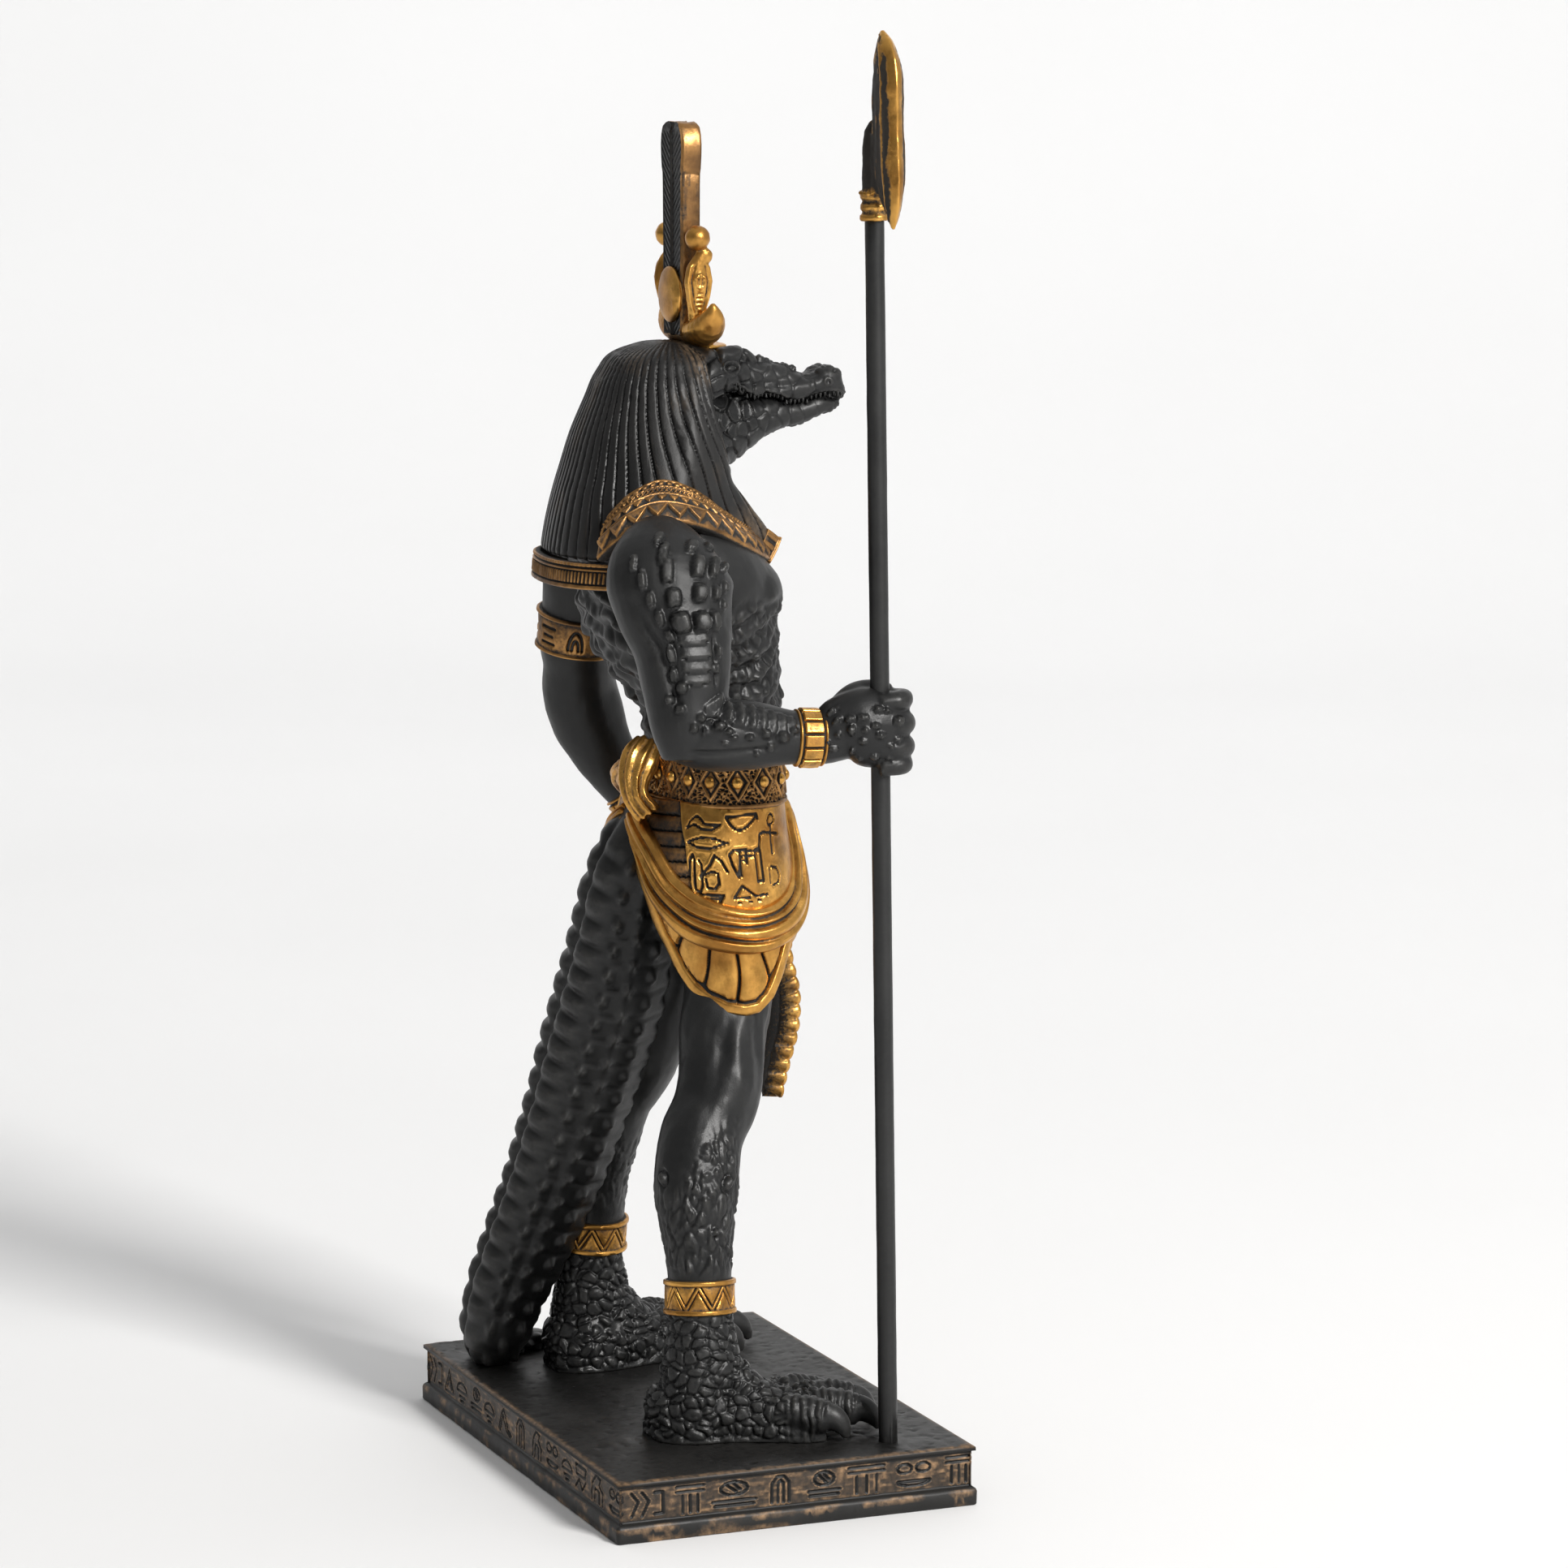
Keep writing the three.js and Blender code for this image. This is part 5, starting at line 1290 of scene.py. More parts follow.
def head():
    parts = [snout(UPPER_JAW), snout(LOWER_JAW)]
    parts.append(stacked([[4, 222, 13, 11], [3.4, 208, 14.4, 11.2], [5, 198, 15, 12]], 48))
    width = flow([[y, 0, 0, w] for y, _, _, w in UPPER_JAW], 0.2)
    for m in (RIGHT, LEFT):
        parts.append(tube(mirrored(m, BROW), 24, step=0.5))
        parts += [ball([m * x, y, z], size, 24)
                  for (x, y, z), size in ((EYE_BALL, EYE_SIZE), (NOSE, NOSE_SIZE))]
        parts.append(tube(mirrored(m, FOLD), 24, step=0.5))
        for y, z, r in JAW_KNOBS:
            w = np.interp(-y, -width[:, 0], width[:, 3])
            parts.append(ball([m * w * 0.52, y, z], [r, r, r], 14))
        for y, z, x, r in CROWN_KNOBS + CHEEK_KNOBS:
            parts.append(ball([m * x, y, z], [r, r, r], 14))
    skin = melted(parts, 0.27, 4)
    v = skin.v
    x, y, z = v.T
    mouth = read(MOUTH, -y)
    zigzag = 0.45 * (np.abs((y / 1.02) % 1 * 2 - 1) - 0.5)
    gape = hill(z - mouth - zigzag, 0.40, 0.3) * ramp(-y, 5.2, 9.5) * (np.abs(x) > 1.2)
    h = -0.85 * gape + 0.3 * hill(z - mouth - 0.85, 0.4) * ramp(-y, 6, 8)
    seeds = np.array(CHEEK_SEEDS)
    warp = np.stack([y + 0.25 * noise(v, 1.8, 3), z + 0.25 * noise(v, 1.8, 4)], 1)
    d = np.linalg.norm(warp[:, None] - seeds[None], axis=2)
    order = np.argsort(d, axis=1)[:, :2]
    first, second = np.take_along_axis(d, order, 1).T
    rift = (second - first) / 2
    flank = ramp(np.abs(x), 2.6, 4) * (1 - gape)
    eye_d = np.linalg.norm((v - EYE)[:, 1:] / [2.5, 1.9], axis=1)
    clear = ramp(eye_d, 0.9, 1.25)
    netted = np.isin(order[:, 0], NETTED)
    clear = clear * ramp(y, -31.2, -29.6)
    strong = 0.2 + 0.25 * ramp(y, -26, -22) + 0.55 * ramp(y, -17, -10)
    h += flank * clear * strong * (0.26 * ramp(rift, 0.05, 0.6) - 0.12 - 0.30 * hill(rift, 0.2))
    h += flank * clear * netted * (0.40 * hill(rift - 0.36, 0.26) - 0.12)
    f, g, _ = scales(v, (1.9, 2.1, 1.7), 9)
    h += (1 - flank) * (1 - gape) * (0.26 * ramp(g - f, 0.02, 0.34) - 0.12)
    h += (0.12 * noise(v, 1.7, 8) + 0.06 * noise(v, 0.8, 9)) * (0.3 + 0.7 * ramp(y, -30, -27))
    for side in (RIGHT, LEFT):
        on = (x * side > 4.5)
        lid = np.linalg.norm((v - EYE)[:, 1:] / [1.9, 1.15], axis=1)
        h += on * (0.5 * hill(lid - 1.05, 0.26) - 0.5 * hill(lid - 0.72, 0.2) + 0.3 * hill(lid, 0.6, 0.3))
        nose = np.linalg.norm((v - [side * 3.6, -31.2, 228.9]) / [1.6, 1.1, 0.65], axis=1)
        h -= 0.6 * hill(nose, 1, 0.3)
        ring = np.linalg.norm((v - [side * 4.6, -29.4, 226.8]) / [2.0, 0.8, 0.7], axis=1)
        h += 0.3 * hill(ring - 1, 0.5) - 0.3 * hill(ring, 0.6)
    skin.push(h)
    proud_mark(skin, 2, 8)
    piece("head", skin, [CHARCOAL])


def teeth():
    ring = np.linspace(0, 1, 6)
    r = (1 - ring) ** 0.6
    a = angles(8)
    cone = np.stack([r[:, None] * np.cos(a), r[:, None] * np.sin(a),
                     np.repeat(-2.2 * ring[:, None] + 0.5, 8, 1)], -1)
    cone[-1] = cone[-1] * 0.2 + [0, 0, -1.7 * 0.8]
    tooth = Skin(*capped(cone))
    tooth.mark("proud", np.full(len(tooth.v), 0.8))
    shape = pattern_piece("tooth_shape", tooth)
    jaw = flow([[y, 0, 0, w] for y, _, _, w in UPPER_JAW], 0.2)
    places, normals, ups, sizes = [], [], [], []
    for side in (RIGHT, LEFT):
        for n in range(TEETH_A_SIDE):
            y = FIRST_TOOTH_Y - n * TOOTH_PITCH
            z = read(MOUTH, -y)
            upper = n % 5 != 3
            w = np.interp(-y, -jaw[:, 0], jaw[:, 3])
            big = 0.42 if n % 4 == 1 else 0.34
            places.append([side * (w * 0.95 - 0.1), y, z + (0.35 if upper else -0.5)])
            normals.append([side * -0.1, 0, 1 if upper else -1])
            ups.append([0, 1, 0])
            sizes.append([big, big, big * 1.2])
    repeated("teeth", places, turns_to(normals, ups), sizes, shape, CHARCOAL, 0.15)


# Wig.

WIG = [
    [3.4, 235.8, 5.6, 6.2, 5], [3.3, 234.2, 10.4, 11, 8], [3.8, 229.8, 14.6, 14.9, 8],
    [4, 224.3, 16.9, 17.2, 6], [4.8, 217.5, 19.6, 19.2, 6], [6.4, 210, 22.8, 19.8, 6],
    [7.6, 206, 24.4, 19.8, 8], [9.6, 197.5, 25.4, 19.8, 8], [10.8, 192.6, 25, 19.4, 8],
]
LAPPET = [
    [13, 3.6, 230, 2, 2], [14.8, 3.6, 221, 3, 4.6], [16.4, 3.8, 213, 3.4, 6.8], [16.2, 2.6, 206, 3.4, 7.4],
    [13.8, -4.2, 199.2, 3, 6.0], [11.2, -9.8, 195.2, 2.7, 4.4], [10, -11.9, 193.6, 2.5, 3.8],
]

STRAND_EDGES = [
    -0.06, 0.0, 0.03, 0.09, 0.15, 0.22, 0.29, 0.36, 0.43, 0.5, 0.555, 0.61, 0.66, 0.71, 0.76, 0.81, 0.86,
    0.91, 0.955, 1.0,
]
FACE_EDGE = [(234, 8, 2.6), (225.9, 11, 1.6), (219.1, 12.4, -0.2), (210.2, 12.4, -4.2),
             (203.5, 11.2, -8.4), (197.9, 9.4, -12.4), (190, 8.2, -17)]


def wig():
    parts = [turned(stacked(WIG, 96, 2.3, 0.8))]
    for side in (RIGHT, LEFT):
        parts.append(tube(mirrored(side, LAPPET), 40, (0.9 * side, -0.4, 0.15), 2.8, 0.6))
    skin = melted(parts, 0.325, 34)
    v = skin.v
    x, y, z = v.T
    n = skin.normals()
    edge = flow([[b, c, a] for a, b, c in FACE_EDGE], 0.4)[::-1]
    back = flow([[0, c, a] for c, a, *_ in WIG], 0.4)[::-1]
    steps = np.linspace(188, 236, 97)
    angle = np.degrees(np.arctan2(np.interp(steps, edge[:, 2], edge[:, 0]),
                                  np.interp(steps, back[:, 2], back[:, 1])
                                  - np.interp(steps, edge[:, 2], edge[:, 1])))
    window = np.hanning(19)[1:-1]
    angle = np.convolve(np.pad(angle, 8, mode="edge"), window / window.sum(), "valid")
    centre = np.interp(z, back[:, 2], back[:, 1])
    theta = np.degrees(np.arctan2(np.abs(x), -(y - centre)))
    front = np.interp(z, steps, angle) - 4
    w = (theta - front) / (180 - front)
    edges = np.array(STRAND_EDGES)
    at = np.clip(np.searchsorted(edges, w, side="right") - 1, 0, len(edges) - 2)
    span = (edges[at + 1] - edges[at]) * np.radians(180 - front) * np.hypot(x, y - centre)
    across = (w - edges[at]) / (edges[at + 1] - edges[at])
    near = np.minimum(across, 1 - across) * span
    half = np.clip(0.13 * span, 0.16, 0.36)
    groove = 1 - ramp(near, half * 0.3, half)
    swell = np.sqrt(np.clip(1 - (2 * across - 1) ** 2, 0, 1))
    on = (w > -0.03) * np.where(z > 234.6, 0.6, 1.0)
    h = (-0.75 * groove * np.clip(span / 2.4, 0.25, 1) + 0.16 * swell * np.clip(span / 3, 0, 1)) * on
    h -= 2.4 * ramp(-w, 0.004, 0.035) * ramp(z, 199, 203) * fall(z, 231.5, 233)
    skin.push(h, n)
    rub = (hill(w - 0.1, 0.16, 0.2) * ramp(noise(v, 9, 8), -0.5, 0.4)
           + 0.45 * ramp(noise(v, 7, 11), 0.25, 0.9))
    # Painted highlight: lip lightens a band along the edge of each groove.
    lip = hill(near - half * 1.5, half * 0.7)
    # Painted shade: the grooves are marked low, so the finish darkens them; rub is the bronze rub on the
    # strands.
    skin.mark("proud", 0.5 - 0.55 * groove
              + (0.5 * rub + 0.10 * lip * ramp(noise(v, 5, 12), -0.2, 0.5)) * (1 - groove))
    piece("wig", skin, [HAIR])


HEM_LOW, HEM_TALL = 186.8, 5.6

# Middle and half width of the hem at two levels, and its half depth behind and in front.
HEM_Y, HEM_HALF_WIDE = [(187, 11.5), (192.4, 11)], [(187, 25.1), (192.4, 25.5)]
HEM_BEHIND, HEM_BEFORE = 20.3, 9.5


def wig_hem():
    nu, nv = 560, 44
    a = np.radians(np.linspace(-196, 16, nu))
    c, s = curve_round(a, 2.4)
    v = np.linspace(0, 1, nv)
    z = HEM_LOW + HEM_TALL * v
    cy = read(HEM_Y, z)
    wide = read(HEM_HALF_WIDE, z)
    c, s = -c, -s
    deep = np.where(s[:, None] > 0, HEM_BEHIND, HEM_BEFORE)
    g = np.stack([c[:, None] * wide, cy + s[:, None] * deep, np.repeat(z[None], nu, 0)], -1)
    length = length_along(g[:, 0])[:, None]
    g = turn_points(g)
    beads = 0.75 + 0.25 * hill((length / 1.15) % 1 - 0.5, 0.42, 0.4)
    h = (0.6 * (hill(v - 0.92, 0.09, 0.5)[None] * beads + hill(v - 0.74, 0.05, 0.4)[None]
                + hill(v - 0.10, 0.12, 0.5)[None]))
    ticks = hill((length / 0.98) % 1 - 0.5, 0.33, 0.5) * hill(v - 0.45, 0.22, 0.85)[None]
    h = h + 0.62 * ticks - 0.25
    h += 0.06 * grid_noise(g, 1.3, 3)
    h -= 0.5 * border(nu, nv, False, 2.5)
    skin = slab(g, h, 1.2, [0, 8, 190], reach=(4, 4), gain=1.5, base=0.3)
    piece("wig_hem", skin, [BRONZE])


PLATE_AT = (10.6, -12.6, 193.6)
PLATE_HALF_WIDE, PLATE_HALF_TALL, PLATE_BOW = 3.2, 2.2, 2.2


def lappet_ends():
    for side, name in ((RIGHT, "lappet_end_right"), (LEFT, "lappet_end_left")):
        n = 34
        u = np.linspace(-1, 1, n)
        a, b = np.meshgrid(u, u, indexing="ij")
        out = unit(np.array([0.93 * side, -0.30, 0.12]))
        across = unit(np.array([0, 0.60, -0.80]) - out * float(np.dot(out, [0, 0.60, -0.80])))
        down = unit(np.cross(out, across)) * side
        at = np.array([side * PLATE_AT[0], *PLATE_AT[1:]])
        g = (at + across * (a * PLATE_HALF_WIDE)[..., None] + down * (b * PLATE_HALF_TALL)[..., None]
             + out * (PLATE_BOW - 0.3 * a * a - 0.2 * b * b)[..., None])
        r = np.maximum(np.abs(a), np.abs(b))
        cell = np.abs((a + 1) * 1.5 % 1 - 0.5) * 2
        h = (0.55 * (hill(r - 0.88, 0.13, 0.4) + hill(b + 0.62, 0.12, 0.4))
             + (r < 0.76) * (0.5 * hill(cell, 0.75, 0.5) * (b > -0.5)) - 0.25)
        h -= 0.5 * border(n, n, False, 2)
        skin = slab(g, h, 3.8, at - out * 6, reach=(4, 4), gain=1.5, base=0.4)
        piece(name, skin, [BRONZE])


# Broad collar.

COLLAR = [
    [0, 0, -14, 193.4, 4.4, 60], [30, 11, -11.4, 194.4, 4.6, 50], [55, 20, -5.2, 198, 5, 44],
    [75, 25.6, 3, 202.8, 5.4, 42], [95, 28, 12, 205, 5.6, 42], [115, 28.6, 18.6, 202.4, 5.6, 46],
    [133, 24.6, 22.6, 197.6, 5.2, 56],
]


def collar():
    nu, nv = 860, 60
    deg = np.linspace(-COLLAR[-1][0], COLLAR[-1][0], nu)
    table = np.array([[-r[0], -r[1], *r[2:]] for r in COLLAR[:0:-1]] + COLLAR, float)
    fine = flow(np.insert(table, 1, 0, axis=1)[:, [0, 1, 1, 2, 3, 4, 5, 6]], 0.5, 1)
    x, y, level, half, slope = (np.interp(deg, fine[:, 0], fine[:, k]) for k in (3, 4, 5, 6, 7))
    a = np.radians(deg - 90)
    out = np.stack([np.cos(a), np.sin(a), np.zeros(nu)], 1)
    tilt = np.radians(slope)[:, None]
    down = out * np.cos(tilt) + np.array([0, 0, -1]) * np.sin(tilt)
    up = out * np.sin(tilt) + np.array([0, 0, 1]) * np.cos(tilt)
    middle = np.stack([x, y, level], 1)
    v = np.linspace(0, 1, nv)
    k = v * 2 - 1
    bow = 0.8 * (1 - k * k)
    g = (middle[:, None] + down[:, None] * (k[None] * half[:, None])[..., None]
         + up[:, None] * (1.0 + bow)[None, :, None])
    g = turn_points(g)
    mid = g[:, nv // 2]
    run = length_along(mid)[:, None]
    V = v[None] * np.ones((nu, 1))

    def cell(pitch):
        return (run / pitch) % 1 - 0.5

    h = np.zeros((nu, nv))
    for at in (0.03, 0.215, 0.40, 0.60):
        h += 0.55 * hill(V - at, 0.03, 0.4)
    h += 0.6 * hill(cell(2.1), 0.34, 0.7) * hill(V - 0.12, 0.06, 0.7)
    zig = np.abs(cell(2.2) * 2)
    h += (0.5 * hill(V - (0.245 + 0.125 * zig), 0.03, 0.4)
          + 0.42 * hill(V - (0.37 - 0.125 * zig), 0.028, 0.4))
    tooth = np.abs(cell(2.7) * 2)
    h += 0.5 * ramp(0.43 + 0.14 * tooth - V, 0, 0.03) * (V > 0.425)
    leaf = 0.70 + 0.25 * (1 - np.abs(cell(4.3) * 2)) ** 0.8
    h += (0.75 * ramp(leaf - V, 0, 0.06) * (0.72 + 0.28 * hill(V - leaf + 0.09, 0.05))) * (V > 0.63)
    h += 0.06 * grid_noise(g, 1.1, 6) - 0.2
    h -= 0.7 * border(nu, nv, False, 2)
    skin = slab(g, h, 2.4, [0, 6, 190], reach=(5, 4), gain=1.3, base=0.40)
    piece("broad_collar", skin, [BRONZE])


# Belt, kilt, sash and tab.

KILT = [
    [-3.8, 142.8, 24.2, 13], [-2.6, 134, 24.8, 15.5], [-3, 127, 25.2, 16.4], [-3.7, 119.6, 25.2, 16.2],
    [-4.9, 109.2, 25.2, 14.2], [-4.9, 101, 25.2, 12.7], [-5, 93, 24.8, 11],
]
HEM_LEVELS = [
    (0, 114), (40, 113.5), (56, 111.6), (66, 105), (74, 101.2), (86, 98.6), (100, 98), (116, 98.6),
    (130, 100.4), (141, 102.8), (150, 107), (156, 114), (160, 122), (170, 129), (180, 132),
]
BELT_LOW, BELT_TOP = 141.2, 150.6
BELT_Y, BELT_HALF_WIDE, BELT_HALF_DEEP = -4.2, (25, 24), (13.1, 12.6)
STUDS, STUD_LEVEL, STUD_SIZE = 22, 146.7, 1.2

# The oval whose normals the studs stand along.
STUD_OVAL = (24.5, 12.8)

KILT_TOP = 142


def on_kilt(degrees, level, proud=0.0):
    """Points of the kilt's face at angles from the front, counted toward his left."""
    k = flow([[z, 0, 0, y, a, b] for y, z, a, b in KILT], 0.5)[::-1]
    y, a, b = (np.interp(level, k[:, 0], k[:, i]) for i in (3, 4, 5))
    t = np.radians(degrees - 90)
    c, s = curve_round(t, 2.3)
    return np.stack([c * (a + proud), y + s * (b + proud), level * np.ones_like(c)], -1)


SASH = [
    [176, 137.4, 2.8], [158, 132, 3.4], [142, 123.4, 4.4], [128, 119, 5], [104, 116.4, 4.9],
    [80, 116.2, 4.7], [60, 118, 4.5], [42, 121.8, 4.3], [28, 129.6, 3.7], [15, 138, 3],
]

PANEL_EDGE = [(143, 142), (131, 134), (128, 127.4), (125, 121)]

SLAT_TALL = 3.05


def distance_to(x, y, line):
    """Distance of every point to a bent line."""
    best = np.full(x.shape, 99.0)
    for (ax, ay), (bx, by) in zip(line[:-1], line[1:]):
        ux, uy = bx - ax, by - ay
        t = np.clip(((x - ax) * ux + (y - ay) * uy) / max(ux * ux + uy * uy, 1e-9), 0, 1)
        best = np.minimum(best, np.hypot(x - ax - t * ux, y - ay - t * uy))
    return best


BOW = [(k / 8 * 2 - 1, math.sin(k / 8 * math.pi)) for k in range(9)]

# Cut signs of the side panel: degrees round, level, width, height and strokes.
PANEL_SIGNS = [
    (122, 138.4, 7.4, 2.6, [[(-1, -1), (-0.9, 0.2), (-0.6, 1), (-0.3, 0.6), (0, -0.1), (0.5, -0.3),
                             (1, -0.2)], [(-1, -1), (-0.6, -0.3), (-0.1, -0.9), (0.6, -1), (1, -0.2)]]),
    (95, 138.6, 7.4, 3.2, [[(-1, 0.7), (1, 1)], [(a, 0.7 - 1.7 * b) for a, b in BOW],
                           [(1, 1), (1.12, 0.3)]]),
    (68, 138.6, 1.9, 2.4, [loop(0, 0, 1, 1, n=9)]),
    (68, 134.6, 4.6, 6, [[(-1, 0.55), (1, 0.3)], [(0, 1), (0, -1)], [(0.14, 1), (0.14, -1)]]),
    (118, 134.4, 8.2, 2.3, [BOW, [(a, -b) for a, b in BOW], [(0.97, 0.05), (1.15, 0.05)]]),
    (88, 131.6, 8.4, 9.4, [[(1, 1), (0.7, 0.9), (0.66, 0.3), (0.3, 0.2), (-0.7, 0.3), (-0.95, 0.1),
                            (-0.8, -0.4), (-0.55, -0.9)], [(-0.55, -0.9), (-0.4, -0.1), (-0.3, 0.02),
            (0.4, -0.02)]]),
    (124, 128.4, 2.6, 8.2, [[(-1, -0.7), (-1, 0.6), (-0.6, 0.9), (-0.2, 0.6), (-0.2, -0.9), (0.5, -1),
                             (0.9, -0.7), (0.9, 0.4), (0.5, 0.6)]]),
    (113, 128.2, 5.6, 7.4, [[(-1, -0.2), (-0.2, 0.5), (0.1, 1), (0.6, 0.7), (1, 0.1)],
                            [(-1, -0.2), (-0.1, 0.1), (0.3, 0), (0.35, -0.6)],
                            [(-0.6, -0.3), (-0.5, -0.8), (0, -0.9), (0.3, -0.6)]]),
    (90, 130.2, 2.3, 5, [[(-1, -1), (-1, 1), (0.2, 1.1), (1, 0.9)], [(-1, 0.2), (0.2, 0.2)],
                         [(0.2, 0.9), (0.2, 0)]]),
    (80, 129.4, 1.2, 6.4, [[(-1, -1), (-1, 1), (1, 1), (1, -1), (-1, -1)]]),
    (72, 127, 0.8, 3, [[(0, -1), (0, 1)]]),
    (67, 127, 2, 4, [[(-1, 1), (0.4, 0.8), (1, 0), (0.4, -0.8), (-1, -1)]]),
    (88, 124.2, 7.2, 2.6, [[(-1, -0.9), (-0.5, 1), (0.3, -0.8), (1, -0.6)], [(-1, -0.9), (-0.1, -0.9)]]),
    (117, 122.6, 6, 2.4, [[(-1, 1), (1, 0.9), (0.8, 0.2), (0.6, -0.9)], [(-0.2, 0.3), (0.7, 0.2)]]),
    *[(deg, level, 0.5, 0.5, [[(-1, 0), (1, 0)]]) for deg, level in ((97, 122), (89, 122.1), (82, 122.3))],
]


def kilt():
    nu, nv = 640, 128
    deg = np.linspace(-180, 180, nu, endpoint=False)
    fold = np.abs(deg)
    hem = read(HEM_LEVELS, fold)
    v = np.linspace(0, 1, nv)
    level = KILT_TOP + (hem[:, None] - KILT_TOP) * v[None]
    D = np.repeat(deg[:, None], nv, 1)
    g = on_kilt(D, level)
    F = np.abs(D)
    round_deg = np.linspace(0, 180, 181)
    ring = on_kilt(round_deg, np.full(181, 126.0))
    length = length_along(ring)

    def run(degrees):
        return np.interp(degrees, round_deg, length)

    X = -run(F)
    sash_low = np.interp(F, [0, *[r[0] for r in SASH[::-1]]],
                         [141, *[r[1] - 0.8 * r[2] for r in SASH[::-1]]])
    below = ramp(sash_low + 2 - level, 0, 1)
    hem_line = [(-run(a), read(HEM_LEVELS, a)) for a in range(0, 181, 4)]
    to_hem = distance_to(X, level, hem_line)
    rim = 1 - ramp(to_hem, 2.4, 2.75)
    groove = hill(to_hem - 3.0, 0.34, 0.4)
    h = rim * (0.75 + 0.35 * np.sqrt(np.clip(1 - ((to_hem - 1.2) / 1.5) ** 2, 0, 1)))
    inner = below * ramp(to_hem, 2.6, 3.2)
    angle = np.degrees(np.arctan2(X + run(100), 128 - level))
    petal = (angle / 20.0 + 0.2 + 0.05 * np.sin(level * 0.4)) % 1 - 0.5
    seam = 1 - ramp(0.5 - np.abs(petal), 0.015, 0.06)
    h += inner * (0.75 * (1 - (petal * 2) ** 4) - 0.9 * seam) - 0.9 * groove
    edge_at = -run(read([(b, a) for a, b in PANEL_EDGE[::-1]], level))
    on_panel = ramp(X - edge_at, -0.1, 0.1) * (1 - below)
    slats = fall(X - edge_at, -0.35, -0.1) * (1 - below)
    step = ((142.6 - level + 0.06 * (X - edge_at)) / SLAT_TALL) % 1
    h += (slats * (0.75 * ramp(step, 0.04, 0.16) * (1 - 0.35 * ramp(step, 0.2, 1))
                   - 0.9 * fall(step, 0.02, 0.12) - 0.25))
    h += on_panel * 0.55 + 0.3 * on_panel * hill(X - edge_at - 0.45, 0.4, 0.3)
    signs = [stroke for around, up, wide, tall, strokes in PANEL_SIGNS
             for stroke in in_box(-run(around), up, wide, tall, strokes)]
    marks = segments_near(X, level, signs, 0.36)
    lip = segments_near(X, level, signs, 0.85)
    h += on_panel * (0.16 * lip - 0.85 * marks)
    wear = grid_noise(g, 1.6, 7)
    h += 0.05 * wear + 0.10 * grid_noise(g, 6, 8) + slats * 0.12 * wear
    h -= 0.9 * fall(nv - 1 - np.arange(nv), 0, 2.0)[None]
    skin = slab(g, h, 1.6, [0, -5, 118], wrap=True, reach=(5, 4), gain=1.1, base=0.62)
    dark = np.clip(1.15 * marks * on_panel + inner * seam + groove + 0.5 * slats, 0, 1)
    skin.brighten(-0.6 * dark - 0.12 * rim * ramp(wear, 0.1, 0.6))
    metal = np.zeros(len(skin.v))
    metal[:nu * nv] = slats.ravel()
    piece("kilt", skin, [GOLD, BRONZE], which=metal)


def sash():
    rows = [list(r) for r in SASH] + [[-a, *r] for a, *r in SASH[::-1]]
    rows = flow([[-a * 0.42, b, 0, a, b, c] for a, b, c in rows], 0.5)
    deg, level, half = rows[:, 3], rows[:, 4], rows[:, 5]
    half = half * (0.62 + 0.38 * ramp(np.abs(deg), 12, 40))
    mid = on_kilt(deg, level, 0.75)
    course = unit(np.gradient(mid, axis=0))
    out = unit(mid * [1, 1, 0] - [0, -6, 0])
    out = unit(out - course * np.einsum("ij,ij->i", out, course)[:, None])
    across = np.cross(out, course)
    sides = 120
    a = angles(sides)
    run = np.arange(len(rows)) * 0.5
    lip = np.cos(a)[None] * np.ones((len(rows), 1))
    share = (run / run[-1])[:, None]
    drift = 0.35 * np.sin(share * math.pi * 2 + 0.6) + 0.12 * np.sin(share * math.pi * 7)
    folds = np.zeros((len(rows), sides))
    cuts = np.zeros((len(rows), sides))
    for n, at in enumerate((-0.56, -0.04, 0.5)):
        centre = at + 0.22 * drift + 0.10 * np.sin(share * math.pi * (3 + n) + n * 1.9)
        deep = 0.55 + 0.45 * np.sin(share * math.pi * (4 + n) + n * 2.3)
        folds -= (0.55 + 0.6 * deep) * hill(lip - centre, 0.2)
        cuts += deep * hill(lip - centre, 0.07)
    folds += 0.05 * np.sin(lip * 19 + drift * 6)
    front = ramp(np.sin(a), -0.1, 0.4)[None]
    c, s = np.cos(a), np.sin(a)
    ring = (mid[:, None] + across[:, None] * (c[None] * half[:, None])[..., None]
            + out[:, None] * (s[None] * 2.2 + front * (folds * 1.25 + 0.2))[..., None])
    skin = Skin(*capped(ring))
    skin.relax(1)
    skin.mark("proud", np.concatenate([(0.80 + 0.35 * folds * front - 0.55 * cuts * front).ravel(),
                                       [0.4, 0.4]]))
    piece("sash", skin, [GOLD])


KNOT = [[-4, 10.4, 152.6, 2.6, 2.9], [-6, 13.2, 149.6, 3.5, 3.9], [-7, 14.8, 146.2, 3, 3.2],
        [-8, 15, 143, 2.5, 2.6], [-9.4, 12.6, 138.8, 2.7, 2.6]]
KNOT_END = [[9, 9.6, 143, 2.6, 3], [3, 13, 146, 2.6, 3.2], [-4, 13.6, 147.6, 2.6, 3]]


def knot():
    parts = []
    for rows, count in ((KNOT, 9), (KNOT_END, 8)):
        v, q, t = tube(rows, 72, step=0.4)
        ring = np.arange(len(v) - 2) % 72
        along = np.arange(len(v) - 2) // 72
        wave = np.abs(((ring / 72 * count + 0.012 * along) % 1) * 2 - 1) ** 0.7
        n = Skin(v, q, t).normals()
        v[:-2] += n[:-2] * ((wave - 0.6) * 1.0)[:, None]
        parts.append((v, q, t))
    skin = melted(parts, 0.30, 1)
    proud_mark(skin, 1, 6, 10, 1.5)
    skin.brighten(0.12)
    piece("knot", skin, [GOLD])


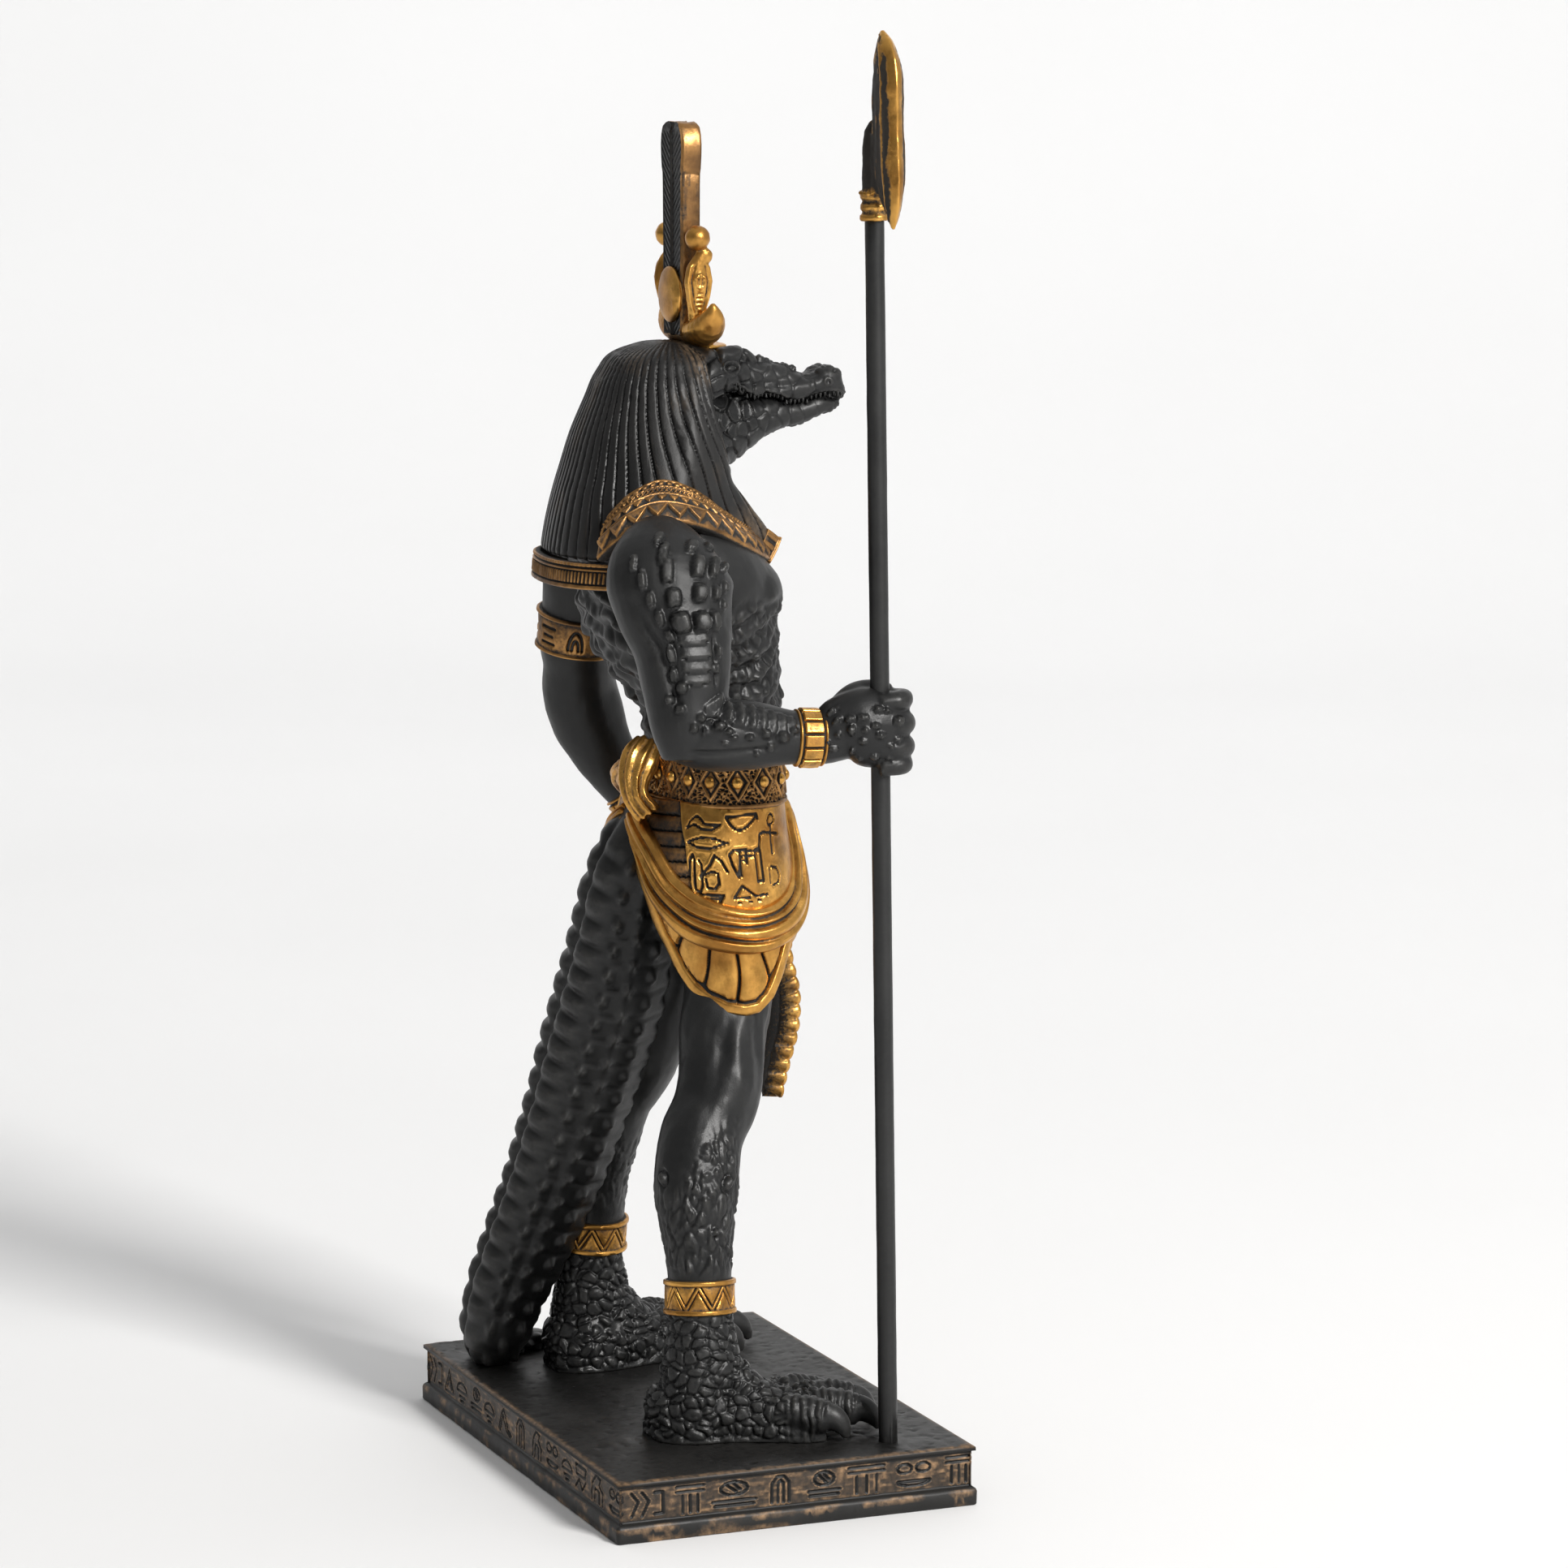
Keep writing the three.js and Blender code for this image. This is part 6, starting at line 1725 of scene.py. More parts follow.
def belt():
    nu, nv = 700, 54
    deg = np.linspace(0, 360, nu, endpoint=False)
    c, s = curve_round(np.radians(deg), 2.4)
    v = np.linspace(0, 1, nv)
    z = BELT_LOW + (BELT_TOP - BELT_LOW) * v
    wide = np.interp(v, [0, 1], BELT_HALF_WIDE)
    deep = np.interp(v, [0, 1], BELT_HALF_DEEP)
    g = np.stack([c[:, None] * wide, BELT_Y + s[:, None] * deep, np.repeat(z[None], nu, 0)], -1)
    run = length_along(g[:, nv // 2])
    flat = g.reshape(-1, 3)
    f, gg, _ = scales(flat + 0.25 * noise(flat, 0.8, 5)[:, None], (1.0, 1.0, 0.75), 21, 0.95)
    walls = fall(gg - f, 0.10, 0.34).reshape(nu, nv)
    h = 0.75 * walls - 0.45
    pitch = run[-1] * (1 + 1 / nu) / STUDS
    d = np.abs((run[:, None] / pitch) % 1 - 0.5) * pitch / 2.5 + np.abs(z[None] - STUD_LEVEL) / 3.9
    h = np.where(d < 1.08, 0.15 + 0.38 * hill(d - 0.93, 0.14, 0.5) - 0.4 * hill(d - 0.66, 0.14), h)
    lower = hill(v - 0.05, 0.075, 0.5)
    h = h * (1 - lower)[None] + 0.55 * lower[None]
    h = h + 0.3 * hill(v - 0.97, 0.05)[None]
    h -= 0.6 * border(nu, nv, True, 2.0)
    skin = slab(g, h, 1.4, [0, -5, 146], wrap=True, reach=(4, 4), gain=1.15, base=0.4)
    piece("belt", skin, [BRONZE])
    stud = Skin(*ball([0, 0, 0], [1, 1.1, 0.9], 16))
    stud.mark("proud", ramp(stud.v[:, 2], -0.2, 0.5) * 0.75)
    shape = pattern_piece("stud_shape", stud)
    places, normals = [], []
    for n in range(STUDS):
        i = int(round(np.interp((n + 0.5) * pitch, run, np.arange(nu)))) % nu
        j = int(nv * (STUD_LEVEL - BELT_LOW) / (BELT_TOP - BELT_LOW))
        at = g[i, j]
        out = unit(np.array([at[0] / STUD_OVAL[0]**2, (at[1] - BELT_Y) / STUD_OVAL[1]**2, 0]))
        places.append(at + out * 0.3)
        normals.append(out)
    repeated("belt_studs", places, turns_to(normals, [[0, 0, 1]] * len(places)),
             [[STUD_SIZE] * 3] * len(places), shape, GOLD, 0.03)


TAB = [
    [0, -16.8, 140.4, 5.2, 1.6], [0, -19.2, 130, 5.8, 2], [0, -19.6, 117, 6.2, 2.2],
    [0, -19.4, 107, 6.4, 2.2], [0, -21.2, 98, 6.4, 2.2], [0, -21, 91, 6.2, 2.2], [0, -19.4, 83, 5.2, 2],
    [0, -19.2, 75, 1.8, 1.2],
]


def front_tab():
    nu, nv = 330, 60
    rows = flow(TAB, 0.3)
    k = np.linspace(0, len(rows) - 1, nu)
    y, z, w, d = (np.interp(k, np.arange(len(rows)), rows[:, i]) for i in (1, 2, 3, 4))
    run = np.linspace(0, (len(rows) - 1) * 0.3, nu)
    v = np.linspace(-1, 1, nv)
    bead = np.abs(np.sin(run * math.pi / 3.0)) ** 0.6
    x = v[None] * (w - 0.35 + 0.75 * bead)[:, None]
    g = np.stack([x, np.repeat(y[:, None], nv, 1)
                  - (d * 0.75)[:, None] * (1 - 0.5 * np.abs(v[None]) ** 2.5),
                  np.repeat(z[:, None], nv, 1)], -1)
    edge = np.abs(x) - (w - 1.5)[:, None]
    h = 0.75 * ramp(edge, -0.2, 0.2) * (0.6 + 0.4 * bead[:, None]) - 0.15 - 0.3 * hill(edge + 0.45, 0.3)
    field = np.abs(x) < (w - 2.3)[:, None]
    cell = (run[:, None] / 4.2) % 1 - 0.5
    h += (field * (0.45 * hill(cell, 0.44, 0.75)
                   - 0.4 * hill(np.hypot(cell * 4.2 / 1.0, x / 1.6) - 0.75, 0.28)))
    h -= 0.7 * border(nu, nv, False, 2.2)
    skin = slab(g, h, 3.6, [0, 0, 110], reach=(4, 4), gain=1.0, base=0.35)
    skin.brighten(0.4 * ramp(edge, -0.3, 0.2))
    piece("front_tab", skin, [GOLD])


# Bands on arms and legs.


def band(name, rows, nu, nv, carve, mat, across=(1, 0, 0), thick=0.9, reach=(5, 5), gain=1.5, base=0.5):
    """A ring round a limb: stations of its two edges, and a carving rule of (run, across) in millimetres."""
    rows = np.array(rows, float)
    k = np.linspace(0, 1, nv)
    mid = rows[0, :3] + (rows[1, :3] - rows[0, :3]) * k[:, None]
    size = rows[0, 3:] + (rows[1, 3:] - rows[0, 3:]) * k[:, None]
    along = unit(rows[1, :3] - rows[0, :3])
    side = unit(np.array(across, float) - along * (along @ np.array(across, float)))
    other = np.cross(along, side)
    a = angles(nu)
    g = (mid[None] + side * (np.cos(a)[:, None] * size[None, :, 0])[..., None]
         + other * (np.sin(a)[:, None] * size[None, :, 1])[..., None])
    tall = np.linalg.norm(rows[1, :3] - rows[0, :3])
    run = a * size[:, :].mean()
    h = carve(np.repeat(run[:, None], nv, 1), np.repeat((k * tall)[None], nu, 0), tall,
              2 * math.pi * size.mean())
    h = h + 0.06 * grid_noise(g, 1.2, 12)
    h -= 0.6 * border(nu, nv, True, 2.2)
    skin = slab(g, h, thick, mid.mean(0), wrap=True, reach=reach, gain=gain, base=base)
    piece(name, skin, [mat])


def rims(t, tall, wide=0.55, proud=0.5):
    """Raised rims along both edges of a band."""
    return proud * (hill(t - wide * 0.8, wide, 0.5) + hill(t - tall + wide * 0.8, wide, 0.5))


def anklet_carving(run, t, tall, girth):
    n = round(girth / 5.4)
    ph = (run * n / girth) % 1
    span = girth / n
    x = np.minimum(ph, 1 - ph) * 2
    low, high = 1.25, tall - 1.25
    level = low + x * (high - low)
    slope = math.hypot(1, (high - low) / (span / 2))
    off = (t - level) / slope
    inside = hill(t - tall / 2, (high - low) / 2 + 0.1, 0.9)
    lines = hill(off - 0.42, 0.24) + hill(off + 0.42, 0.24)
    return 0.85 * rims(t, tall, 0.75, 0.6) + inside * (0.2 - 0.6 * np.clip(lines, 0, 1))


def plate_carving(run, t, tall, girth):
    n = round(girth / 2.75)
    ph = ((run * n / girth) % 1 - 0.5) * girth / n
    cell = hill(ph, girth / n / 2 - 0.12, 0.8) * hill(t - tall / 2, tall / 2 - 0.95, 0.85)
    return rims(t, tall, 0.42, 0.5) + 0.8 * cell - 0.45


BAND_SIGNS = [
    [[(-0.4, -1), (-0.4, 1)], [(0.4, -1), (0.4, 1)]],
    [loop(0, 0.3, 1, 0.9, 180, 360, 12), [(-1, 0.3), (1, 0.3)]],
    [[(-1, 0.6), (1, 0.6)], [(-0.7, -0.1), (0.7, -0.1)], [(-1, -0.72), (1, -0.72)]],
    [loop(0, -0.8, 0.84, 1.5, 0, 180, 12), loop(0, -0.8, 0.4, 0.8, 0, 180, 10)],
    [loop(0, 0, 1, 0.44, n=16), loop(0, 0, 0.26, 0.26, n=10)],
    [[(-1, -0.8), (0, 0.7), (1, -0.8), (-1, -0.8)]],
    [[(k / 3 - 1, (0.24 if k % 2 else -0.24) + o) for k in range(7)] for o in (-0.32, 0.32)],
    [[(-1, 0.8), (-0.2, 0.8), (-0.2, -0.6), (1, -0.8)], loop(0.5, 0.3, 0.28, 0.28, n=8)],
]


def armband_carving(run, t, tall, girth):
    n = round(girth / 6.4)
    lines = []
    for k in range(n):
        lines += in_box((k + 0.5) * girth / n, tall / 2, 3.6, tall - 3.4, BAND_SIGNS[k % len(BAND_SIGNS)])
    return rims(t, tall, 0.5, 0.45) + 0.2 - 0.55 * segments_near(run, t, lines, 0.42)


ANKLET_LOW, ANKLET_TALL = 38.2, 7.2


def bands():
    for side, name in ((RIGHT, "anklet_right"), (LEFT, "anklet_left")):
        band(name, [[side * 32.2, 10.2, ANKLET_LOW, 6.9, 7.1],
                    [side * 31.3, 9.95, ANKLET_LOW + ANKLET_TALL, 6.8, 7.0]], 460, 56, anklet_carving, GOLD)
    band("armband", [[39.5, 10.4, 167.6, 8.2, 8.4], [37.5, 10, 176, 8.7, 8.9]], 460, 50, armband_carving,
         BRONZE)
    band("wristband_right", [[-48.75, -10.2, 158.9, 5.2, 5.7], [-48, -4.2, 159.1, 5.4, 5.8]], 420, 50,
         plate_carving, GOLD)
    band("wristband_left", [[38, -4.9, 132.2, 5.4, 5.7], [39.4, -1.6, 137.1, 6.1, 6.3]], 400, 46,
         plate_carving, GOLD)


# Crown.

CROWN_Y, CROWN_Z = -1.1, 234.1


def crown_at(rows):
    """Stations of the crown, moved to where it stands."""
    return [[x, y, z + CROWN_Z, *r] for x, y, z, *r in rows]


# Radius and level of the disc that lies on the wig.
DISC = [(0.5, 0), (6.6, 0), (7.1, 0.25), (7.1, 0.65), (6.6, 0.95), (3, 1.05), (0.5, 1.05)]
SUN_RADIUS, SUN_Y, SUN_HALF_DEEP, SUN_UP = 5.9, 3.7, 1.5, 11.3

# Stations of a horn, and of a serpent.
HORN = [
    [0, -0.8, 4.2, 3.2, 3.9], [4.4, -0.9, 4.1, 3.3, 4], [8.2, -0.9, 4.7, 3.2, 3.8], [11, -0.9, 6.3, 2.4, 3],
    [12.6, -0.7, 8.2, 1.4, 1.9], [13.2, -0.6, 9.6, 0.6, 0.8], [13.3, -0.6, 10.2, 0.2, 0.25],
]
SERPENT = [
    [6.6, 0.9, 5.6, 1.4, 1.4], [7.6, 0.9, 8, 1.5, 1.9], [8.3, 0.9, 11, 1.4, 2.5],
    [8.6, 0.9, 14.4, 1.3, 3.0], [8.6, 0.8, 17, 1.3, 2.5], [8.6, 0.2, 18.8, 1.3, 1.8],
    [8.6, -0.8, 20, 1.3, 1.7], [8.5, -1.4, 20.6, 1, 1.2],
]


def crown():
    parts = []
    disc = []
    a = angles(96)
    for r, z in DISC:
        disc.append(np.stack([r * np.cos(a), CROWN_Y + r * np.sin(a), np.full(96, CROWN_Z + 0.08 + z)], 1))
    parts.append(capped(np.stack(disc)))
    for side in (RIGHT, LEFT):
        parts.append(tube(mirrored(side, crown_at(HORN)), 48, (0, 0, 1), step=0.4))
    t = np.linspace(-1, 1, 33)
    r = SUN_RADIUS * np.sqrt(1 - (t * 0.999) ** 2)
    sun = np.stack([r[:, None] * np.cos(a), np.repeat(SUN_Y + SUN_HALF_DEEP * t[:, None], 96, 1),
                    CROWN_Z + SUN_UP + r[:, None] * np.sin(a)], -1)
    parts.append(capped(sun))
    skin = melted(parts, 0.3, 3)
    v = skin.v
    ridge = np.abs(((np.abs(v[:, 0]) / 1.3) % 1) * 2 - 1) ** 2
    on_horn = ramp(np.abs(v[:, 0]), 2.5, 4) * (v[:, 2] < CROWN_Z + 10) * (v[:, 2] > CROWN_Z + 1.2)
    skin.push(0.1 * ridge * on_horn + 0.06 * noise(v, 1.6, 3))
    proud_mark(skin, 2, 5)
    skin.brighten(0.16)
    piece("crown_disc_and_horns", skin, [GOLD], ["crown"])


SERPENT_Y, HOOD_MIDDLE = 0.9, 14.4
SERPENT_DISC, SERPENT_DISC_RADIUS = (8.5, 1, 23.2), 2.6


def serpents():
    parts = []
    x, y, up = SERPENT_DISC
    for side in (RIGHT, LEFT):
        parts.append(tube(mirrored(side, crown_at(SERPENT)), 40, step=0.3))
        parts.append(ball([side * x, y, CROWN_Z + up], [SERPENT_DISC_RADIUS] * 3, 32))
    skin = melted(parts, 0.22, 2)
    v = skin.v
    z = v[:, 2] - CROWN_Z
    y = v[:, 1] - SERPENT_Y
    half = np.interp(z, [r[2] for r in SERPENT], [r[4] for r in SERPENT])
    hood = ramp(z, 7, 9) * fall(z, 17.2, 18.2) * ramp(np.abs(v[:, 0]), 8.6, 9.2)
    inner = half - np.abs(y)
    ribs = hill(((z / 0.95) % 1) - 0.5, 0.3) * (np.abs(y) < 0.75) * (z < 12)
    crest = np.hypot(y / 1.2, (z - HOOD_MIDDLE) / 1.7)
    h = hood * (0.35 * hill(inner - 0.45, 0.4) - 0.35 * hill(inner - 1.15, 0.35) - 0.25 * ribs
                + 0.4 * hill(crest - 0.8, 0.3) + 0.35 * hill(y, 0.3) * hill(z - HOOD_MIDDLE, 1.6, 0.5)
                + 0.35 * hill(z - 15.2, 0.3) * (np.abs(y) < 1.2))
    h += 0.05 * noise(v, 0.8, 3)
    for eye in (-1, 1):
        d = np.linalg.norm((np.stack([np.abs(v[:, 0]) - 8.6 - eye * 1.1, v[:, 1] + 0.9, z - 20.4], 1))
                           / [0.5, 0.5, 0.4], axis=1)
        h += 0.25 * hill(d, 1)
    skin.push(h)
    proud_mark(skin, 2, 7)
    skin.brighten(0.12)
    piece("serpents", skin, [GOLD], ["crown"])


# Half width of the plumes by height above the crown's foot, and the rest of their sizes.
PLUME_HALF = [
    (3, 5.1), (20, 5.35), (34, 5.6), (37, 5.8), (40, 6.3), (42, 6.4), (44, 6.0), (45.4, 5.2), (46.3, 4.0),
    (46.6, 2.6),
]
PLUME_LOW, PLUME_NECK, PLUME_TOP = 3, 44, 46.6
PLUME_Y, PLUME_HALF_DEEP, BARB_PITCH = 1.25, 2.2, 1.55


def plumes():
    """Two tall plumes behind the sun disc."""
    z = np.concatenate([np.linspace(PLUME_LOW, PLUME_NECK, 170), np.linspace(44.15, PLUME_TOP, 22)])
    half = read(PLUME_HALF, z)
    deep = PLUME_HALF_DEEP + 0.14 * ramp(z, 36.0, 37.4) - 0.35 * ramp(z, 45.5, PLUME_TOP)
    xs, ys = np.linspace(-1, 1, 61), np.linspace(-1, 1, 15)
    ring = ([(x, 1) for x in xs[:-1]] + [(1, -y) for y in ys[:-1]] + [(-x, -1) for x in xs[:-1]]
            + [(-1, y) for y in ys[:-1]])
    ring = np.array(ring, float)
    n = len(ring)
    soft = 0.10 * np.abs(ring[:, 0]) ** 12 * np.abs(ring[:, 1]) ** 12
    X = half[:, None] * ring[None, :, 0] * (1 - soft)
    Y = PLUME_Y + deep[:, None] * ring[None, :, 1] * (1 - 0.5 * soft)
    notch = 1.3 * np.exp(-((ring[None, :, 0] * 3.2) ** 2)) * ramp(z, 43, PLUME_TOP)[:, None]
    Z = CROWN_Z + z[:, None] - notch
    g = np.stack([X, Y, Z], -1)
    zz = np.repeat(z[:, None], n, 1)
    wall = (np.abs(ring[:, 0]) > 0.999)[None] * np.ones_like(zz)
    rear = (ring[:, 1] > 0.999)[None] * np.ones_like(zz) * (1 - wall)
    x = np.abs(X)
    edge = half[:, None] - x
    barbs = ((zz - 0.9 * x) / BARB_PITCH) % 1
    field = ramp(edge, 0.75, 1.15) * ramp(x, 0.6, 0.85) * fall(zz, 44, 45) * (1 - wall)
    cuts = hill(barbs - 0.5, 0.22) * field
    stem = hill(x - 0.5, 0.2) * (1 - wall)
    lip = fall(edge, 0.5, 0.9) * (1 - wall)
    flat = g.reshape(-1, 3)
    streak = noise(flat * [1, 1, 0.22], 0.8, 5).reshape(zz.shape)
    cloudy = noise(flat, 3.4, 6).reshape(zz.shape)
    h = (-0.14 - 0.36 * cuts + 0.28 * stem + 0.18 * lip + wall * (0.14 + 0.08 * streak)
         - 0.2 * wall * hill(zz - 36.1, 0.4))
    skin = Skin(*capped(g))
    push = np.concatenate([h.ravel(), [0, 0]])
    skin.v = skin.v + skin.normals() * push[:, None]
    # Painted highlight: top lifts the side wall's tone above the groove at 36, on the lobe.
    top = ramp(zz, 36, 37)
    ridge = hill(barbs - 0.5 + np.where(barbs < 0.5, 0.5, -0.5), 0.2) * field
    tone = (0.5 - 0.6 * cuts + 0.4 * ridge + 0.3 * stem + 0.4 * lip
            + wall * (0.24 * top - 0.08 + 0.40 * ramp(streak, -0.2, 0.6) + 0.25 * cloudy))
    tone += (1 - wall) * (1 - rear) * (0.14 + 0.2 * stem + 0.2 * ramp(cloudy, 0, 0.6) * field)
    skin.mark("proud", np.concatenate([tone.ravel(), [0.4, 0.4]]))
    metal = np.concatenate([(1 - rear).ravel(), [1, 1]])
    piece("plumes", skin, [HAIR, BRONZE], ["crown"], which=metal)


# Staff.

STAFF_LEAN = math.radians(0.85)
STAFF_AT = np.array([-51.3, -21.6, 161.0])
ROD_RADIUS, ROD_LOW, ROD_TOP = 1.95, 9.9, 266.5


def on_staff(level):
    """The middle of the leaning staff at a level."""
    course = np.array([0, math.sin(STAFF_LEAN), math.cos(STAFF_LEAN)])
    return STAFF_AT + course * (level - STAFF_AT[2]) / course[2]


def staff_rod():
    rows = np.array([[*on_staff(z), ROD_RADIUS, ROD_RADIUS] for z in np.linspace(ROD_LOW, ROD_TOP, 330)])
    skin = Skin(*tube(rows, 40, smooth=False))
    skin.v = skin.v + skin.normals() * (0.035 * noise(skin.v * [1, 1, 0.25], 1.2, 3))[:, None]
    proud_mark(skin, 1, 3)
    piece("staff_rod", skin, [ROD], ["staff_shaft"], 0)


BLADE_EDGE = [[9.6, 261], [11.8, 264.6], [12.7, 270], [12.4, 277], [12.1, 284], [12.2, 290], [11.2, 294.6],
              [8.4, 298.4], [5.2, 300.2]]
BLADE_HEEL = [[8.8, 261.6], [5, 266.6], [3.2, 272], [2.4, 279], [2.4, 284], [2.6, 288], [2.8, 292],
              [3, 296], [4.2, 299.8]]
BLADE_SWELL = [0.15, 0.6, 0.95, 1, 1, 1, 0.9, 0.6, 0.15]
BLADE_HALF_DEEP = 2.5

# Level and radius of the rings and the cap below the blade.
STAFF_RINGS = [
    (262.5, 2.6), (262.7, 2.85), (263.6, 2.85), (263.9, 2.35), (264.5, 2.35), (264.8, 2.85), (265.7, 2.85),
    (266.0, 2.35), (266.6, 2.35), (266.9, 2.85), (268.2, 2.85), (268.5, 2.4), (272, 2.35), (277, 2.3),
    (280.4, 1.8), (282, 0.8), (282.3, 0.3),
]


def staff_head():
    rows = flow([[a, b, 0, c, d, s] for (a, b), (c, d), s in zip(BLADE_EDGE, BLADE_HEEL, BLADE_SWELL)],
                0.35)
    section = [(0, 0.08), (0.10, 0.55), (0.26, 0.95), (0.36, 1.0), (0.44, 0.82), (0.7, 0.74), (0.95, 0.6),
               (1.0, 0.35)]
    section = section + [(a, -b) for a, b in section[::-1]]
    rings = []
    for e0, e1, _, h0, h1, s in rows:
        edge = on_staff(e1) + [-e0, 0, 0]
        heel = on_staff(h1) + [-h0, 0, 0]
        rings.append([edge + (heel - edge) * a + np.array([0, b * BLADE_HALF_DEEP * s, 0])
                      for a, b in section])
    parts = [capped(np.array(rings))]
    rows = [[*on_staff(z), r, r] for z, r in STAFF_RINGS]
    parts.append(tube(rows, 40, smooth=False))
    parts.append(tube([[*(on_staff(z) + [-2.6, 0, 0]), 2.6, 1.6] for z in (268, 272, 276, 280)], 32))
    skin = melted(parts, 0.24, 1)
    v = skin.v
    z = v[:, 2]
    out = -(v[:, 0] - STAFF_AT[0])
    at = read([(b, a) for a, b in BLADE_EDGE], z)
    on_blade = ramp(out, 3.2, 4.5)
    turn = np.degrees(np.arctan2(v[:, 1] - on_staff(265)[1], v[:, 0] - STAFF_AT[0]))
    beads = hill((turn / 20) % 1 - 0.5, 0.34) * hill(z - 268, 0.55) * (1 - on_blade)
    body = noise(v * [1, 1, 0.45], 1.3, 4)
    h = (0.14 * body + 0.05 * noise(v, 0.7, 5) - 0.34 * hill(at - out - 3.9, 0.45) * on_blade * (z < 296)
         + 0.4 * beads)
    h += 0.18 * hill(at - out - 2.7, 0.5) * on_blade
    skin.push(h)
    rim = np.clip(1 - ramp(at - out, 0.5, 1.5) + 0.75 * hill(at - out - 2.8, 0.5), 0, 1)
    proud_mark(skin, 2, 6)
    fine = skin.marks["proud"] - 0.5
    gold = ramp(z, 262, 262.5) * fall(z, 268.8, 269.2) * (1 - on_blade)
    wear = ramp(body, 0.3, 0.9)
    tip = ramp(z, 289, 297)
    tone = (0.13 + 0.55 * fine + 0.62 * rim * on_blade + 0.30 * gold + 0.26 * wear
            + 0.36 * tip * ramp(body, -0.4, 0.4))
    skin.marks["proud"] = np.clip(tone, 0, 1)
    piece("staff_head_blade", skin, [GOLD], ["staff_head"], 0)


# Plinth.

PLINTH_W, PLINTH_D, PLINTH_T = 122.6, 78.2, 12.6
SIGN_TALL, SIGN_LEVEL = 5.5, 7.6

# Plain signs, none of them a letter.
SIGNS = [
    [loop(0, 0, 0.95, 0.36), loop(0, 0, 0.26, 0.26), [(-0.95, 0), (-1.15, 0.25)],
     [(0.5, -0.3), (0.9, -0.9)]],
    [loop(0, 0.45, 0.62, 0.5), [(-0.3, 0.7), (0.1, 0.2)], [(0, 0.75), (0.3, 0.35)],
     [(-1, -0.45), (1, -0.45)], [(-0.9, -0.8), (0.9, -0.8)]],
    [[(-1, -0.8), (-0.5, 0.6), (-0.2, 0.9), (0.1, 0.6), (0.5, -0.5), (1, -0.8)],
     [(-0.8, -0.9), (-0.3, 0.45), (0.3, -0.7), (0.8, -0.95)]],
    [[(-0.5, -1), (-0.5, 0.5), (-0.2, 1), (0.2, 1), (0.5, 0.5), (0.5, -1)],
     [(-0.16, -1), (-0.16, 0.5), (0, 0.7), (0.16, 0.5), (0.16, -1)]],
    [[(-0.6, 1), (-0.6, -1)], [(-0.2, 1), (-0.2, -1)], [(0.3, 1), (0.3, 0.2), (0.7, 0), (0.7, -1)]],
    [[(-1, 0.6), (-0.4, 0.9), (0.2, 0.5), (0.6, 0.9), (1, 0.7)],
     [(-0.9, 0.6), (-0.6, -0.9), (-0.3, -0.9), (-0.1, 0.4)], [(0.3, 0.4), (0.5, -0.9), (0.8, -0.9)]],
    [[(-1, 0.8), (1, 0.8), (0.8, 0.1), (-0.8, 0.1), (-1, 0.8)],
     [(-1, -0.9), (-0.3, -0.2), (0.3, -0.9), (1, -0.2)]],
    [loop(-0.1, 0.55, 0.42, 0.36), [(-0.1, 0.2), (-0.1, -1)], [(-0.8, 0), (0.6, 0)],
     [(0.1, 0.2), (0.1, -1)]],
    [loop(0, -0.2, 0.85, 0.7, 0, 180), [(-0.85, -0.2), (0.85, -0.2)], [(-0.5, -0.6), (0.5, -0.6)],
     [(-0.3, -0.95), (0.3, -0.95)]],
    [[(-0.8, -1), (-0.7, 0.3), (-0.2, 1), (0.4, 0.9), (0.2, 0.4), (0.7, -0.1), (0.6, -1)],
     [(-0.4, -1), (-0.3, 0), (0.2, -0.1), (0.2, -1)]],
    [[(-0.9, 1), (0.9, 1)], [(-0.9, 0.6), (0.9, 0.6)], [(-0.5, 0.3), (-0.5, -1)], [(0, 0.3), (0, -1)],
     [(0.5, 0.3), (0.5, -1)]],
    [[(-1, -0.9), (0, 0.9), (1, -0.9), (-1, -0.9)], [(-0.5, -0.6), (0, 0.3), (0.5, -0.6)]],
    [loop(-0.45, 0.5, 0.35, 0.35), loop(0.45, 0.5, 0.35, 0.35), loop(0, -0.5, 0.8, 0.35, 180, 360),
     [(-0.8, -0.5), (0.8, -0.5)]],
    [[(-0.9, 0.9), (-0.5, 0.2), (-0.9, -0.9)], [(-0.3, 0.9), (0.1, 0.2), (-0.3, -0.9)],
     [(0.4, 0.8), (0.9, 0.8), (0.9, -0.8), (0.4, -0.8)]],
]


def rectangle(w, d, radius, spacing):
    """Points round a rectangle with small round corners, starting at the middle of its front edge."""
    pts = []
    corner = [(w / 2, -d / 2, -90), (w / 2, d / 2, 0), (-w / 2, d / 2, 90), (-w / 2, -d / 2, 180)]
    for i, (cx, cy, start) in enumerate(corner):
        sx, sy = np.sign(cx), np.sign(cy)
        ox, oy = cx - sx * radius, cy - sy * radius
        for a in np.radians(np.linspace(start, start + 90, 5)):
            pts.append((ox + radius * math.cos(a), oy + radius * math.sin(a)))
        nx, ny, nstart = corner[(i + 1) % 4]
        bx = nx - np.sign(nx) * radius + radius * math.cos(math.radians(nstart))
        by = ny - np.sign(ny) * radius + radius * math.sin(math.radians(nstart))
        ax, ay = pts[-1]
        n = int(round(math.hypot(bx - ax, by - ay) / spacing))
        for k in range(1, n):
            pts.append((ax + (bx - ax) * k / n, ay + (by - ay) * k / n))
    return np.array(pts)


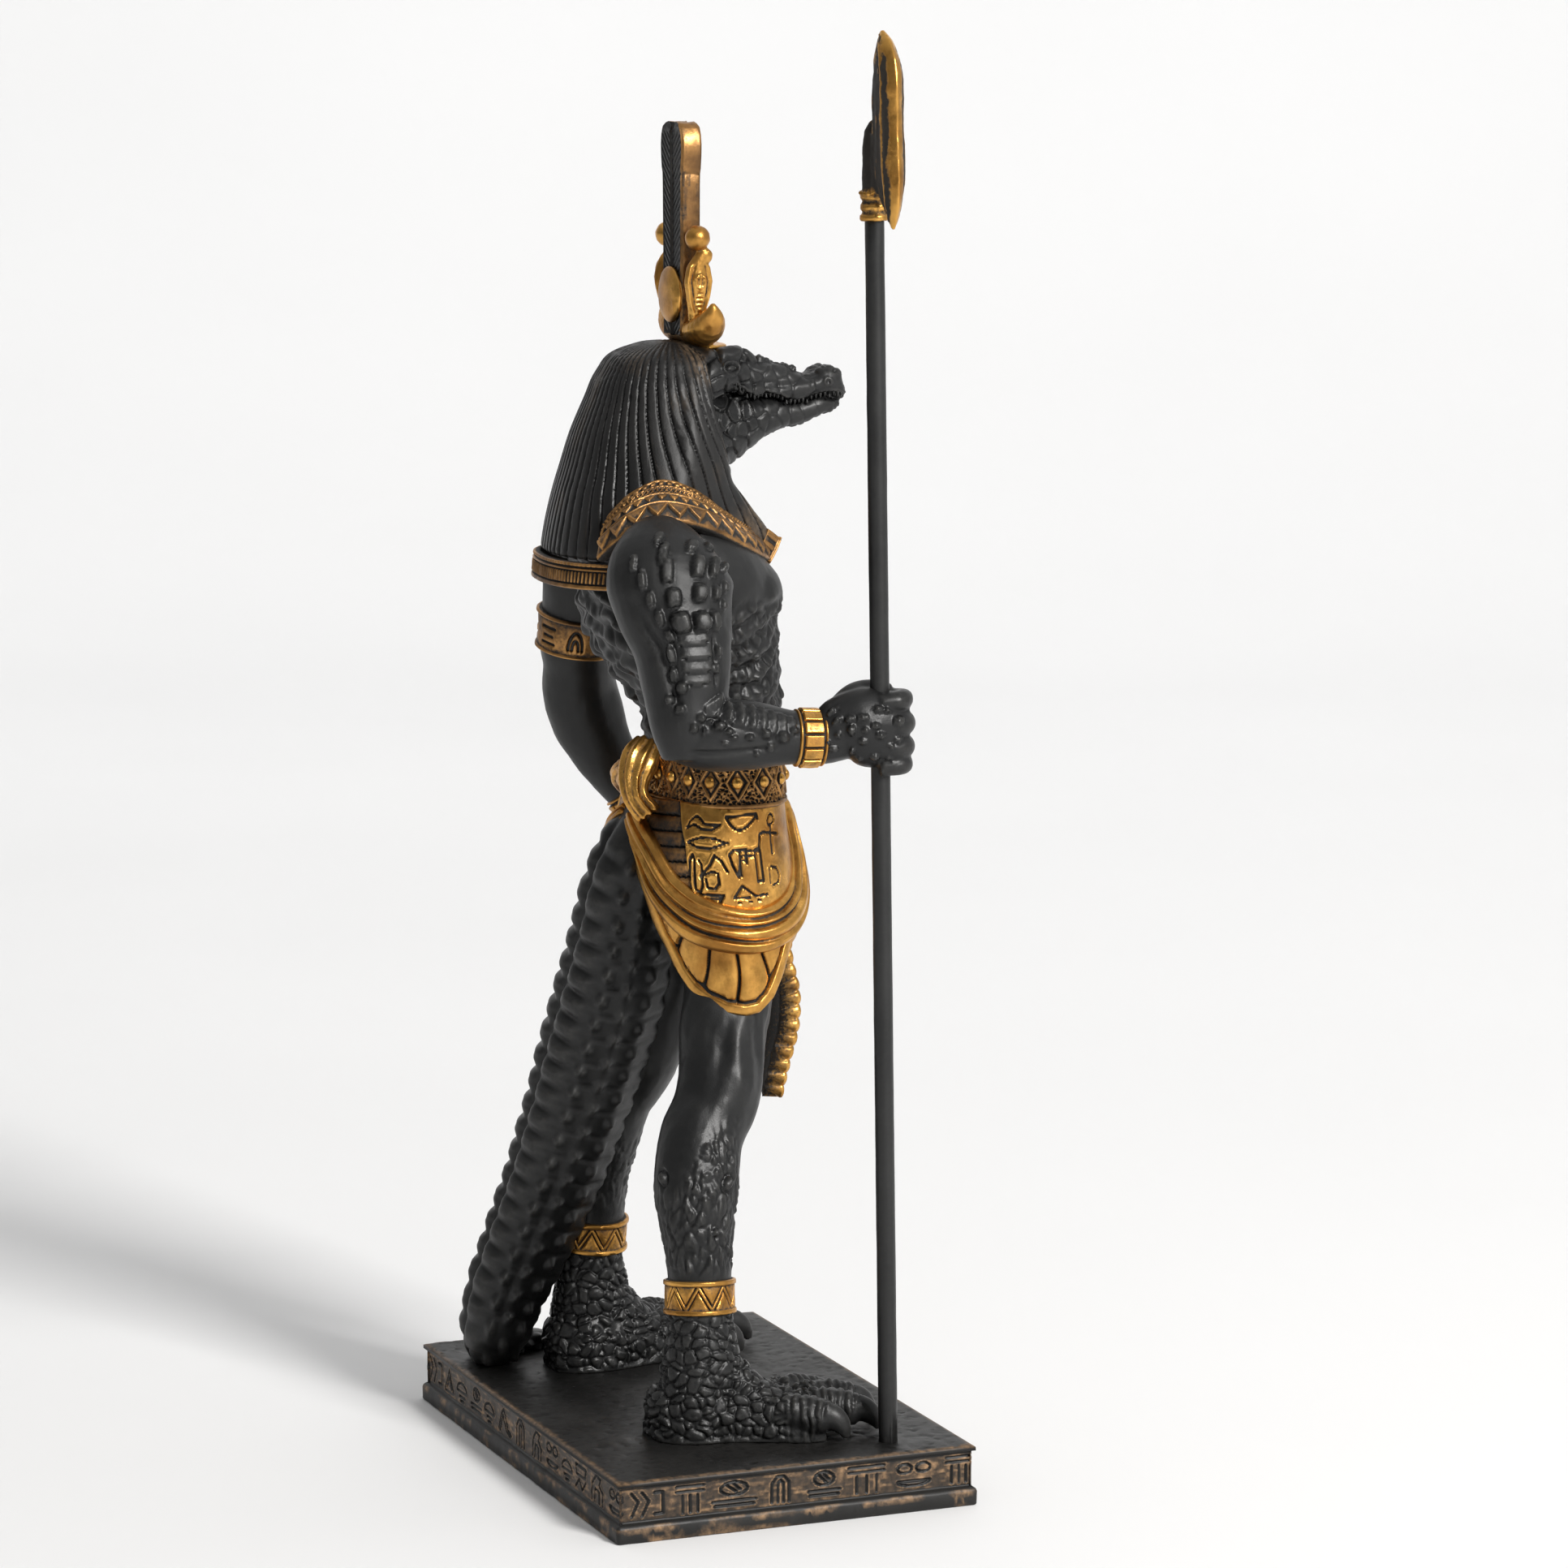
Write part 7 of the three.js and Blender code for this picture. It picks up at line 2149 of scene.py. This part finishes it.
def plinth_sides():
    base = rectangle(PLINTH_W, PLINTH_D, 0.5, 0.29)
    n = len(base)
    d = unit(np.roll(base, -1, 0) - np.roll(base, 1, 0))
    out = np.stack([d[:, 1], -d[:, 0]], 1)
    profile = [(-0.1, 0), (-0.4, 0.3), (-0.4, 1.6), (-0.4, 2.9), (-0.2, 3.4), (0.2, 3.7), (0.6, 3.85),
               (0.95, 4.0), (1.0, 4.2)]
    profile += [(1.0, z) for z in np.arange(4.4, 11.05, 0.2)] + [(0.95, 11.1), (0.7, 11.3), (0.5, 11.55)]
    profile = np.array(profile)
    run = length_along(base)
    R, Z = np.meshgrid(run, profile[:, 1], indexing="ij")
    lines = []
    rng = np.random.default_rng(4)
    x = 2.5
    kind = 0
    while x < run[-1] - 6:
        w = float(rng.uniform(5.4, 9.6))
        kind = (kind + int(rng.integers(1, 13))) % len(SIGNS)
        lines += in_box(x + w / 2, SIGN_LEVEL, w, SIGN_TALL, SIGNS[kind])
        x += w + float(rng.uniform(1.0, 2.4))
    cuts = segments_near(R, Z, lines, 0.29)
    lips = segments_near(R, Z, lines, 0.68)
    ledge = fall(np.abs(Z - SIGN_LEVEL), 3.1, 3.5)
    g = np.concatenate([(base[:, None] - out[:, None] * profile[None, :, 0:1]),
                        np.repeat(profile[None, :, 1:2], n, 0)], -1)
    flat = g.reshape(-1, 3)
    grain = noise(flat * [1, 1, 3.2], 1.6, 3).reshape(n, -1)
    h = (-0.45 * cuts + 0.14 * (lips - cuts) * ledge + 0.05 * grain
         + (0.08 * noise(flat, 3.0, 5)).reshape(n, -1))
    g = g + np.concatenate([out[:, None] * h[..., None], np.zeros((n, g.shape[1], 1))], -1)
    skin = Skin(*capped(g.transpose(1, 0, 2)))
    rim = hill(Z - 3.1, 0.6, 0.5) + hill(Z - 0.5, 0.6, 0.4) * 0.8 + hill(Z - 11.4, 0.35, 0.5)
    rub = ramp(noise(flat * [0.6, 0.6, 2.6], 3.6, 9).reshape(n, -1) + 0.45 * grain, -0.45, 0.7)
    fine = ramp(grain, -0.2, 0.6)
    # Painted shade: the cut signs are marked low, so the finish darkens them; rim, lips and rub carry the
    # bronze rub.
    proud = 0.46 - 0.8 * cuts + 0.45 * rim * rub + (0.16 + 0.42 * rub * fine) * ledge * (1 - cuts)
    proud += 0.42 * hill(lips - 0.45, 0.4) * (1 - cuts) * ledge + 0.3 * (Z < 3.3) * rub * fine
    skin.mark("proud", np.concatenate([proud.T.ravel(), [0.4, 0.4]]))
    piece("plinth_sides", skin, [STONE], ["plinth"], 0)


def plinth_plate():
    nu, nv = 300, 196
    x = np.linspace(-PLINTH_W / 2, PLINTH_W / 2, nu)
    y = np.linspace(-PLINTH_D / 2, PLINTH_D / 2, nv)
    X, Y = np.meshgrid(x, y, indexing="ij")
    g = np.stack([X, Y, np.full_like(X, PLINTH_T - 0.12)], -1)
    flat = g.reshape(-1, 3)
    pits = ramp(noise(flat, 1.1, 3), 0.15, 0.75) + 0.7 * ramp(noise(flat, 0.55, 5), 0.2, 0.8)
    h = (0.1 + 0.07 * noise(flat, 6, 2) + 0.05 * noise(flat, 0.8, 6) - 0.2 * pits).reshape(nu, nv)
    e = edges_of(nu, nv, False)
    h = h * ramp(e, 0, 3) - 0.32 * fall(e, 0, 1.6) + 0.06 * fall(e, 2, 6)
    skin = slab(g, h, 1.0, [0, 0, 0], reach=(5, 5), gain=1.2, base=0.4)
    skin.brighten(0.42 * fall(e, 0.5, 2.6))
    piece("plinth_plate", skin, [STONE], ["plinth"], 0)


torso()
right_arm()
left_arm()
legs()
tail()
head()
teeth()
wig()
wig_hem()
lappet_ends()
collar()
kilt()
sash()
knot()
belt()
front_tab()
bands()
crown()
serpents()
plumes()
staff_rod()
staff_head()
plinth_sides()
plinth_plate()

# Floor, light and camera, in metres.

FLOOR_AWAY, FLOOR_ACROSS = np.array([0.9262, -0.3762]), np.array([0.3762, 0.9262])
AZIMUTH, ELEVATION = math.radians(-112.10), math.radians(8.66)
CAMERA_AT = (-1.08355, 0.41845, 0.32012)
LENS, PICTURE_WIDE = 129.15, 36
PALE_SIDE = (0.38, -0.70, 0.55)
AIR_DIM, AIR_PALE = 0.045, 0.74
KEY_POWER, BACKDROP_POWER = 44, 22.5


def studio():
    """A pale floor that rises behind the figure in one curve."""
    n = 40
    run = np.concatenate([np.linspace(-2.4, 1.2, n),
                          1.2 + 0.9 * np.sin(np.linspace(0, math.pi / 2, n)[1:]), np.full(4, 2.1)])
    rise = np.concatenate([np.zeros(n), 0.9 * (1 - np.cos(np.linspace(0, math.pi / 2, n)[1:])),
                           np.linspace(1.2, 3.5, 4)])
    across = np.linspace(-4, 4, 9)
    look, side = FLOOR_AWAY, FLOOR_ACROSS
    v = np.array([[*(look * r + side * a), h] for r, h in zip(run, rise) for a in across])
    q = np.array([[i * 9 + j, (i + 1) * 9 + j, (i + 1) * 9 + j + 1, i * 9 + j + 1]
                  for i in range(len(run) - 1) for j in range(8)])
    mesh = plain_mesh("floor", v / MM, q[:, ::-1], None, 0)
    mesh.polygons.foreach_set("use_smooth", np.ones(len(mesh.polygons), bool))

    def pale(tree, shader):
        share = ranged(tree, texture(tree, 3, 2), 0.3, 0.7)
        colour = blended(tree, share, (0.81, 0.81, 0.81), (0.83, 0.83, 0.83))
        tree.links.new(colour, shader.inputs["Base Color"])
        shader.inputs["Roughness"].default_value = 0.85
        shader.inputs["Specular IOR Level"].default_value = 0.2

    mesh.materials.append(finish("pale_floor", pale))
    obj = shown("floor", mesh)


def lamp(name, at, target, size, power, tint=(1, 1, 1)):
    """A soft box at one place, aimed at another."""
    data = bpy.data.lights.new(name, "AREA")
    data.shape = "RECTANGLE"
    data.size, data.size_y = size
    data.energy = power
    data.color = tint
    obj = shown(name, data)
    obj.location = at
    obj.rotation_euler = (Vector(target) - Vector(at)).to_track_quat("-Z", "Y").to_euler()


def from_camera(right, up, back):
    """A place given from the figure's middle along the picture's right, up and toward the camera."""
    a = AZIMUTH
    r = np.array([math.cos(a), math.sin(a), 0])
    b = np.array([math.sin(a), -math.cos(a), 0])
    return tuple(np.array([0, 0, 0.15]) + r * right + b * back + np.array([0, 0, up]))


def lighting():
    """Air paler behind and to the right, a soft box at the front right, and a lamp for the backdrop."""
    world = bpy.data.worlds.new("studio_air")
    bpy.context.scene.world = world
    world.use_nodes = True
    tree = world.node_tree
    back = tree.nodes["Background"]
    back.inputs["Color"].default_value = (1, 1, 1, 1)
    where = tree.nodes.new("ShaderNodeTexCoord")
    toward = tree.nodes.new("ShaderNodeVectorMath")
    toward.operation = "DOT_PRODUCT"
    toward.inputs[1].default_value = PALE_SIDE
    tree.links.new(where.outputs["Generated"], toward.inputs[0])
    tree.links.new(ranged(tree, toward.outputs["Value"], -1, 1, AIR_DIM, AIR_PALE), back.inputs["Strength"])
    middle = (0, 0, 0.14)
    lamp("key_right", from_camera(1.05, 0.98, 1.3), middle, (0.42, 0.42), KEY_POWER, (1, 0.985, 0.965))
    lamp("backdrop", from_camera(0.0, 1.6, -0.6), from_camera(0.0, 0.9, -2.2), (3.0, 0.8), BACKDROP_POWER)
    bpy.context.scene.view_settings.view_transform = "Standard"


def camera():
    """The camera of the photo, turned by its two angles."""
    data = bpy.data.cameras.new("view")
    data.lens = LENS
    data.sensor_width = PICTURE_WIDE
    data.sensor_fit = "HORIZONTAL"
    data.clip_start = 0.05
    obj = shown("view", data)
    a, e = AZIMUTH, ELEVATION
    right = Vector((math.cos(a), math.sin(a), 0))
    back = Vector((math.sin(a) * math.cos(e), -math.cos(a) * math.cos(e), math.sin(e)))
    up = back.cross(right)
    turn = Matrix((right, up, back)).transposed()
    obj.matrix_world = Matrix.Translation(CAMERA_AT) @ turn.to_4x4()
    bpy.context.scene.camera = obj


studio()
lighting()
camera()
